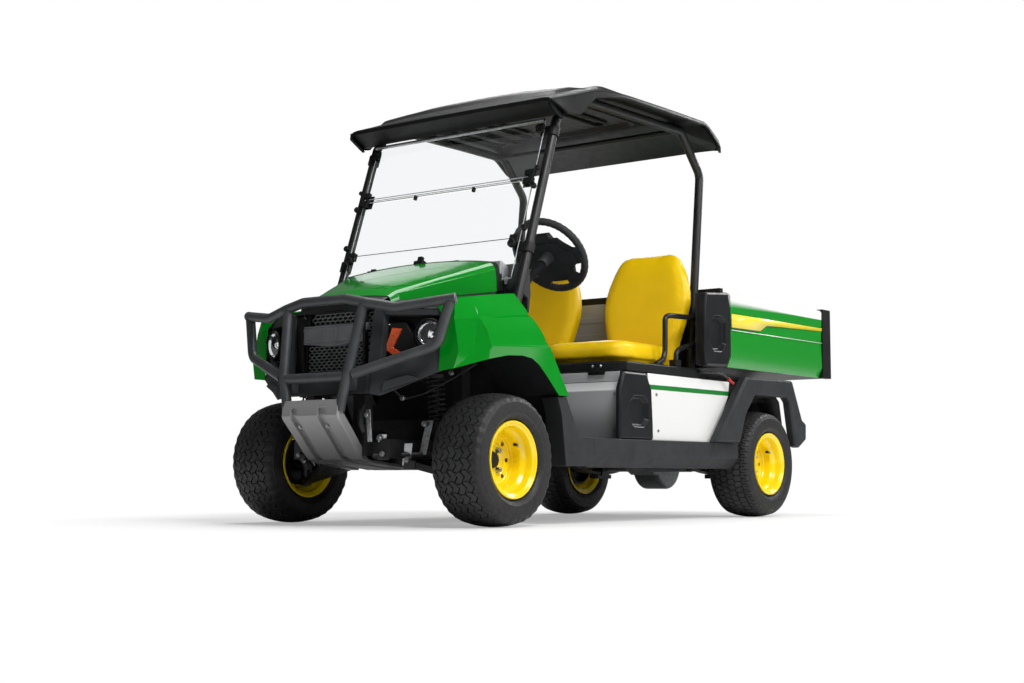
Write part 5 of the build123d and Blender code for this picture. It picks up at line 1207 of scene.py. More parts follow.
def make_lamps():
    """Round headlamps: a turned surround, a bowl of flat reflector facets, a projector eye, a clear cover; turn lenses."""
    for side, label in ((1, "left"), (-1, "right")):
        axis = lamp_axis(side)
        centre = af(side * 0.399, -0.218, 0.703)
        form = Form()
        form.lathe([(-0.034, 0.0), (-0.034, 0.058), (0.010, 0.058), (0.015, 0.0560), (0.015, 0.0510),
                    (0.005, 0.0490), (0.000, 0.0480), (-0.026, 0.0)], centre, axis, sides=64, loop=False)
        form.lathe([(-0.024, 0.0), (-0.022, 0.016), (-0.010, 0.034), (0.003, 0.0480), (0.0012, 0.0480),
                    (-0.012, 0.034), (-0.025, 0.014)], centre, axis, mark=1, sides=20, loop=False)
        form.lathe([(-0.020, 0.0), (-0.020, 0.0125), (-0.013, 0.0155), (-0.006, 0.0135), (-0.002, 0.008), (-0.001,
                                                                                                           0.0)],
                   centre, axis, mark=1, sides=32, loop=False)
        form.lathe([(-0.022, 0.0170), (-0.008, 0.0185), (-0.006, 0.0175), (-0.006, 0.0160), (-0.020, 0.0155)], centre,
                   axis, sides=32)
        lamp = form.piece("headlamp_" + label, [FINISH["panel_black"], FINISH["bright"]], crease=16)
        stand_for(lamp, "lamp_lens", "lamps")
        glass = Form()
        glass.lathe([(0.0050, 0.0), (0.0050, 0.024), (0.0040, 0.0480), (0.0060, 0.0490), (0.0085, 0.0480),
                     (0.0110, 0.034), (0.0128, 0.017), (0.0134, 0.0)], centre, axis, sides=64, loop=False)
        cover = glass.piece("headlamp_cover_" + label, FINISH["glazing"])
        amber = Form()
        outline = [(0.261, -0.2720, 0.730), (0.292, -0.2580, 0.727), (0.262, -0.2720, 0.658), (0.311, -0.2490, 0.624),
                   (0.281, -0.2630, 0.616), (0.236, -0.2840, 0.652)]
        amber.prism([af(side * x, y, z) for x, y, z in outline], (0, 0.012, 0))
        lens = amber.piece("turn_lens_" + label, FINISH["amber"])
        soften(lens, 0.002, 2)


def hexagon_tree():
    """A lattice of hexagonal wire cells over the points of a mesh."""
    name = "hexagon_lattice"
    if name in bpy.data.node_groups:
        return bpy.data.node_groups[name]
    tree, given = new_tree(name, {
        "Cell width": "NodeSocketFloat", "Cell height": "NodeSocketFloat", "Wire": "NodeSocketFloat",
        "Finish": "NodeSocketMaterial",
    })
    ring = add_node(tree, "GeometryNodeMeshCircle", {"fill_type": "NONE"}, {"Vertices": 6, "Radius": 0.5774})
    half = add_node(tree, "ShaderNodeCombineXYZ", links={
        0: given.outputs["Cell width"], 2: given.outputs["Cell height"],
    })
    upright = add_node(tree, "GeometryNodeTransform", links={
        0: ring.outputs[0], "Rotation": (math.pi / 2, math.pi / 6, 0.0),
    })
    sized = add_node(tree, "GeometryNodeTransform", links={0: upright.outputs[0], "Scale": half.outputs[0]})
    line = add_node(tree, "GeometryNodeMeshToCurve", links={0: sized.outputs[0]})
    section = add_node(tree, "GeometryNodeCurvePrimitiveCircle", links={0: 6, "Radius": given.outputs["Wire"]})
    wire = add_node(tree, "GeometryNodeCurveToMesh", links={0: line.outputs[0], 1: section.outputs[0]})
    spots = add_node(tree, "GeometryNodeMeshToPoints", links={0: given.outputs["Geometry"]})
    placed = add_node(tree, "GeometryNodeInstanceOnPoints", links={"Points": spots.outputs[0],
                                                                   "Instance": wire.outputs[0]})
    return end_tree(tree, given, placed.outputs[0])


def lattice(name, fields, finish, cell, wire):
    """Hexagonal mesh over flat fields of (x low, x high, z low, z high, y)."""
    spots = []
    for x0, x1, z0, z1, y in fields:
        across = max(1, round((x1 - x0) / cell[0]))
        up = max(1, round((z1 - z0) / (cell[1] * 0.86)))
        for r in range(up):
            for c in range(across + r % 2):
                spots.append(af(x0 + (c + 0.5 - 0.5 * (r % 2)) * (x1 - x0) / across, y,
                                z0 + (r + 0.5) * (z1 - z0) / up))
    mesh = bpy.data.meshes.new(name)
    mesh.from_pydata([tuple(p) for p in spots], [], [])
    mesh.materials.append(finish)
    piece = bpy.data.objects.new(name, mesh)
    bpy.context.scene.collection.objects.link(piece)
    run_tree(piece, hexagon_tree(), {
        "Cell width": cell[0], "Cell height": cell[1], "Wire": wire, "Finish": finish,
    })
    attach(piece, CHASSIS)
    return piece


def make_grille(mesh):
    """Grille: recessed back plate, raised cross bar with a bare field, hexagonal mesh, hooks and a side louvre."""
    form = Form()
    form.block(af(-0.204, -0.278, 0.488), af(0.204, -0.268, 0.806))
    for side in (1, -1):
        form.prism([af(side * x, -0.312, z) for x, z in ((0.148, 0.556), (0.160, 0.556), (0.166, 0.790), (0.154,
                                                                                                          0.790))],
                   (0, 0.036, 0))
    form.prism([af(-x, -0.302, z) for x, z in ((0.148, 0.556), (0.200, 0.556), (0.200, 0.790), (0.128, 0.800))],
               (0, 0.026, 0))
    form.prism([af(-0.206, -0.300, 0.812), af(0.206, -0.300, 0.812), af(0.206, -0.306, 0.800), af(-0.206, -0.306,
                                                                                                  0.800)],
               (0, 0.035, 0))
    for x in (-0.150, 0.110):
        form.tube([af(x, -0.312, 0.806), af(x, -0.312, 0.788), af(x + 0.012, -0.312, 0.782)], 0.006, 0.0040, sides=10)
    piece = form.piece("grille_body", FINISH["panel_black"])
    soften(piece, 0.004, 3)
    stand_for(piece, "trim_black", "grille")
    bar = Form()
    bar.prism([af(-0.170, -0.308, 0.754), af(0.170, -0.308, 0.754), af(0.156, -0.312, 0.686), af(0.0, -0.314, 0.672),
               af(-0.156, -0.312, 0.686)], (0, 0.026, 0))
    bar.prism([af(-0.154, -0.314, 0.745), af(0.154, -0.314, 0.745), af(0.140, -0.317, 0.691), af(-0.140, -0.317,
                                                                                                 0.691)],
              (0, 0.01, 0))
    bar.prism([af(-0.026, -0.320, 0.741), af(0.026, -0.320, 0.741), af(0.026, -0.322, 0.695), af(-0.026, -0.322,
                                                                                                 0.695)],
              (0, 0.01, 0))
    piece = bar.piece("grille_cross_bar", FINISH["mesh_grey"])
    soften(piece, 0.004, 3)
    cell = (mesh.cell_width, mesh.cell_height)
    lattice("grille_mesh", [
        (-0.112, 0.148, 0.757, 0.798, -0.289), (-0.126, 0.132, 0.560, 0.674, -0.291),
        (0.166, 0.192, 0.560, 0.790, -0.290),
    ], FINISH["mesh_grey"], cell, mesh.wire)


GUARD_TOP = [(0.531, -0.238, 0.824), (0.327, -0.320, 0.797), (0.205, -0.352, 0.820), (0.110, -0.356, 0.840)]


def make_guard(sizes):
    """Brush guard of bent and welded steel tube with end caps and its mounting tabs."""
    form = Form()
    radius = sizes.tube_radius
    half = [af(*p) for p in GUARD_TOP]
    form.tube(half + list(reversed(left(half))), 0.07, radius, sides=28)
    for side in (1, -1):
        form.tube([af(side * x, y, z) for x, y, z in (
            (0.192, -0.354, 0.812), (0.163, -0.402, 0.560), (0.142, -0.408, 0.470), (0.134, -0.412, 0.424),
        )], 0.05, radius, sides=28)
        form.tube([af(side * x, y, z) for x, y, z in (
            (0.514, -0.246, 0.812), (0.474, -0.268, 0.655), (0.180, -0.395, 0.556),
        )], 0.055, radius, sides=28)
        form.block(af(side * 0.150 - 0.004, -0.402, 0.500), af(side * 0.150 + 0.004, -0.332, 0.552))
        form.lathe([(-0.001, 0.0), (-0.001, radius + 0.0008), (0.003, radius + 0.0008), (0.004, radius - 0.002),
                    (0.004, 0.0)], af(side * 0.531, -0.238, 0.824), (side * 0.204, 0.082, 0.027), sides=28, loop=False)
    form.tube([af(-0.163, -0.401, 0.549), af(0.163, -0.401, 0.549)], 0, radius, sides=28)
    piece = form.piece("brush_guard_tubes", FINISH["guard_grey"], crease=50)
    stand_for(piece, "guard_grey", "brush_guard")


SKID_RUN = (
    # y, z, half width, how far the runners are sunk, which way is inward
    (-0.4240, 0.4660, 0.1420, 0.0, (0, 1, 0)), (-0.4280, 0.4520, 0.1430, 0.0, (0, 1, 0)),
    (-0.4300, 0.4390, 0.1430, 0.0, (0, 1, 0.1)), (-0.4315, 0.4340, 0.1430, 1.0, (0, 1, 0.1)),
    (-0.4342, 0.4080, 0.1430, 1.0, (0, 1, 0.3)), (-0.4290, 0.3960, 0.1430, 1.0, (0, 0.8, 0.6)),
    (-0.3800, 0.3420, 0.1410, 1.0, (0, 0.74, 0.67)), (-0.3200, 0.2720, 0.1380, 1.0, (0, 0.74, 0.67)),
    (-0.2980, 0.2500, 0.1370, 1.0, (0, 0.5, 0.86)), (-0.2620, 0.2380, 0.1400, 1.0, (0, 0.2, 0.98)),
    (-0.1600, 0.2260, 0.1580, 1.0, (0, 0.1, 1)), (-0.0600, 0.2150, 0.1820, 1.0, (0, 0.1, 1)),
    (-0.0220, 0.2110, 0.1890, 1.0, (0, 0.1, 1)),
)


def make_skid(sizes):
    """Skid plate: pressed sheet with two sunk runners, folded edges, a swept tail and two bolts."""
    rows = []
    for k, (y, z, half, sunk, way) in enumerate(SKID_RUN):
        inward = Vector(way).normalized()
        row = []
        for x, dip, fold in (
            (-0.1430, 0, 0.034), (-0.1430, 0, 0.008), (-0.1400, 0, 0.0), (-0.0975, 0, 0.0), (-0.0955, 1, 0.0),
            (-0.0640, 1, 0.0), (-0.0620, 0, 0.0), (0.0410, 0, 0.0), (0.0430, 1, 0.0), (0.0790, 1, 0.0),
            (0.0810, 0, 0.0), (0.1400, 0, 0.0), (0.1430, 0, 0.008), (0.1430, 0, 0.034),
        ):
            row.append(af(x * half / 0.143, y, z) + inward * (0.013 * dip * sunk + fold * (1 if k < 9 else 0.3)))
        rows.append(row)
    form = Form()
    form.grid(rows)
    piece = form.piece("skid_sheet", FINISH["skid"], facing=(0, -1, -0.4), closed=False, crease=40)
    thicken(piece, 0.004)
    soften(piece, 0.0015, 2, 14)
    stand_for(piece, "skid_grey", "skid_plate")
    way = Vector((0, -0.74, -0.67))
    spots = [(af(x, -0.4015, 0.3665) + way * -0.0045, way) for x in (-0.078, 0.061)]
    bolts("skid_bolts", spots, sizes.across_flats * 1.25, 0.5)


def make_front_details(sizes):
    """Brackets, bolts and leads between the front arms: the bright parts seen under the fascia."""
    form = Form()
    for side in (1, -1):
        for x, y, z in ((0.196, -0.250, 0.300), (0.252, -0.170, 0.268)):
            slab_on(form, af(side * x, y, z), (0.3 * side, -0.2, 0.93), (0.9, 0.4 * side, 0), (0.088, 0.032, 0.006))
            slab_on(form, af(side * (x + 0.012), y, z - 0.038), (0.3 * side, -0.2, 0.93), (0.9, 0.4 * side, 0),
                    (0.030, 0.044, 0.020), 1)
        slab_on(form, af(side * 0.176, -0.300, 0.372), (0, -0.1, 1), (1, 0.1, 0), (0.120, 0.020, 0.003))
        slab_on(form, af(side * 0.300, -0.120, 0.330), (0.2 * side, 0.1, 1), (1, 0.2 * side, 0), (0.130, 0.030, 0.004))
        form.tube([af(side * 0.150, -0.300, 0.450), af(side * 0.150, -0.316, 0.420), af(side * 0.150, -0.316, 0.380),
                   af(side * 0.150, -0.300, 0.350)], 0.02, 0.012, mark=1, sides=18)
        form.tube([af(side * 0.178, -0.280, 0.262), af(side * 0.300, -0.100, 0.270)], 0, 0.009, mark=1, sides=16)
        form.tube([af(side * 0.22, -0.24, 0.52), af(side * 0.26, -0.20, 0.47), af(side * 0.30, -0.14, 0.49),
                   af(side * 0.42, -0.10, 0.55), af(side * 0.50, -0.07, 0.60)], 0.03, 0.0035, mark=1, sides=10)
    piece = form.piece("front_brackets", [FINISH["steel"], FINISH["chassis"]], crease=40)
    soften(piece, 0.0015, 2, 40)
    spots = []
    for side in (1, -1):
        for x, y, z in ((0.200, -0.262, 0.326), (0.214, -0.262, 0.268), (0.176, -0.306, 0.410), (0.262, -0.182, 0.246),
                        (0.258, -0.200, 0.474), (0.416, -0.110, 0.566), (0.300, -0.126, 0.380)):
            spots.append((af(side * x, y - 0.006, z), (side * 0.35, -0.9, 0.1)))
    bolts("front_bolts", spots, sizes.across_flats * 1.6, 0.6)
# ---------------------------------------------------------------- roof and windshield
ROOF_ROWS = (
    # y, height on the centre line, top of the side band, foot of the side band, half width
    (0.3515, 1.6840, 1.6810, 1.6660, 0.540), (0.3620, 1.6930, 1.6870, 1.6600, 0.545),
    (0.3920, 1.7080, 1.6950, 1.6430, 0.557), (0.4320, 1.7270, 1.7060, 1.6220, 0.566),
    (0.4700, 1.7430, 1.7170, 1.6250, 0.572), (0.5080, 1.7570, 1.7290, 1.6330, 0.578),
    (0.5500, 1.7710, 1.7420, 1.6720, 0.584), (0.5940, 1.7840, 1.7550, 1.7130, 0.590),
    (0.7000, 1.8060, 1.7670, 1.7340, 0.600), (0.7900, 1.8200, 1.7710, 1.7460, 0.606),
    (0.8500, 1.8280, 1.7730, 1.7480, 0.606), (1.0000, 1.8330, 1.7750, 1.7490, 0.606),
    (1.1200, 1.8350, 1.7770, 1.7500, 0.606), (1.3000, 1.8330, 1.7780, 1.7510, 0.606),
    (1.4450, 1.8170, 1.7780, 1.7510, 0.606), (1.4750, 1.8110, 1.7680, 1.7400, 0.606),
    (1.5200, 1.7990, 1.7440, 1.7110, 0.606), (1.5600, 1.7800, 1.7210, 1.6860, 0.606),
    (1.6000, 1.7420, 1.6990, 1.6740, 0.594), (1.6370, 1.6900, 1.6840, 1.6690, 0.573),
)
ROOF_CROWN = (0.0, 0.12, 0.24, 0.34, 0.42, 0.48, 0.53, 0.566)


def roof_row(y):
    """The roof's heights and half width at a station, between the measured ones."""
    for a, b in zip(ROOF_ROWS, ROOF_ROWS[1:]):
        if y <= b[0]:
            part = max(0.0, (y - a[0]) / (b[0] - a[0]))
            return [between(p, q, part) for p, q in zip(a[1:], b[1:])]
    return list(ROOF_ROWS[-1][1:])


def roof_z(x, y):
    """Height of the roof's main skin."""
    middle, top, _, half = roof_row(y)
    return middle - (middle - top) * min(1.0, abs(x) / half / 0.934) ** 2.6


def round_oblong(half, front, rear, radius, steps=5, runs=8):
    """Points round a rectangle with turned corners, from its left front corner."""
    loop = []
    corners = ((half - radius, front + radius, -90), (half - radius, rear - radius, 0),
               (radius - half, rear - radius, 90), (radius - half, front + radius, 180))
    for k, (x, y, start) in enumerate(corners):
        for i in range(steps + 1):
            t = math.radians(start + 90 * i / steps)
            loop.append((x + radius * math.cos(t), y + radius * math.sin(t)))
        nx, ny, turn = corners[(k + 1) % 4]
        t = math.radians(turn)
        goal = (nx + radius * math.cos(t), ny + radius * math.sin(t))
        near = loop[-1]
        loop += [(between(near[0], goal[0], i / runs), between(near[1], goal[1], i / runs)) for i in range(1, runs)]
    return loop


def raised_panel(form, foot, crown, lift, top=None):
    """A raised panel on the roof: foot and crown are (half width, front, rear, corner radius)."""
    base = [af(x, y, roof_z(x, y) - 0.003) for x, y in round_oblong(*foot)]
    high = [af(x, y, (top if top else roof_z(x, y)) + lift) for x, y in round_oblong(*crown)]
    shrunk = (crown[0] * 0.5, between(crown[1], crown[2], 0.25), between(crown[1], crown[2], 0.75), crown[3] * 0.5)
    inner = [af(x, y, (top if top else roof_z(x, y)) + lift + 0.002) for x, y in round_oblong(*shrunk)]
    form.grid([base, high, inner], loop=True)
    form.add(inner, [tuple(range(len(inner)))])


def make_roof():
    """Thermoformed roof: crowned skin with a front visor, side bands, gussets, two raised panels and a liner."""
    rows = []
    for y, middle, top, foot, half in ROOF_ROWS:
        row = [af(x * half / 0.606, y, roof_z(x * half / 0.606, y)) for x in ROOF_CROWN]
        row += [af(half - 0.012, y, top - 0.004), af(half - 0.002, y, top - 0.011), af(half, y, top - 0.016),
                af(half, y, foot + 0.004), af(half - 0.003, y, foot), af(half - 0.014, y, foot)]
        rows.append(list(reversed(left(row[1:]))) + row)
    visor = []
    for back, low in ((0.0, 0.016), (0.040, 0.037), (0.080, 0.058)):
        visor.append([Vector((p.x, p.y + back, min(p.z, rows[0][len(p_row) // 2].z) - low))
                      for p_row in [rows[0]] for p in p_row])
    form = Form()
    form.grid(list(reversed(visor)) + rows)
    shell = form.piece("roof_shell", FINISH["roof_black"], facing=(0, 0, 1), closed=False, crease=40)
    thicken(shell, 0.004)
    soften(shell, 0.003, 2, 22)
    stand_for(shell, "trim_charcoal", "roof")

    raised = Form()
    raised_panel(raised, (0.400, 0.850, 1.510, 0.05), (0.252, 1.110, 1.430, 0.04), 0.0, 1.9255)
    raised_panel(raised, (0.475, 0.440, 0.770, 0.04), (0.455, 0.462, 0.735, 0.03), 0.013)
    panels = raised.piece("roof_raised_panels", FINISH["roof_black"], facing=(0, 0, 1), crease=24)
    soften(panels, 0.006, 3, 24)

    under = Form()
    rim = []
    for x, y in round_oblong(0.585, 0.445, 1.615, 0.06, 5, 14):
        middle, top, foot, half = roof_row(y)
        rim.append(af(max(-half + 0.018, min(half - 0.018, x)), y, foot + 0.006))
    ceiling = [af(x, y, 1.768) for x, y in round_oblong(0.430, 0.640, 1.340, 0.05, 5, 14)]
    drop = [af(x, y, 1.764) for x, y in round_oblong(0.340, 0.700, 1.290, 0.04, 5, 14)]
    pocket = [af(x, y, 1.778) for x, y in round_oblong(0.325, 0.715, 1.275, 0.035, 5, 14)]
    under.grid([rim, ceiling, drop, pocket], loop=True)
    under.add(pocket, [tuple(range(len(pocket)))])
    for x, y0, y1 in ((0.200, 0.76, 1.22), (-0.200, 0.76, 1.22), (0.385, 0.74, 1.26), (-0.385, 0.74, 1.26)):
        loop = [af(x + dx, y, 1.772 if abs(x) < 0.3 else 1.764) for dx, y in round_oblong(0.032, y0, y1, 0.03, 5, 6)]
        under.tube(loop + loop[:1], 0, 0.004, sides=8)
    liner = under.piece("roof_liner", FINISH["roof_black"], facing=(0, 0, -1), closed=False, crease=24)
    thicken(liner, 0.003)
    soften(liner, 0.004, 2, 24)
# ---------------------------------------------------------------- seats
def through(pairs, at):
    """A smooth line through (place, value) pairs."""
    for i in range(len(pairs) - 1):
        if at <= pairs[i + 1][0]:
            break
    before = pairs[max(i - 1, 0)]
    a, b = pairs[i], pairs[i + 1]
    after = pairs[min(i + 2, len(pairs) - 1)]
    t = min(max((at - a[0]) / (b[0] - a[0]), 0.0), 1.0)
    rise_a = (b[1] - before[1]) / (b[0] - before[0]) * (b[0] - a[0]) if b[0] > before[0] else 0.0
    rise_b = (after[1] - a[1]) / (after[0] - a[0]) * (b[0] - a[0]) if after[0] > a[0] else 0.0
    return ((2 * t ** 3 - 3 * t ** 2 + 1) * a[1] + (t ** 3 - 2 * t ** 2 + t) * rise_a
            + (3 * t ** 2 - 2 * t ** 3) * b[1] + (t ** 3 - t ** 2) * rise_b)


def power(value, degree):
    return math.copysign(abs(value) ** degree, value)


def cushion_form(side):
    """Seat cushion: upright full sides, turned corners, a shallow dish, a front edge that rolls over."""
    low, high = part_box("seat_cushions")
    inner = 0.088
    centre = Vector((side * (inner + high.x) / 2, (low.y + high.y) / 2, (low.z + high.z) / 2))
    half = Vector(((high.x - inner) / 2 - 0.004, (high.y - low.y) / 2 - 0.005, (high.z - low.z) / 2 + 0.003))
    centre.z += 0.006
    rows = []
    for i in range(29):
        v = math.pi * (i / 28 - 0.5)
        row = []
        for k in range(80):
            u = math.tau * k / 80
            reach = abs(math.cos(v)) ** 0.26
            p = power(math.cos(u), 0.36) * reach
            q = power(math.sin(u), 0.36) * reach
            r = power(math.sin(v), 0.44)
            if r > 0:
                dish = 0.005 * max(0.0, 1 - (p / 0.75) ** 2) * max(0.0, 1 - ((q - 0.2) / 0.85) ** 2)
                roll = 0.012 * max(0.0, (-q - 0.70) / 0.30) ** 2
                r -= (dish + roll) / half.z
            row.append(centre + Vector((half.x * p * (1 - 0.03 * max(0, q)), half.y * q, half.z * r)))
        rows.append(row)
    form = Form()
    form.grid(rows, loop=True)
    return form, low.z + 0.006


BACK_OUTLINE = ((0.0, 0.160), (0.03, 0.172), (0.06, 0.180), (0.142, 0.196), (0.196, 0.209), (0.269, 0.223),
                (0.317, 0.225), (0.376, 0.217), (0.444, 0.194), (0.49, 0.172), (0.515, 0.156), (0.534, 0.132),
                (0.541, 0.104))
BACK_DEPTH = ((0.0, 0.052), (0.02, 0.068), (0.08, 0.078), (0.20, 0.082), (0.40, 0.076), (0.48, 0.068), (0.515, 0.058),
              (0.534, 0.040), (0.541, 0.018))


def back_frame(side):
    """Foot, upward line and rearward line of one seat back."""
    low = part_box("seat_backs")[0]
    lean = math.radians(10)
    foot = Vector((side * 0.2955, low.y + 0.042, low.z + 0.002))
    up = Vector((0, math.sin(lean), math.cos(lean)))
    rear = Vector((0, math.cos(lean), -math.sin(lean)))
    return foot, up, rear


def back_form(side):
    """Seat back: narrow foot, widest at the ribs, sloping shoulders, a flat face with full turned edges."""
    foot, up, rear = back_frame(side)
    rows = []
    for i in range(49):
        w = 0.541 * i / 48
        wide = through(BACK_OUTLINE, w) - 0.003
        deep = through(BACK_DEPTH, w) / 2 - 0.002
        row = []
        for k in range(80):
            u = math.tau * k / 80
            p = power(math.cos(u), 0.50)
            q = power(math.sin(u), 0.46)
            wrap = 0.010 * (p * p) * (1 if q < 0 else 0.3)
            row.append(foot + Vector((wide * p, 0, 0)) + rear * (deep * q - wrap + 0.004) + up * w)
        rows.append(row)
    form = Form()
    form.grid(rows, loop=True)
    form.add(rows[0], [tuple(range(80))])
    form.add(rows[-1], [tuple(range(80))])
    return form


def inflate(piece, held, cap, voxel=0.006):
    """Fills the pad: its cover is blown out a little by cloth pressure and held where it rests."""
    remesh = piece.modifiers.new("even_faces", "REMESH")
    remesh.mode = "VOXEL"
    remesh.voxel_size = voxel
    remesh.use_smooth_shade = True
    bpy.context.view_layer.update()
    mesh = bpy.data.meshes.new_from_object(piece.evaluated_get(bpy.context.evaluated_depsgraph_get()))
    mesh.name = piece.name
    piece.modifiers.clear()
    piece.data = mesh
    start = [v.co.copy() for v in mesh.vertices]
    pins = piece.vertex_groups.new(name="held")
    pins.add([v.index for v in mesh.vertices if held(v.co)], 1.0, "ADD")
    pad = piece.modifiers.new("pad", "CLOTH")
    pad.settings.use_pressure = True
    pad.settings.uniform_pressure_force = 4.0
    pad.settings.effector_weights.gravity = 0.0
    pad.settings.vertex_group_mass = "held"
    pad.settings.quality = 4
    for step in range(1, 21):
        bpy.context.scene.frame_set(step)
    seen = piece.evaluated_get(bpy.context.evaluated_depsgraph_get())
    blown = [v.co.copy() for v in seen.data.vertices]
    piece.modifiers.clear()
    piece.vertex_groups.clear()
    bpy.context.scene.frame_set(1)
    for vertex, before, after in zip(mesh.vertices, start, blown):
        move = after - before
        if move.length > cap:
            move = move.normalized() * cap
        vertex.co = before + move
    return piece


def sew(piece, depth, distance):
    """Draws the cover in along a seam; distance gives how far a point is from it, in metres."""
    for vertex in piece.data.vertices:
        gap = distance(vertex.co)
        if gap is not None and gap < 0.016:
            vertex.co = vertex.co - vertex.normal * depth * math.exp(-(gap / 0.006) ** 2)
    piece.data.update()


def make_seats(pads):
    """Two cushions and two backs, each a filled pad with its seams drawn in."""
    for side, label in ((1, "left"), (-1, "right")):
        form, rest = cushion_form(side)
        cushion = form.piece("seat_cushion_" + label, FINISH["vinyl"], crease=180)
        inflate(cushion, lambda co: co.z < rest, pads.fill)
        box_low, box_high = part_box("seat_cushions")
        seam_z = box_low.z + 0.018
        seam_y = box_high.y - 0.120

        def foot_seam(co):
            return abs(co.z - seam_z)

        def rear_seam(co):
            return abs(co.y - seam_y) if co.z > seam_z + 0.02 else None

        sew(cushion, pads.seam_depth, foot_seam)
        sew(cushion, pads.seam_depth * 0.5, rear_seam)
        stand_for(cushion, "seat_yellow", "seat_cushions")

        foot, up, rear = back_frame(side)
        back = back_form(side).piece("seat_back_" + label, FINISH["vinyl"], crease=180)
        inflate(back, lambda co: (co - foot).dot(up) < 0.012, pads.fill)

        def rim_seam(co):
            place = co - foot
            return abs(place.dot(rear) - 0.026) if place.dot(up) > 0.02 else None

        sew(back, pads.seam_depth, rim_seam)
        stand_for(back, "seat_yellow", "seat_backs")


def make_hip_rails():
    """Bent tube hip rails beside the seats, with their feet."""
    rails = Form()
    for side in (1, -1):
        rails.tube([af(side * 0.552, y, z) for y, z in (
            (1.094, 0.664), (1.150, 0.688), (1.166, 0.720), (1.170, 0.870), (1.200, 0.881), (1.420, 0.889),
            (1.462, 0.838), (1.430, 0.776), (1.292, 0.743), (1.262, 0.726), (1.256, 0.690),
        )], 0.032, 0.0115, sides=22)
        rails.block(af(side * 0.552 - 0.022, 1.070, 0.6625), af(side * 0.552 + 0.012, 1.130, 0.668))
        rails.block(af(side * 0.552 - 0.022, 1.236, 0.6625), af(side * 0.552 + 0.012, 1.280, 0.692))
    piece = rails.piece("hip_rails", FINISH["tube_black"], crease=50)
    stand_for(piece, "trim_black", "seat_frames")
# ---------------------------------------------------------------- canopy, glass and steering
def make_canopy():
    """Canopy tubes from floor to roof, with their feet."""
    piece = dress("canopy_frame", FINISH["tube_black"], 0, crease=50)


def on_glass(x, z, off=0.0):
    """A point on the front face of the windshield, or a little ahead of it."""
    return af(x, 0.203 + (z - 0.945) * 0.357 - off, z + off * 0.357)


GLASS_OUT = Vector((0, -0.942, 0.336))
GLASS_UP = Vector((0, 0.336, 0.942))


def knob(form, point, axis, radius, height, mark=0):
    """A turned hand knob or stud cap with a dished top."""
    form.lathe([(0.0, 0.0), (0.0, radius * 0.72), (height * 0.25, radius * 0.78), (height * 0.35, radius),
                (height * 0.85, radius), (height, radius * 0.86), (height * 0.88, radius * 0.55),
                (height * 0.86, 0.0)], point, axis, mark=mark, sides=24, loop=False)


def slab_on(form, point, along, across, size, mark=0):
    """A block centred on a point: size is its extent along, across and through."""
    along, across = Vector(along).normalized(), Vector(across).normalized()
    out = along.cross(across).normalized()
    a, b, c = size[0] / 2, size[1] / 2, size[2] / 2
    ring = [point + along * p + across * q - out * c for p, q in ((-a, -b), (a, -b), (a, b), (-a, b))]
    form.prism(ring, out * (2 * c), mark)


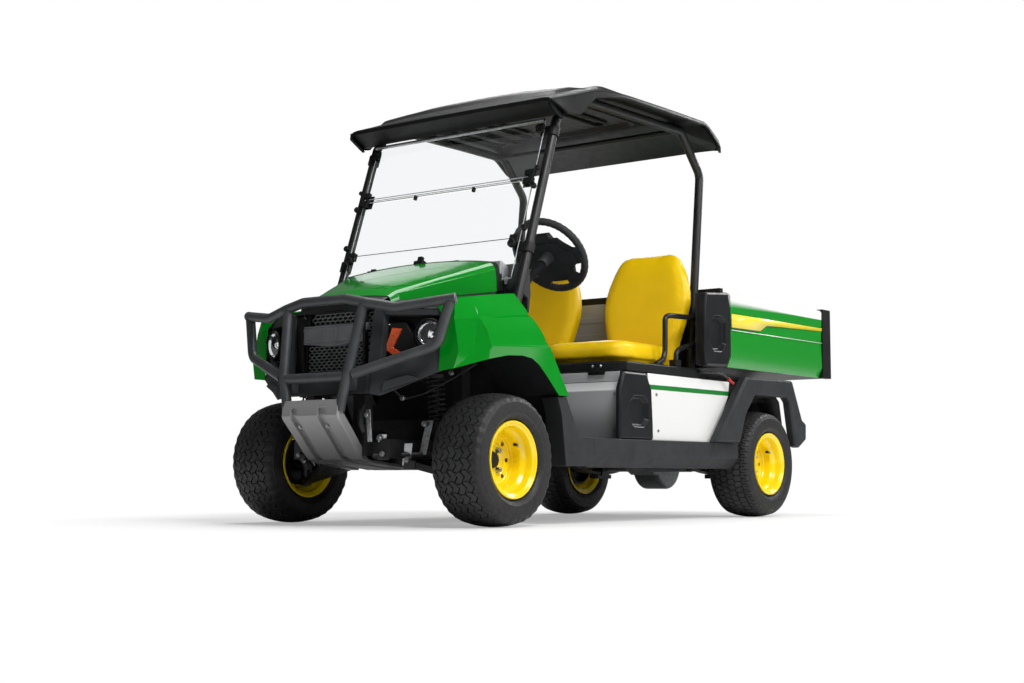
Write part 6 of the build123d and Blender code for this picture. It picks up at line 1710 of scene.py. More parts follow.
def make_glass():
    """Two-part clear windshield with its rails, light strips of painted highlight along its edges, clamps, hinges,
    knobs and foot clips.
    """
    piece = dress("windshield", FINISH["glazing"], 0.001)
    piece = dress("windshield_clamps", FINISH["panel_black"], 0.0012)

    rails = Form()
    rails.tube([af(-0.452, 0.424, 1.610), af(0.452, 0.424, 1.610)], 0, 0.0075, sides=16)
    # The light grey strips along the sheets' edges are a painted highlight for the light that the clear edges catch.
    for z, off, radius in ((1.368, 0.006, 0.0022), (1.352, 0.006, 0.0022)):
        rails.tube([on_glass(-0.425, z, off), on_glass(0.425, z, off)], 0, radius, mark=1, sides=10)
    rails.tube([on_glass(-0.425, 1.360, 0.004), on_glass(0.425, 1.360, 0.004)], 0, 0.0012, mark=2, sides=8)
    rails.tube([on_glass(-0.447, 1.112, 0.005), on_glass(0.447, 1.112, 0.005)], 0, 0.0016, mark=2, sides=8)
    rails.tube([on_glass(-0.445, 0.948, 0.002), on_glass(0.445, 0.948, 0.002)], 0, 0.0016, mark=1, sides=8)
    for side in (1, -1):
        rails.tube([on_glass(side * 0.4505, 0.955, 0.002), on_glass(side * 0.4505, 1.345, 0.002)], 0, 0.0014, mark=1,
                   sides=8)
        rails.tube([on_glass(side * 0.4505, 1.375, 0.002), on_glass(side * 0.4505, 1.598, 0.002)], 0, 0.0014, mark=1,
                   sides=8)
    piece = rails.piece("windshield_rails", [FINISH["steel"], FINISH["clear_edge"], FINISH["tube_black"]], crease=50)

    form = Form()
    for side in (1, -1):
        for z, wide, tall in ((1.382, 0.046, 0.022), (1.345, 0.046, 0.026), (1.572, 0.030, 0.036)):
            slab_on(form, on_glass(side * 0.438, z, 0.012), (1, 0, 0), GLASS_UP, (wide, tall, 0.018))
        slab_on(form, on_glass(side * 0.452, 1.363, 0.016), (1, 0, 0), GLASS_UP, (0.020, 0.060, 0.012))
        for z, radius in ((1.397, 0.0095), (1.322, 0.0125), (1.146, 0.0125)):
            knob(form, on_glass(side * 0.470, z, 0.004), GLASS_OUT, radius, 0.020)
        knob(form, on_glass(side * 0.430, 1.084, 0.005), GLASS_OUT, 0.0175, 0.024)
        slab_on(form, on_glass(side * 0.430, 1.106, 0.008), (1, 0, 0), GLASS_UP, (0.040, 0.034, 0.020))
        knob(form, on_glass(side * 0.432, 1.572, 0.020), GLASS_OUT, 0.0095, 0.008)
    for x in (-0.152, 0.159):
        slab_on(form, on_glass(x, 1.344, 0.008), (1, 0, 0), GLASS_UP, (0.012, 0.018, 0.012))
    for x, z, wide, tall in ((-0.277, 1.022, 0.056, 0.014), (0.165, 1.022, 0.056, 0.014), (-0.032, 1.038, 0.050,
                                                                                           0.030)):
        base = on_glass(x, z, 0.012)
        slab_on(form, base, (1, 0, 0), GLASS_UP, (wide, tall, 0.022))
        slab_on(form, base + GLASS_UP * tall * 0.7, (1, 0, 0), GLASS_UP, (wide * 0.45, tall * 0.9, 0.016))
    piece = form.piece("windshield_fittings", FINISH["panel_black"], crease=35)
    soften(piece, 0.0018, 2, 35)


def wheel_spot(x, y, z=0.0):
    """A point in the steering wheel's plane: x across, y up the rim, z along its shaft toward the driver."""
    up = (Vector((0, 0, 1)) - HELM_AXIS * HELM_AXIS.z).normalized()
    return HELM + HELM_AXIS.cross(up).normalized() * x + up * y + HELM_AXIS * z


PLATE = ((0.000, 0.078), (0.070, 0.078), (0.094, 0.052), (0.126, 0.026), (0.154, 0.024), (0.156, -0.046),
         (0.122, -0.048), (0.103, -0.060), (0.096, -0.086), (0.072, -0.108), (0.040, -0.120), (0.000, -0.121))


def make_helm():
    """Steering wheel: thick grip, shield-shaped plate, two lower spokes, a top pod; and its column."""
    form = Form()
    rows = []
    steps = 168
    for k in range(steps):
        t = math.tau * k / steps
        grip = 0.0156 + 0.0006 * math.cos(t * 42)
        ring = []
        for j in range(18):
            s = math.tau * j / 18
            reach = 0.1615 + grip * math.cos(s)
            ring.append(wheel_spot(reach * math.cos(t), reach * math.sin(t), grip * math.sin(s)))
        rows.append(ring)
    form.grid(rows + rows[:1], loop=True)
    plate = list(PLATE) + [(-x, y) for x, y in reversed(PLATE[1:-1])]
    form.prism([wheel_spot(x, y, -0.013) for x, y in plate], HELM_AXIS * 0.014)
    inner = [(x * 0.80, y * 0.84 - 0.004) for x, y in plate]
    form.prism([wheel_spot(x, y, -0.019) for x, y in inner], HELM_AXIS * 0.008)
    for side in (1, -1):
        form.prism([wheel_spot(side * x, y, -0.012) for x, y in (
            (0.040, -0.114), (0.088, -0.086), (0.122, -0.112), (0.104, -0.130), (0.068, -0.148), (0.052, -0.146),
        )], HELM_AXIS * 0.015)
    form.prism([wheel_spot(x, y, -0.014) for x, y in ((-0.046, 0.070), (0.046, 0.070), (0.034, 0.100), (-0.034,
                                                                                                        0.100))],
               HELM_AXIS * 0.026)
    form.lathe([(-0.074, 0.0), (-0.074, 0.0200), (-0.070, 0.0225), (-0.040, 0.0240), (-0.018, 0.0300), (-0.010, 0.036),
                (-0.010, 0.0)], HELM, HELM_AXIS, sides=48, loop=False)
    form.lathe([(-0.004, 0.0), (-0.004, 0.050), (0.004, 0.050), (0.008, 0.044), (0.010, 0.030), (0.0105, 0.0)],
               HELM, HELM_AXIS, sides=48, loop=False)
    for x, y in ((0.010, 0.030), (0.052, -0.012), (0.058, -0.062), (0.034, 0.052)):
        for side in (1, -1):
            form.lathe([(-0.0185, 0.0), (-0.0185, 0.0062), (-0.0200, 0.0082), (-0.0195, 0.0096), (-0.0175, 0.0100)],
                       wheel_spot(side * x, y), HELM_AXIS, mark=1, sides=20, loop=False)
    wheel = form.piece("steering_wheel_moulded", [FINISH["charcoal"], FINISH["tube_black"]], "helm", crease=35)
    soften(wheel, 0.0022, 2, 40)
    stand_for(wheel, "trim_black", "steering_wheel")
    column = Form()
    column.lathe([(-0.430, 0.0), (-0.430, 0.0165), (-0.082, 0.0165), (-0.080, 0.0150), (-0.080, 0.0)], HELM, HELM_AXIS,
                 sides=32, loop=False)
    column.lathe([(-0.425, 0.0), (-0.425, 0.036), (-0.345, 0.033), (-0.300, 0.026), (-0.292, 0.0)], HELM, HELM_AXIS,
                 sides=32, loop=False)
    stand_for(column.piece("steering_shaft_cover", FINISH["panel_black"], crease=40), "trim_black", "steering_column")
    dress("pedals", FINISH["rubber_mat"], 0.003)


DASH = ((0.236, 0.905), (0.246, 1.004), (0.262, 1.014), (0.292, 1.002), (0.316, 0.985), (0.322, 0.900), (0.310, 0.8205),
        (0.300, 0.8205), (0.300, 0.880))
DASH_END = ((0.196, 1.021), (0.212, 1.020), (0.272, 0.990), (0.276, 0.937), (0.215, 0.929), (0.188, 0.930))


def make_dash():
    """Moulded dash under the steering wheel, and its light grey end caps behind the cowl."""
    form = Form()
    form.prism([af(-0.4595, y, z) for y, z in DASH], (0.919, 0, 0))
    piece = form.piece("dash_moulded", FINISH["charcoal"])
    soften(piece, 0.007, 3)
    stand_for(piece, "trim_charcoal", "dash")
    caps = Form()
    for side in (1, -1):
        caps.prism([af(side * 0.404, y, z) for y, z in DASH_END], (side * -0.060, 0, 0))
        caps.prism([af(side * 0.408, y, z) for y, z in ((0.204, 1.004), (0.218, 1.002), (0.262, 0.980), (0.264, 0.947),
                                                        (0.218, 0.942), (0.204, 0.944))], (side * -0.010, 0, 0))
    piece = caps.piece("dash_end_caps", FINISH["light_grey"])
    soften(piece, 0.004, 3)


# ---------------------------------------------------------------- mouldings with a recess
def pierced(form, outline, recess, outer, face, floor, back, inset=0.008, side=1):
    """A moulded cover: an outline and a recess of eight (y, z) points each, with turned edges and a sunk floor."""
    centre = [sum(p[k] for p in outline) / 8 for k in (0, 1)]

    def ring(points, x, shrink=0.0):
        out = []
        for y, z in points:
            to = Vector((centre[0] - y, centre[1] - z))
            move = to.normalized() * shrink * 1.3
            out.append(af(side * x, y + move.x, z + move.y))
        return out

    rings = [ring(outline, back), ring(outline, outer), ring(outline, face, inset)]
    rings += [ring(recess, face), ring(recess, floor, 0.010)]
    form.grid(rings, loop=True)
    form.add(rings[-1], [tuple(range(8))])
    form.add(rings[0], [tuple(range(8))])


CORNER = ((0.7405, 0.400), (0.742, 0.545), (0.776, 0.616), (0.950, 0.616), (0.990, 0.552), (1.000, 0.400),
          (1.000, 0.338), (0.7405, 0.338))
CORNER_RECESS = ((0.812, 0.420), (0.812, 0.488), (0.850, 0.519), (0.922, 0.519), (0.960, 0.492), (0.960, 0.420),
                 (0.928, 0.389), (0.846, 0.389))
BED_MOULD = ((1.366, 0.730), (1.366, 0.930), (1.382, 0.996), (1.578, 1.012), (1.604, 0.925), (1.602, 0.735),
             (1.566, 0.676), (1.384, 0.670))
BED_RECESS = ((1.411, 0.770), (1.413, 0.866), (1.447, 0.897), (1.514, 0.902), (1.555, 0.878), (1.553, 0.773),
              (1.510, 0.740), (1.444, 0.738))


def make_base(sizes):
    """Silver pedestal front, white side panels with their band, corner mouldings and the seat tray."""
    dress("side_panels", FINISH["white"], 0.002, keep=lambda c: abs(c.x) > 0.56)
    form = Form()
    profile = ((0.790, 0.340), (0.784, 0.344), (0.782, 0.538), (0.7845, 0.543), (0.7905, 0.576), (0.7900, 0.580),
               (0.7885, 0.616), (0.7940, 0.618), (0.7960, 0.340))
    form.prism([af(-0.562, y, z) for y, z in profile], (1.124, 0, 0))
    piece = form.piece("pedestal_front", FINISH["silver"], crease=20)
    soften(piece, 0.0015, 2, 20)
    corners = Form()
    for side in (1, -1):
        pierced(corners, CORNER, CORNER_RECESS, 0.5900, 0.5970, 0.5820, 0.5760, side=side)
    piece = corners.piece("corner_covers", FINISH["moulding"], crease=28)
    soften(piece, 0.004, 3, 28)
    stand_for(piece, "trim_charcoal", "corner_mouldings")
    dress("seat_base", FINISH["panel_black"], 0.004, 3)
    bracket = Form()
    for side in (1, -1):
        bracket.prism([af(side * x, 0.780, z) for x, z in ((0.410, 0.618), (0.500, 0.618), (0.494, 0.604), (0.416,
                                                                                                            0.604))],
                      (0, 0.004, 0))
    piece = bracket.piece("tray_brackets", FINISH["tube_black"])
    soften(piece, 0.001, 2)
    spots = []
    for side in (1, -1):
        for x, z in ((0.546, 0.524), (0.541, 0.380)):
            spots.append((af(side * x, 0.7822, z), (0, -1, 0)))
        for y, z in ((1.046, 0.530), (1.058, 0.378)):
            spots.append((af(side * 0.5812, y, z), (side, 0, 0)))
    bolts("panel_bolts", spots, sizes.across_flats, 0.50)
    spots = [(af(side * x, 0.7705, 0.640), (0, -1, 0)) for side in (1, -1) for x in (0.444, 0.484)]
    bolts("tray_bolts", spots, sizes.across_flats * 1.1, 0.45)


# ---------------------------------------------------------------- bed
STRIPE = ((1.606, 0.918), (2.523, 0.922), (2.523, 0.908), (1.942, 0.890), (1.876, 0.860), (1.606, 0.856))


def make_bed():
    """Cargo tub with its front sheet, printed sides and stripes, corner mouldings, posts, tailgate and release lever."""
    dress("bed_tub", FINISH["panel_black"], 0.004)
    dress("bed_sides", FINISH["bed_green"], 0.006, 3)
    rear = AXLE_Y + 2.3
    dress("bed_posts", FINISH["panel_black"], 0.010, 3, keep=lambda c: c.y > rear)
    covers = Form()
    for side in (1, -1):
        pierced(covers, BED_MOULD, BED_RECESS, 0.6290, 0.6365, 0.6180, 0.6040, side=side)
        covers.prism([af(side * x, 1.392, z) for x, z in ((0.570, 0.676), (0.606, 0.676), (0.606, 0.996), (0.570,
                                                                                                           0.996))],
                     (0, 0.060, 0), 1)
    piece = covers.piece("bed_corner_covers", [FINISH["moulding"], FINISH["charcoal"]], "bed", crease=28)
    soften(piece, 0.004, 3, 28)
    dress("tailgate", FINISH["green"], 0.004)
    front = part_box("bed_tub")[0]
    plate = Form()
    plate.prism([Vector((x, front.y - 0.0060, z)) for x, z in ((-0.36, 0.700), (0.36, 0.700), (0.36, 1.000), (-0.36,
                                                                                                              1.000))],
                (0, 0.0055, 0))
    for z in (0.765, 0.845, 0.925):
        plate.prism([Vector((x, front.y - 0.0085, z + dz)) for x, dz in ((-0.34, -0.014), (0.34, -0.014), (0.34, 0.014),
                                                                       (-0.34, 0.014))], (0, 0.004, 0))
    piece = plate.piece("bed_front_sheet", FINISH["light_grey"], "bed")
    soften(piece, 0.002, 2)
    lever = Form()
    points = [af(0.577, 1.400, 0.645), af(0.604, 1.400, 0.645), af(0.608, 1.560, 0.645), af(0.613, 1.606, 0.626),
              af(0.615, 1.650, 0.606)]
    lever.tube(points[:4], 0.012, 0.0048, sides=14)
    lever.tube(points[3:], 0, 0.0062, mark=1, sides=16)
    lever.lathe([(-0.002, 0.0), (-0.002, 0.0070), (0.004, 0.0078), (0.006, 0.0062), (0.006, 0.0)], points[3],
                points[4] - points[3], mark=1, sides=16, loop=False)
    piece = lever.piece("bed_release_lever", [FINISH["tube_black"], FINISH["grip"]], crease=50)
    stand_for(piece, "grip_red", "bed_lever")
    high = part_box("bed_sides")[1]
    for side, label in ((1, "left"), (-1, "right")):
        x = side * (high.x + 0.0002)
        edge = Form()
        edge.add([af(x, y - (0.003 if y < 2 else -0.001), z + (0.0015 if z > 0.9 and y != 1.942 else -0.0035))
                  for y, z in STRIPE], [(0, 1, 2, 3, 4, 5)])
        rim = edge.piece("bed_stripe_edge_" + label, FINISH["dark_film"], "bed", facing=(side, 0, 0), closed=False)
        thicken(rim, 0.0003)
        film = Form()
        x = side * (high.x + 0.0006)
        film.add([af(x, y, z) for y, z in STRIPE], [(0, 1, 2, 3, 4, 5)])
        stripe = film.piece("bed_stripe_" + label, FINISH["yellow_film"], "bed", facing=(side, 0, 0), closed=False)
        thicken(stripe, 0.0003)
        line = Form()
        line.add([af(x, 1.606, 0.8455), af(x, 2.523, 0.8495), af(x, 2.523, 0.8465), af(x, 1.606, 0.8425)], [(0, 1,
                                                                                                             2, 3)])
        thin = line.piece("bed_line_" + label, FINISH["white_film"], "bed", facing=(side, 0, 0), closed=False)
        thicken(thin, 0.0003)
# ---------------------------------------------------------------- stage
def make_stage(settings):
    """Pale floor, soft studio light and the camera."""
    world = bpy.data.worlds.new("studio")
    world.use_nodes = True
    tree = world.node_tree
    tree.nodes.clear()
    path = add_node(tree, "ShaderNodeLightPath")
    seen = add_node(tree, "ShaderNodeMath", {"operation": "MAXIMUM"}, {
        0: path.outputs["Is Camera Ray"], 1: path.outputs["Is Transmission Ray"],
    })
    level = add_node(tree, "ShaderNodeMapRange", links={"Value": seen.outputs[0], "To Min": 0.12, "To Max": 1.0})
    sky = add_node(tree, "ShaderNodeBackground", links={"Color": (1, 1, 1, 1), "Strength": level.outputs[0]})
    add_node(tree, "ShaderNodeOutputWorld", links={0: sky.outputs[0]})
    bpy.context.scene.world = world

    floor_finish, tree, shader, place = start_finish("pale_studio_floor", 0.7)
    shader.inputs["Base Color"].default_value = linear("#f2f2f2")
    shader.inputs["Specular IOR Level"].default_value = 0.2
    path = add_node(tree, "ShaderNodeLightPath")
    glow = add_node(tree, "ShaderNodeEmission", links={"Color": (1, 1, 1, 1), "Strength": 1.02})
    reach = add_node(tree, "ShaderNodeVectorMath", {"operation": "LENGTH"}, {0: place})
    far = add_node(tree, "ShaderNodeMapRange", {"interpolation_type": "SMOOTHSTEP"}, {
        "Value": reach.outputs["Value"], "From Min": 1.4, "From Max": 2.4, "To Min": 0.35,
    })
    seen = add_node(tree, "ShaderNodeMath", {"operation": "MAXIMUM"}, {
        0: path.outputs["Is Camera Ray"], 1: path.outputs["Is Transmission Ray"],
    })
    fade = add_node(tree, "ShaderNodeMath", {"operation": "MULTIPLY"}, {0: far.outputs[0], 1: seen.outputs[0]})
    mixed = add_node(tree, "ShaderNodeMixShader", links={0: fade.outputs[0], 1: shader.outputs[0], 2: glow.outputs[0]})
    tree.links.new(mixed.outputs[0], tree.get_output_node("CYCLES").inputs["Surface"])
    form = Form()
    steps = 24
    rows = []
    for i in range(steps + 1):
        reach = 14.0 * i / steps
        rows.append([Vector((reach * math.cos(t), reach * math.sin(t), 0)) for t in
                     [math.tau * k / 48 for k in range(48)]])
    form.grid(rows, loop=True)
    mesh = bpy.data.meshes.new("studio_floor")
    mesh.from_pydata([tuple(p) for p in form.points], [], form.faces)
    mesh.materials.append(floor_finish)
    floor = bpy.data.objects.new("studio_floor", mesh)
    bpy.context.scene.collection.objects.link(floor)

    for name, spot, aim, size, power in (
        ("key_softbox", (3.9, -2.2, 4.9), (0, -0.1, 0.6), 2.4, 230),
        ("left_softbox", (5.6, 0.6, 3.0), (0, 0.3, 0.7), 2.2, 105),
        ("top_softbox", (-0.6, 0.2, 5.4), (0, 0, 0.8), 3.2, 170),
        ("rear_softbox", (-3.2, 4.4, 3.8), (0, 0, 0.8), 2.0, 55),
        ("back_softbox", (1.7, 3.6, 3.0), (0.4, -1.0, 0.7), 1.5, 75),
    ):
        lamp = bpy.data.lights.new(name, "AREA")
        lamp.shape = "DISK"
        lamp.size = size
        lamp.energy = power * settings.light
        holder = bpy.data.objects.new(name, lamp)
        holder.location = spot
        holder.rotation_euler = (Vector(aim) - Vector(spot)).to_track_quat("-Z", "Y").to_euler()
        bpy.context.scene.collection.objects.link(holder)

    camera = bpy.data.cameras.new("camera")
    camera.lens = 54.42
    camera.sensor_width = 36.0
    holder = bpy.data.objects.new("camera", camera)
    holder.location = (4.0264, -4.5244 + AXLE_Y, 0.1766)
    holder.rotation_euler = (math.radians(95.073), 0, math.radians(37.068))
    bpy.context.scene.collection.objects.link(holder)
    bpy.context.scene.camera = holder
    bpy.context.scene.view_settings.view_transform = "Standard"


# ---------------------------------------------------------------- what a user would change
class VehicleColours(bpy.types.PropertyGroup):
    """Colours of the painted and covered pieces."""

    panel_shade: bpy.props.FloatVectorProperty(
        name="Panel green, deep", description="Deeper of the two greens that the body panels drift between",
        subtype="COLOR", size=3, min=0.0, max=1.0, default=linear("#00841a")[:3],
    )
    panel_tint: bpy.props.FloatVectorProperty(
        name="Panel green, light", description="Lighter of the two greens that the body panels drift between",
        subtype="COLOR", size=3, min=0.0, max=1.0, default=linear("#008c20")[:3],
    )
    seat: bpy.props.FloatVectorProperty(
        name="Seat cover", description="Colour of the seat vinyl",
        subtype="COLOR", size=3, min=0.0, max=1.0, default=linear("#ffd300")[:3],
    )
    wheel: bpy.props.FloatVectorProperty(
        name="Rim enamel", description="Colour of the enamel on the rims",
        subtype="COLOR", size=3, min=0.0, max=1.0, default=linear("#ffdd0a")[:3],
    )
    stripe: bpy.props.FloatVectorProperty(
        name="Bed stripe", description="Colour of the wide stripe along the bed",
        subtype="COLOR", size=3, min=0.0, max=1.0, default=linear("#f3dc3c")[:3],
    )


class TyreSizes(bpy.types.PropertyGroup):
    """Sizes of the tread patterns."""

    tread_depth: bpy.props.FloatProperty(
        name="Tread depth", description="Depth of the tread's main grooves",
        default=0.0062, min=0.002, max=0.010, subtype="DISTANCE", unit="LENGTH",
    )
    groove: bpy.props.FloatProperty(
        name="Groove width", description="Width of the grooves between the front tyres' ribs",
        default=0.0054, min=0.003, max=0.010, subtype="DISTANCE", unit="LENGTH",
    )
    rib_pitches: bpy.props.IntProperty(
        name="Rib pitches", description="Saw-tooth pitches round a front tyre", default=36, min=20, max=90, subtype="UNSIGNED",
    )
    turf_pitches: bpy.props.IntProperty(
        name="Turf pitches", description="Block pitches round a rear tyre", default=54, min=20, max=90, subtype="UNSIGNED",
    )


class GuardSizes(bpy.types.PropertyGroup):
    """Size of the brush guard's tube."""

    tube_radius: bpy.props.FloatProperty(
        name="Tube radius", description="Outer radius of the brush guard's tube",
        default=0.019, min=0.012, max=0.020, subtype="DISTANCE", unit="LENGTH",
    )


class GrilleSizes(bpy.types.PropertyGroup):
    """Sizes of the grille's hexagonal mesh."""

    cell_width: bpy.props.FloatProperty(
        name="Cell width", description="Width of one hexagonal cell",
        default=0.0250, min=0.008, max=0.040, subtype="DISTANCE", unit="LENGTH",
    )
    cell_height: bpy.props.FloatProperty(
        name="Cell height", description="Height of one hexagonal cell",
        default=0.0138, min=0.006, max=0.040, subtype="DISTANCE", unit="LENGTH",
    )
    wire: bpy.props.FloatProperty(
        name="Wire radius", description="Radius of the mesh's wire",
        default=0.0024, min=0.0008, max=0.004, subtype="DISTANCE", unit="LENGTH",
    )


class SeatPads(bpy.types.PropertyGroup):
    """Fill and seams of the seats."""

    fill: bpy.props.FloatProperty(
        name="Fill", description="How far the filling may push the cover out",
        default=0.006, min=0.0, max=0.016, subtype="DISTANCE", unit="LENGTH",
    )
    seam_depth: bpy.props.FloatProperty(
        name="Seam depth", description="How far the seams draw the cover in",
        default=0.003, min=0.0, max=0.006, subtype="DISTANCE", unit="LENGTH",
    )


class BoltSizes(bpy.types.PropertyGroup):
    """Size of the hexagon bolts that hold the panels."""

    across_flats: bpy.props.FloatProperty(
        name="Across flats", description="Width across the flats of a panel bolt's head",
        default=0.008, min=0.005, max=0.016, subtype="DISTANCE", unit="LENGTH",
    )


class StageSettings(bpy.types.PropertyGroup):
    """Strength of the studio light."""

    light: bpy.props.FloatProperty(
        name="Light", description="Strength of all lamps, as a share of their usual power",
        default=1.0, min=0.1, max=4.0, subtype="FACTOR",
    )


GROUPS = {
    "vehicle_colours": VehicleColours,
    "vehicle_tyres": TyreSizes,
    "vehicle_guard": GuardSizes,
    "vehicle_grille": GrilleSizes,
    "vehicle_pads": SeatPads,
    "vehicle_bolts": BoltSizes,
    "vehicle_stage": StageSettings,
}


# ---------------------------------------------------------------- operators
class UTV_OT_finishes(bpy.types.Operator):
    """Mix every finish from the colours in the sidebar."""

    bl_idname = "utility_vehicle.finishes"
    bl_label = "Finishes"

    def execute(self, context):
        mix_finishes(context.scene.vehicle_colours)
        return {"FINISHED"}


class UTV_OT_tyres(bpy.types.Operator):
    """Make the ribbed front tyres and the turf rear tyres."""

    bl_idname = "utility_vehicle.tyres"
    bl_label = "Tyres"

    def execute(self, context):
        make_tyres(context.scene.vehicle_tyres)
        return {"FINISHED"}


class UTV_OT_rims(bpy.types.Operator):
    """Make the four pressed steel rims with their vents."""

    bl_idname = "utility_vehicle.rims"
    bl_label = "Rims"

    def execute(self, context):
        make_rims()
        return {"FINISHED"}


class UTV_OT_hubs(bpy.types.Operator):
    """Make the brake drums, caps, wheel nuts and valve stems."""

    bl_idname = "utility_vehicle.hubs"
    bl_label = "Hubs"

    def execute(self, context):
        make_hubs()
        return {"FINISHED"}


class UTV_OT_frame(bpy.types.Operator):
    """Dress the chassis rails, battery, hitch, rack and knuckles."""

    bl_idname = "utility_vehicle.frame"
    bl_label = "Frame"

    def execute(self, context):
        make_frame()
        return {"FINISHED"}


class UTV_OT_struts(bpy.types.Operator):
    """Make the front dampers and their coils."""

    bl_idname = "utility_vehicle.struts"
    bl_label = "Struts"

    def execute(self, context):
        make_struts()
        return {"FINISHED"}


class UTV_OT_drive(bpy.types.Operator):
    """Dress the rear axle, gear case and motor."""

    bl_idname = "utility_vehicle.drive"
    bl_label = "Rear drive"

    def execute(self, context):
        make_drive()
        return {"FINISHED"}


class UTV_OT_floor(bpy.types.Operator):
    """Make the footwell, the sills and the rear fenders."""

    bl_idname = "utility_vehicle.floor"
    bl_label = "Floor"

    def execute(self, context):
        make_floor()
        return {"FINISHED"}


class UTV_OT_base(bpy.types.Operator):
    """Make the pedestal, side panels, corner covers and seat tray."""

    bl_idname = "utility_vehicle.base"
    bl_label = "Seat base"

    def execute(self, context):
        make_base(context.scene.vehicle_bolts)
        return {"FINISHED"}


class UTV_OT_hood(bpy.types.Operator):
    """Make the hood, its nose trim and the cowl band."""

    bl_idname = "utility_vehicle.hood"
    bl_label = "Hood"

    def execute(self, context):
        make_hood()
        return {"FINISHED"}


class UTV_OT_fenders(bpy.types.Operator):
    """Make the front fenders and their arch liners."""

    bl_idname = "utility_vehicle.fenders"
    bl_label = "Front fenders"

    def execute(self, context):
        make_fenders()
        return {"FINISHED"}


class UTV_OT_fascia(bpy.types.Operator):
    """Make the front fascia and its lower wings."""

    bl_idname = "utility_vehicle.fascia"
    bl_label = "Fascia"

    def execute(self, context):
        make_fascia()
        return {"FINISHED"}


class UTV_OT_lamps(bpy.types.Operator):
    """Make the headlamps and the turn lenses."""

    bl_idname = "utility_vehicle.lamps"
    bl_label = "Lamps"

    def execute(self, context):
        make_lamps()
        return {"FINISHED"}


class UTV_OT_grille(bpy.types.Operator):
    """Make the grille, its cross bar and hexagonal mesh."""

    bl_idname = "utility_vehicle.grille"
    bl_label = "Grille"

    def execute(self, context):
        make_grille(context.scene.vehicle_grille)
        return {"FINISHED"}


class UTV_OT_guard(bpy.types.Operator):
    """Make the brush guard of bent tube."""

    bl_idname = "utility_vehicle.guard"
    bl_label = "Brush guard"

    def execute(self, context):
        make_guard(context.scene.vehicle_guard)
        return {"FINISHED"}


class UTV_OT_skid(bpy.types.Operator):
    """Make the skid plate with its sunk runners and bolts."""

    bl_idname = "utility_vehicle.skid"
    bl_label = "Skid plate"

    def execute(self, context):
        make_skid(context.scene.vehicle_bolts)
        return {"FINISHED"}


class UTV_OT_front_details(bpy.types.Operator):
    """Make the brackets, bolts and leads between the front arms."""

    bl_idname = "utility_vehicle.front_details"
    bl_label = "Front details"

    def execute(self, context):
        make_front_details(context.scene.vehicle_bolts)
        return {"FINISHED"}


class UTV_OT_roof(bpy.types.Operator):
    """Make the roof shell, its raised panels and the liner."""

    bl_idname = "utility_vehicle.roof"
    bl_label = "Roof"

    def execute(self, context):
        make_roof()
        return {"FINISHED"}


class UTV_OT_canopy(bpy.types.Operator):
    """Dress the canopy tubes."""

    bl_idname = "utility_vehicle.canopy"
    bl_label = "Canopy"

    def execute(self, context):
        make_canopy()
        return {"FINISHED"}


class UTV_OT_glass(bpy.types.Operator):
    """Make the windshield with its rails, clamps, knobs and clips."""

    bl_idname = "utility_vehicle.glass"
    bl_label = "Windshield"

    def execute(self, context):
        make_glass()
        return {"FINISHED"}


class UTV_OT_dash(bpy.types.Operator):
    """Make the dash and its light grey end caps."""

    bl_idname = "utility_vehicle.dash"
    bl_label = "Dash"

    def execute(self, context):
        make_dash()
        return {"FINISHED"}


class UTV_OT_helm(bpy.types.Operator):
    """Make the steering wheel, its shaft cover and the pedals."""

    bl_idname = "utility_vehicle.helm"
    bl_label = "Steering wheel"

    def execute(self, context):
        make_helm()
        return {"FINISHED"}


class UTV_OT_seats(bpy.types.Operator):
    """Make the cushions and backs as filled pads with seams."""

    bl_idname = "utility_vehicle.seats"
    bl_label = "Seats"

    def execute(self, context):
        make_seats(context.scene.vehicle_pads)
        return {"FINISHED"}


class UTV_OT_hip_rails(bpy.types.Operator):
    """Make the bent tube hip rails."""

    bl_idname = "utility_vehicle.hip_rails"
    bl_label = "Hip rails"

    def execute(self, context):
        make_hip_rails()
        return {"FINISHED"}


class UTV_OT_bed(bpy.types.Operator):
    """Make the bed, its stripes, covers, tailgate and lever."""

    bl_idname = "utility_vehicle.bed"
    bl_label = "Cargo bed"

    def execute(self, context):
        make_bed()
        return {"FINISHED"}


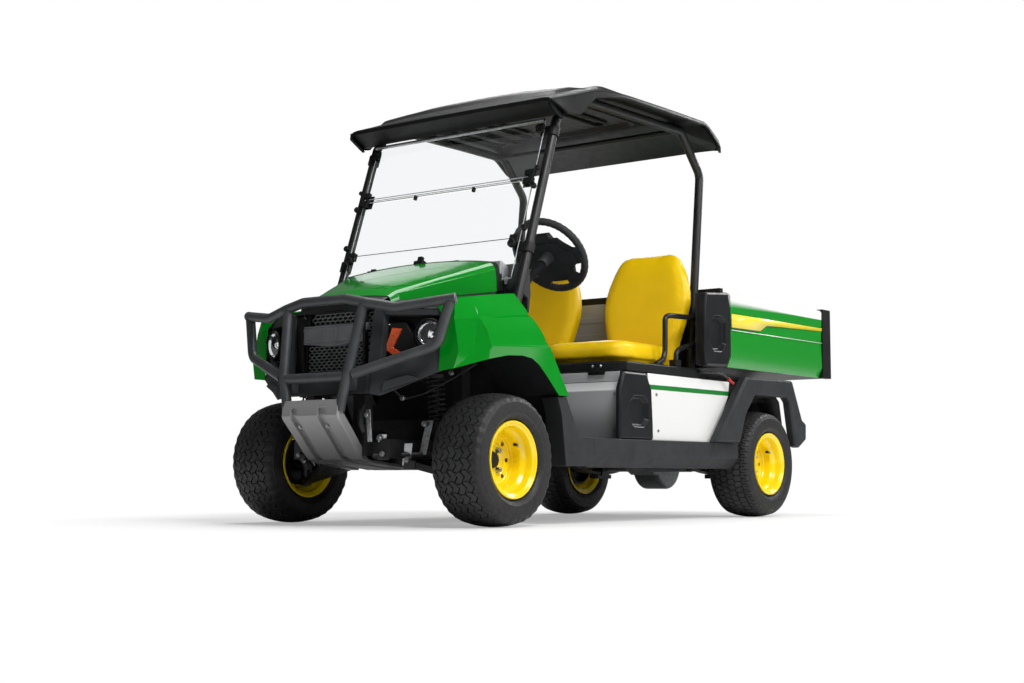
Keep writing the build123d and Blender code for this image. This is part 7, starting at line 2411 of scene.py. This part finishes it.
class UTV_OT_stage(bpy.types.Operator):
    """Make the floor, the lights and the camera."""

    bl_idname = "utility_vehicle.stage"
    bl_label = "Stage"

    def execute(self, context):
        make_stage(context.scene.vehicle_stage)
        return {"FINISHED"}


OPERATORS = (
    UTV_OT_finishes,
    UTV_OT_tyres,
    UTV_OT_rims,
    UTV_OT_hubs,
    UTV_OT_frame,
    UTV_OT_struts,
    UTV_OT_drive,
    UTV_OT_floor,
    UTV_OT_base,
    UTV_OT_hood,
    UTV_OT_fenders,
    UTV_OT_fascia,
    UTV_OT_lamps,
    UTV_OT_grille,
    UTV_OT_guard,
    UTV_OT_skid,
    UTV_OT_front_details,
    UTV_OT_roof,
    UTV_OT_canopy,
    UTV_OT_glass,
    UTV_OT_dash,
    UTV_OT_helm,
    UTV_OT_seats,
    UTV_OT_hip_rails,
    UTV_OT_bed,
    UTV_OT_stage,
)


class UTV_PT_sidebar(bpy.types.Panel):
    """Sidebar list of the vehicle's sizes, colours and steps."""

    bl_idname = "UTV_PT_sidebar"
    bl_label = "Utility Vehicle"
    bl_space_type = "VIEW_3D"
    bl_region_type = "UI"
    bl_category = "Utility Vehicle"

    def draw(self, context):
        for name, group in GROUPS.items():
            box = self.layout.box()
            for prop in group.__annotations__:
                box.prop(getattr(context.scene, name), prop)
        column = self.layout.column(align=True)
        for operator in OPERATORS:
            column.operator(operator.bl_idname)


def register():
    for part in (*GROUPS.values(), *OPERATORS, UTV_PT_sidebar):
        bpy.utils.register_class(part)
    for name, group in GROUPS.items():
        setattr(bpy.types.Scene, name, bpy.props.PointerProperty(type=group))


def unregister():
    for name in GROUPS:
        delattr(bpy.types.Scene, name)
    for part in (UTV_PT_sidebar, *reversed(OPERATORS), *reversed(GROUPS.values())):
        bpy.utils.unregister_class(part)


def main():
    """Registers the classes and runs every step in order."""
    register()
    for operator in OPERATORS:
        group, name = operator.bl_idname.split(".")
        done = getattr(getattr(bpy.ops, group), name)()
        if done != {"FINISHED"}:
            raise RuntimeError(operator.bl_label + " did not finish")


if __name__ == "__main__":
    main()
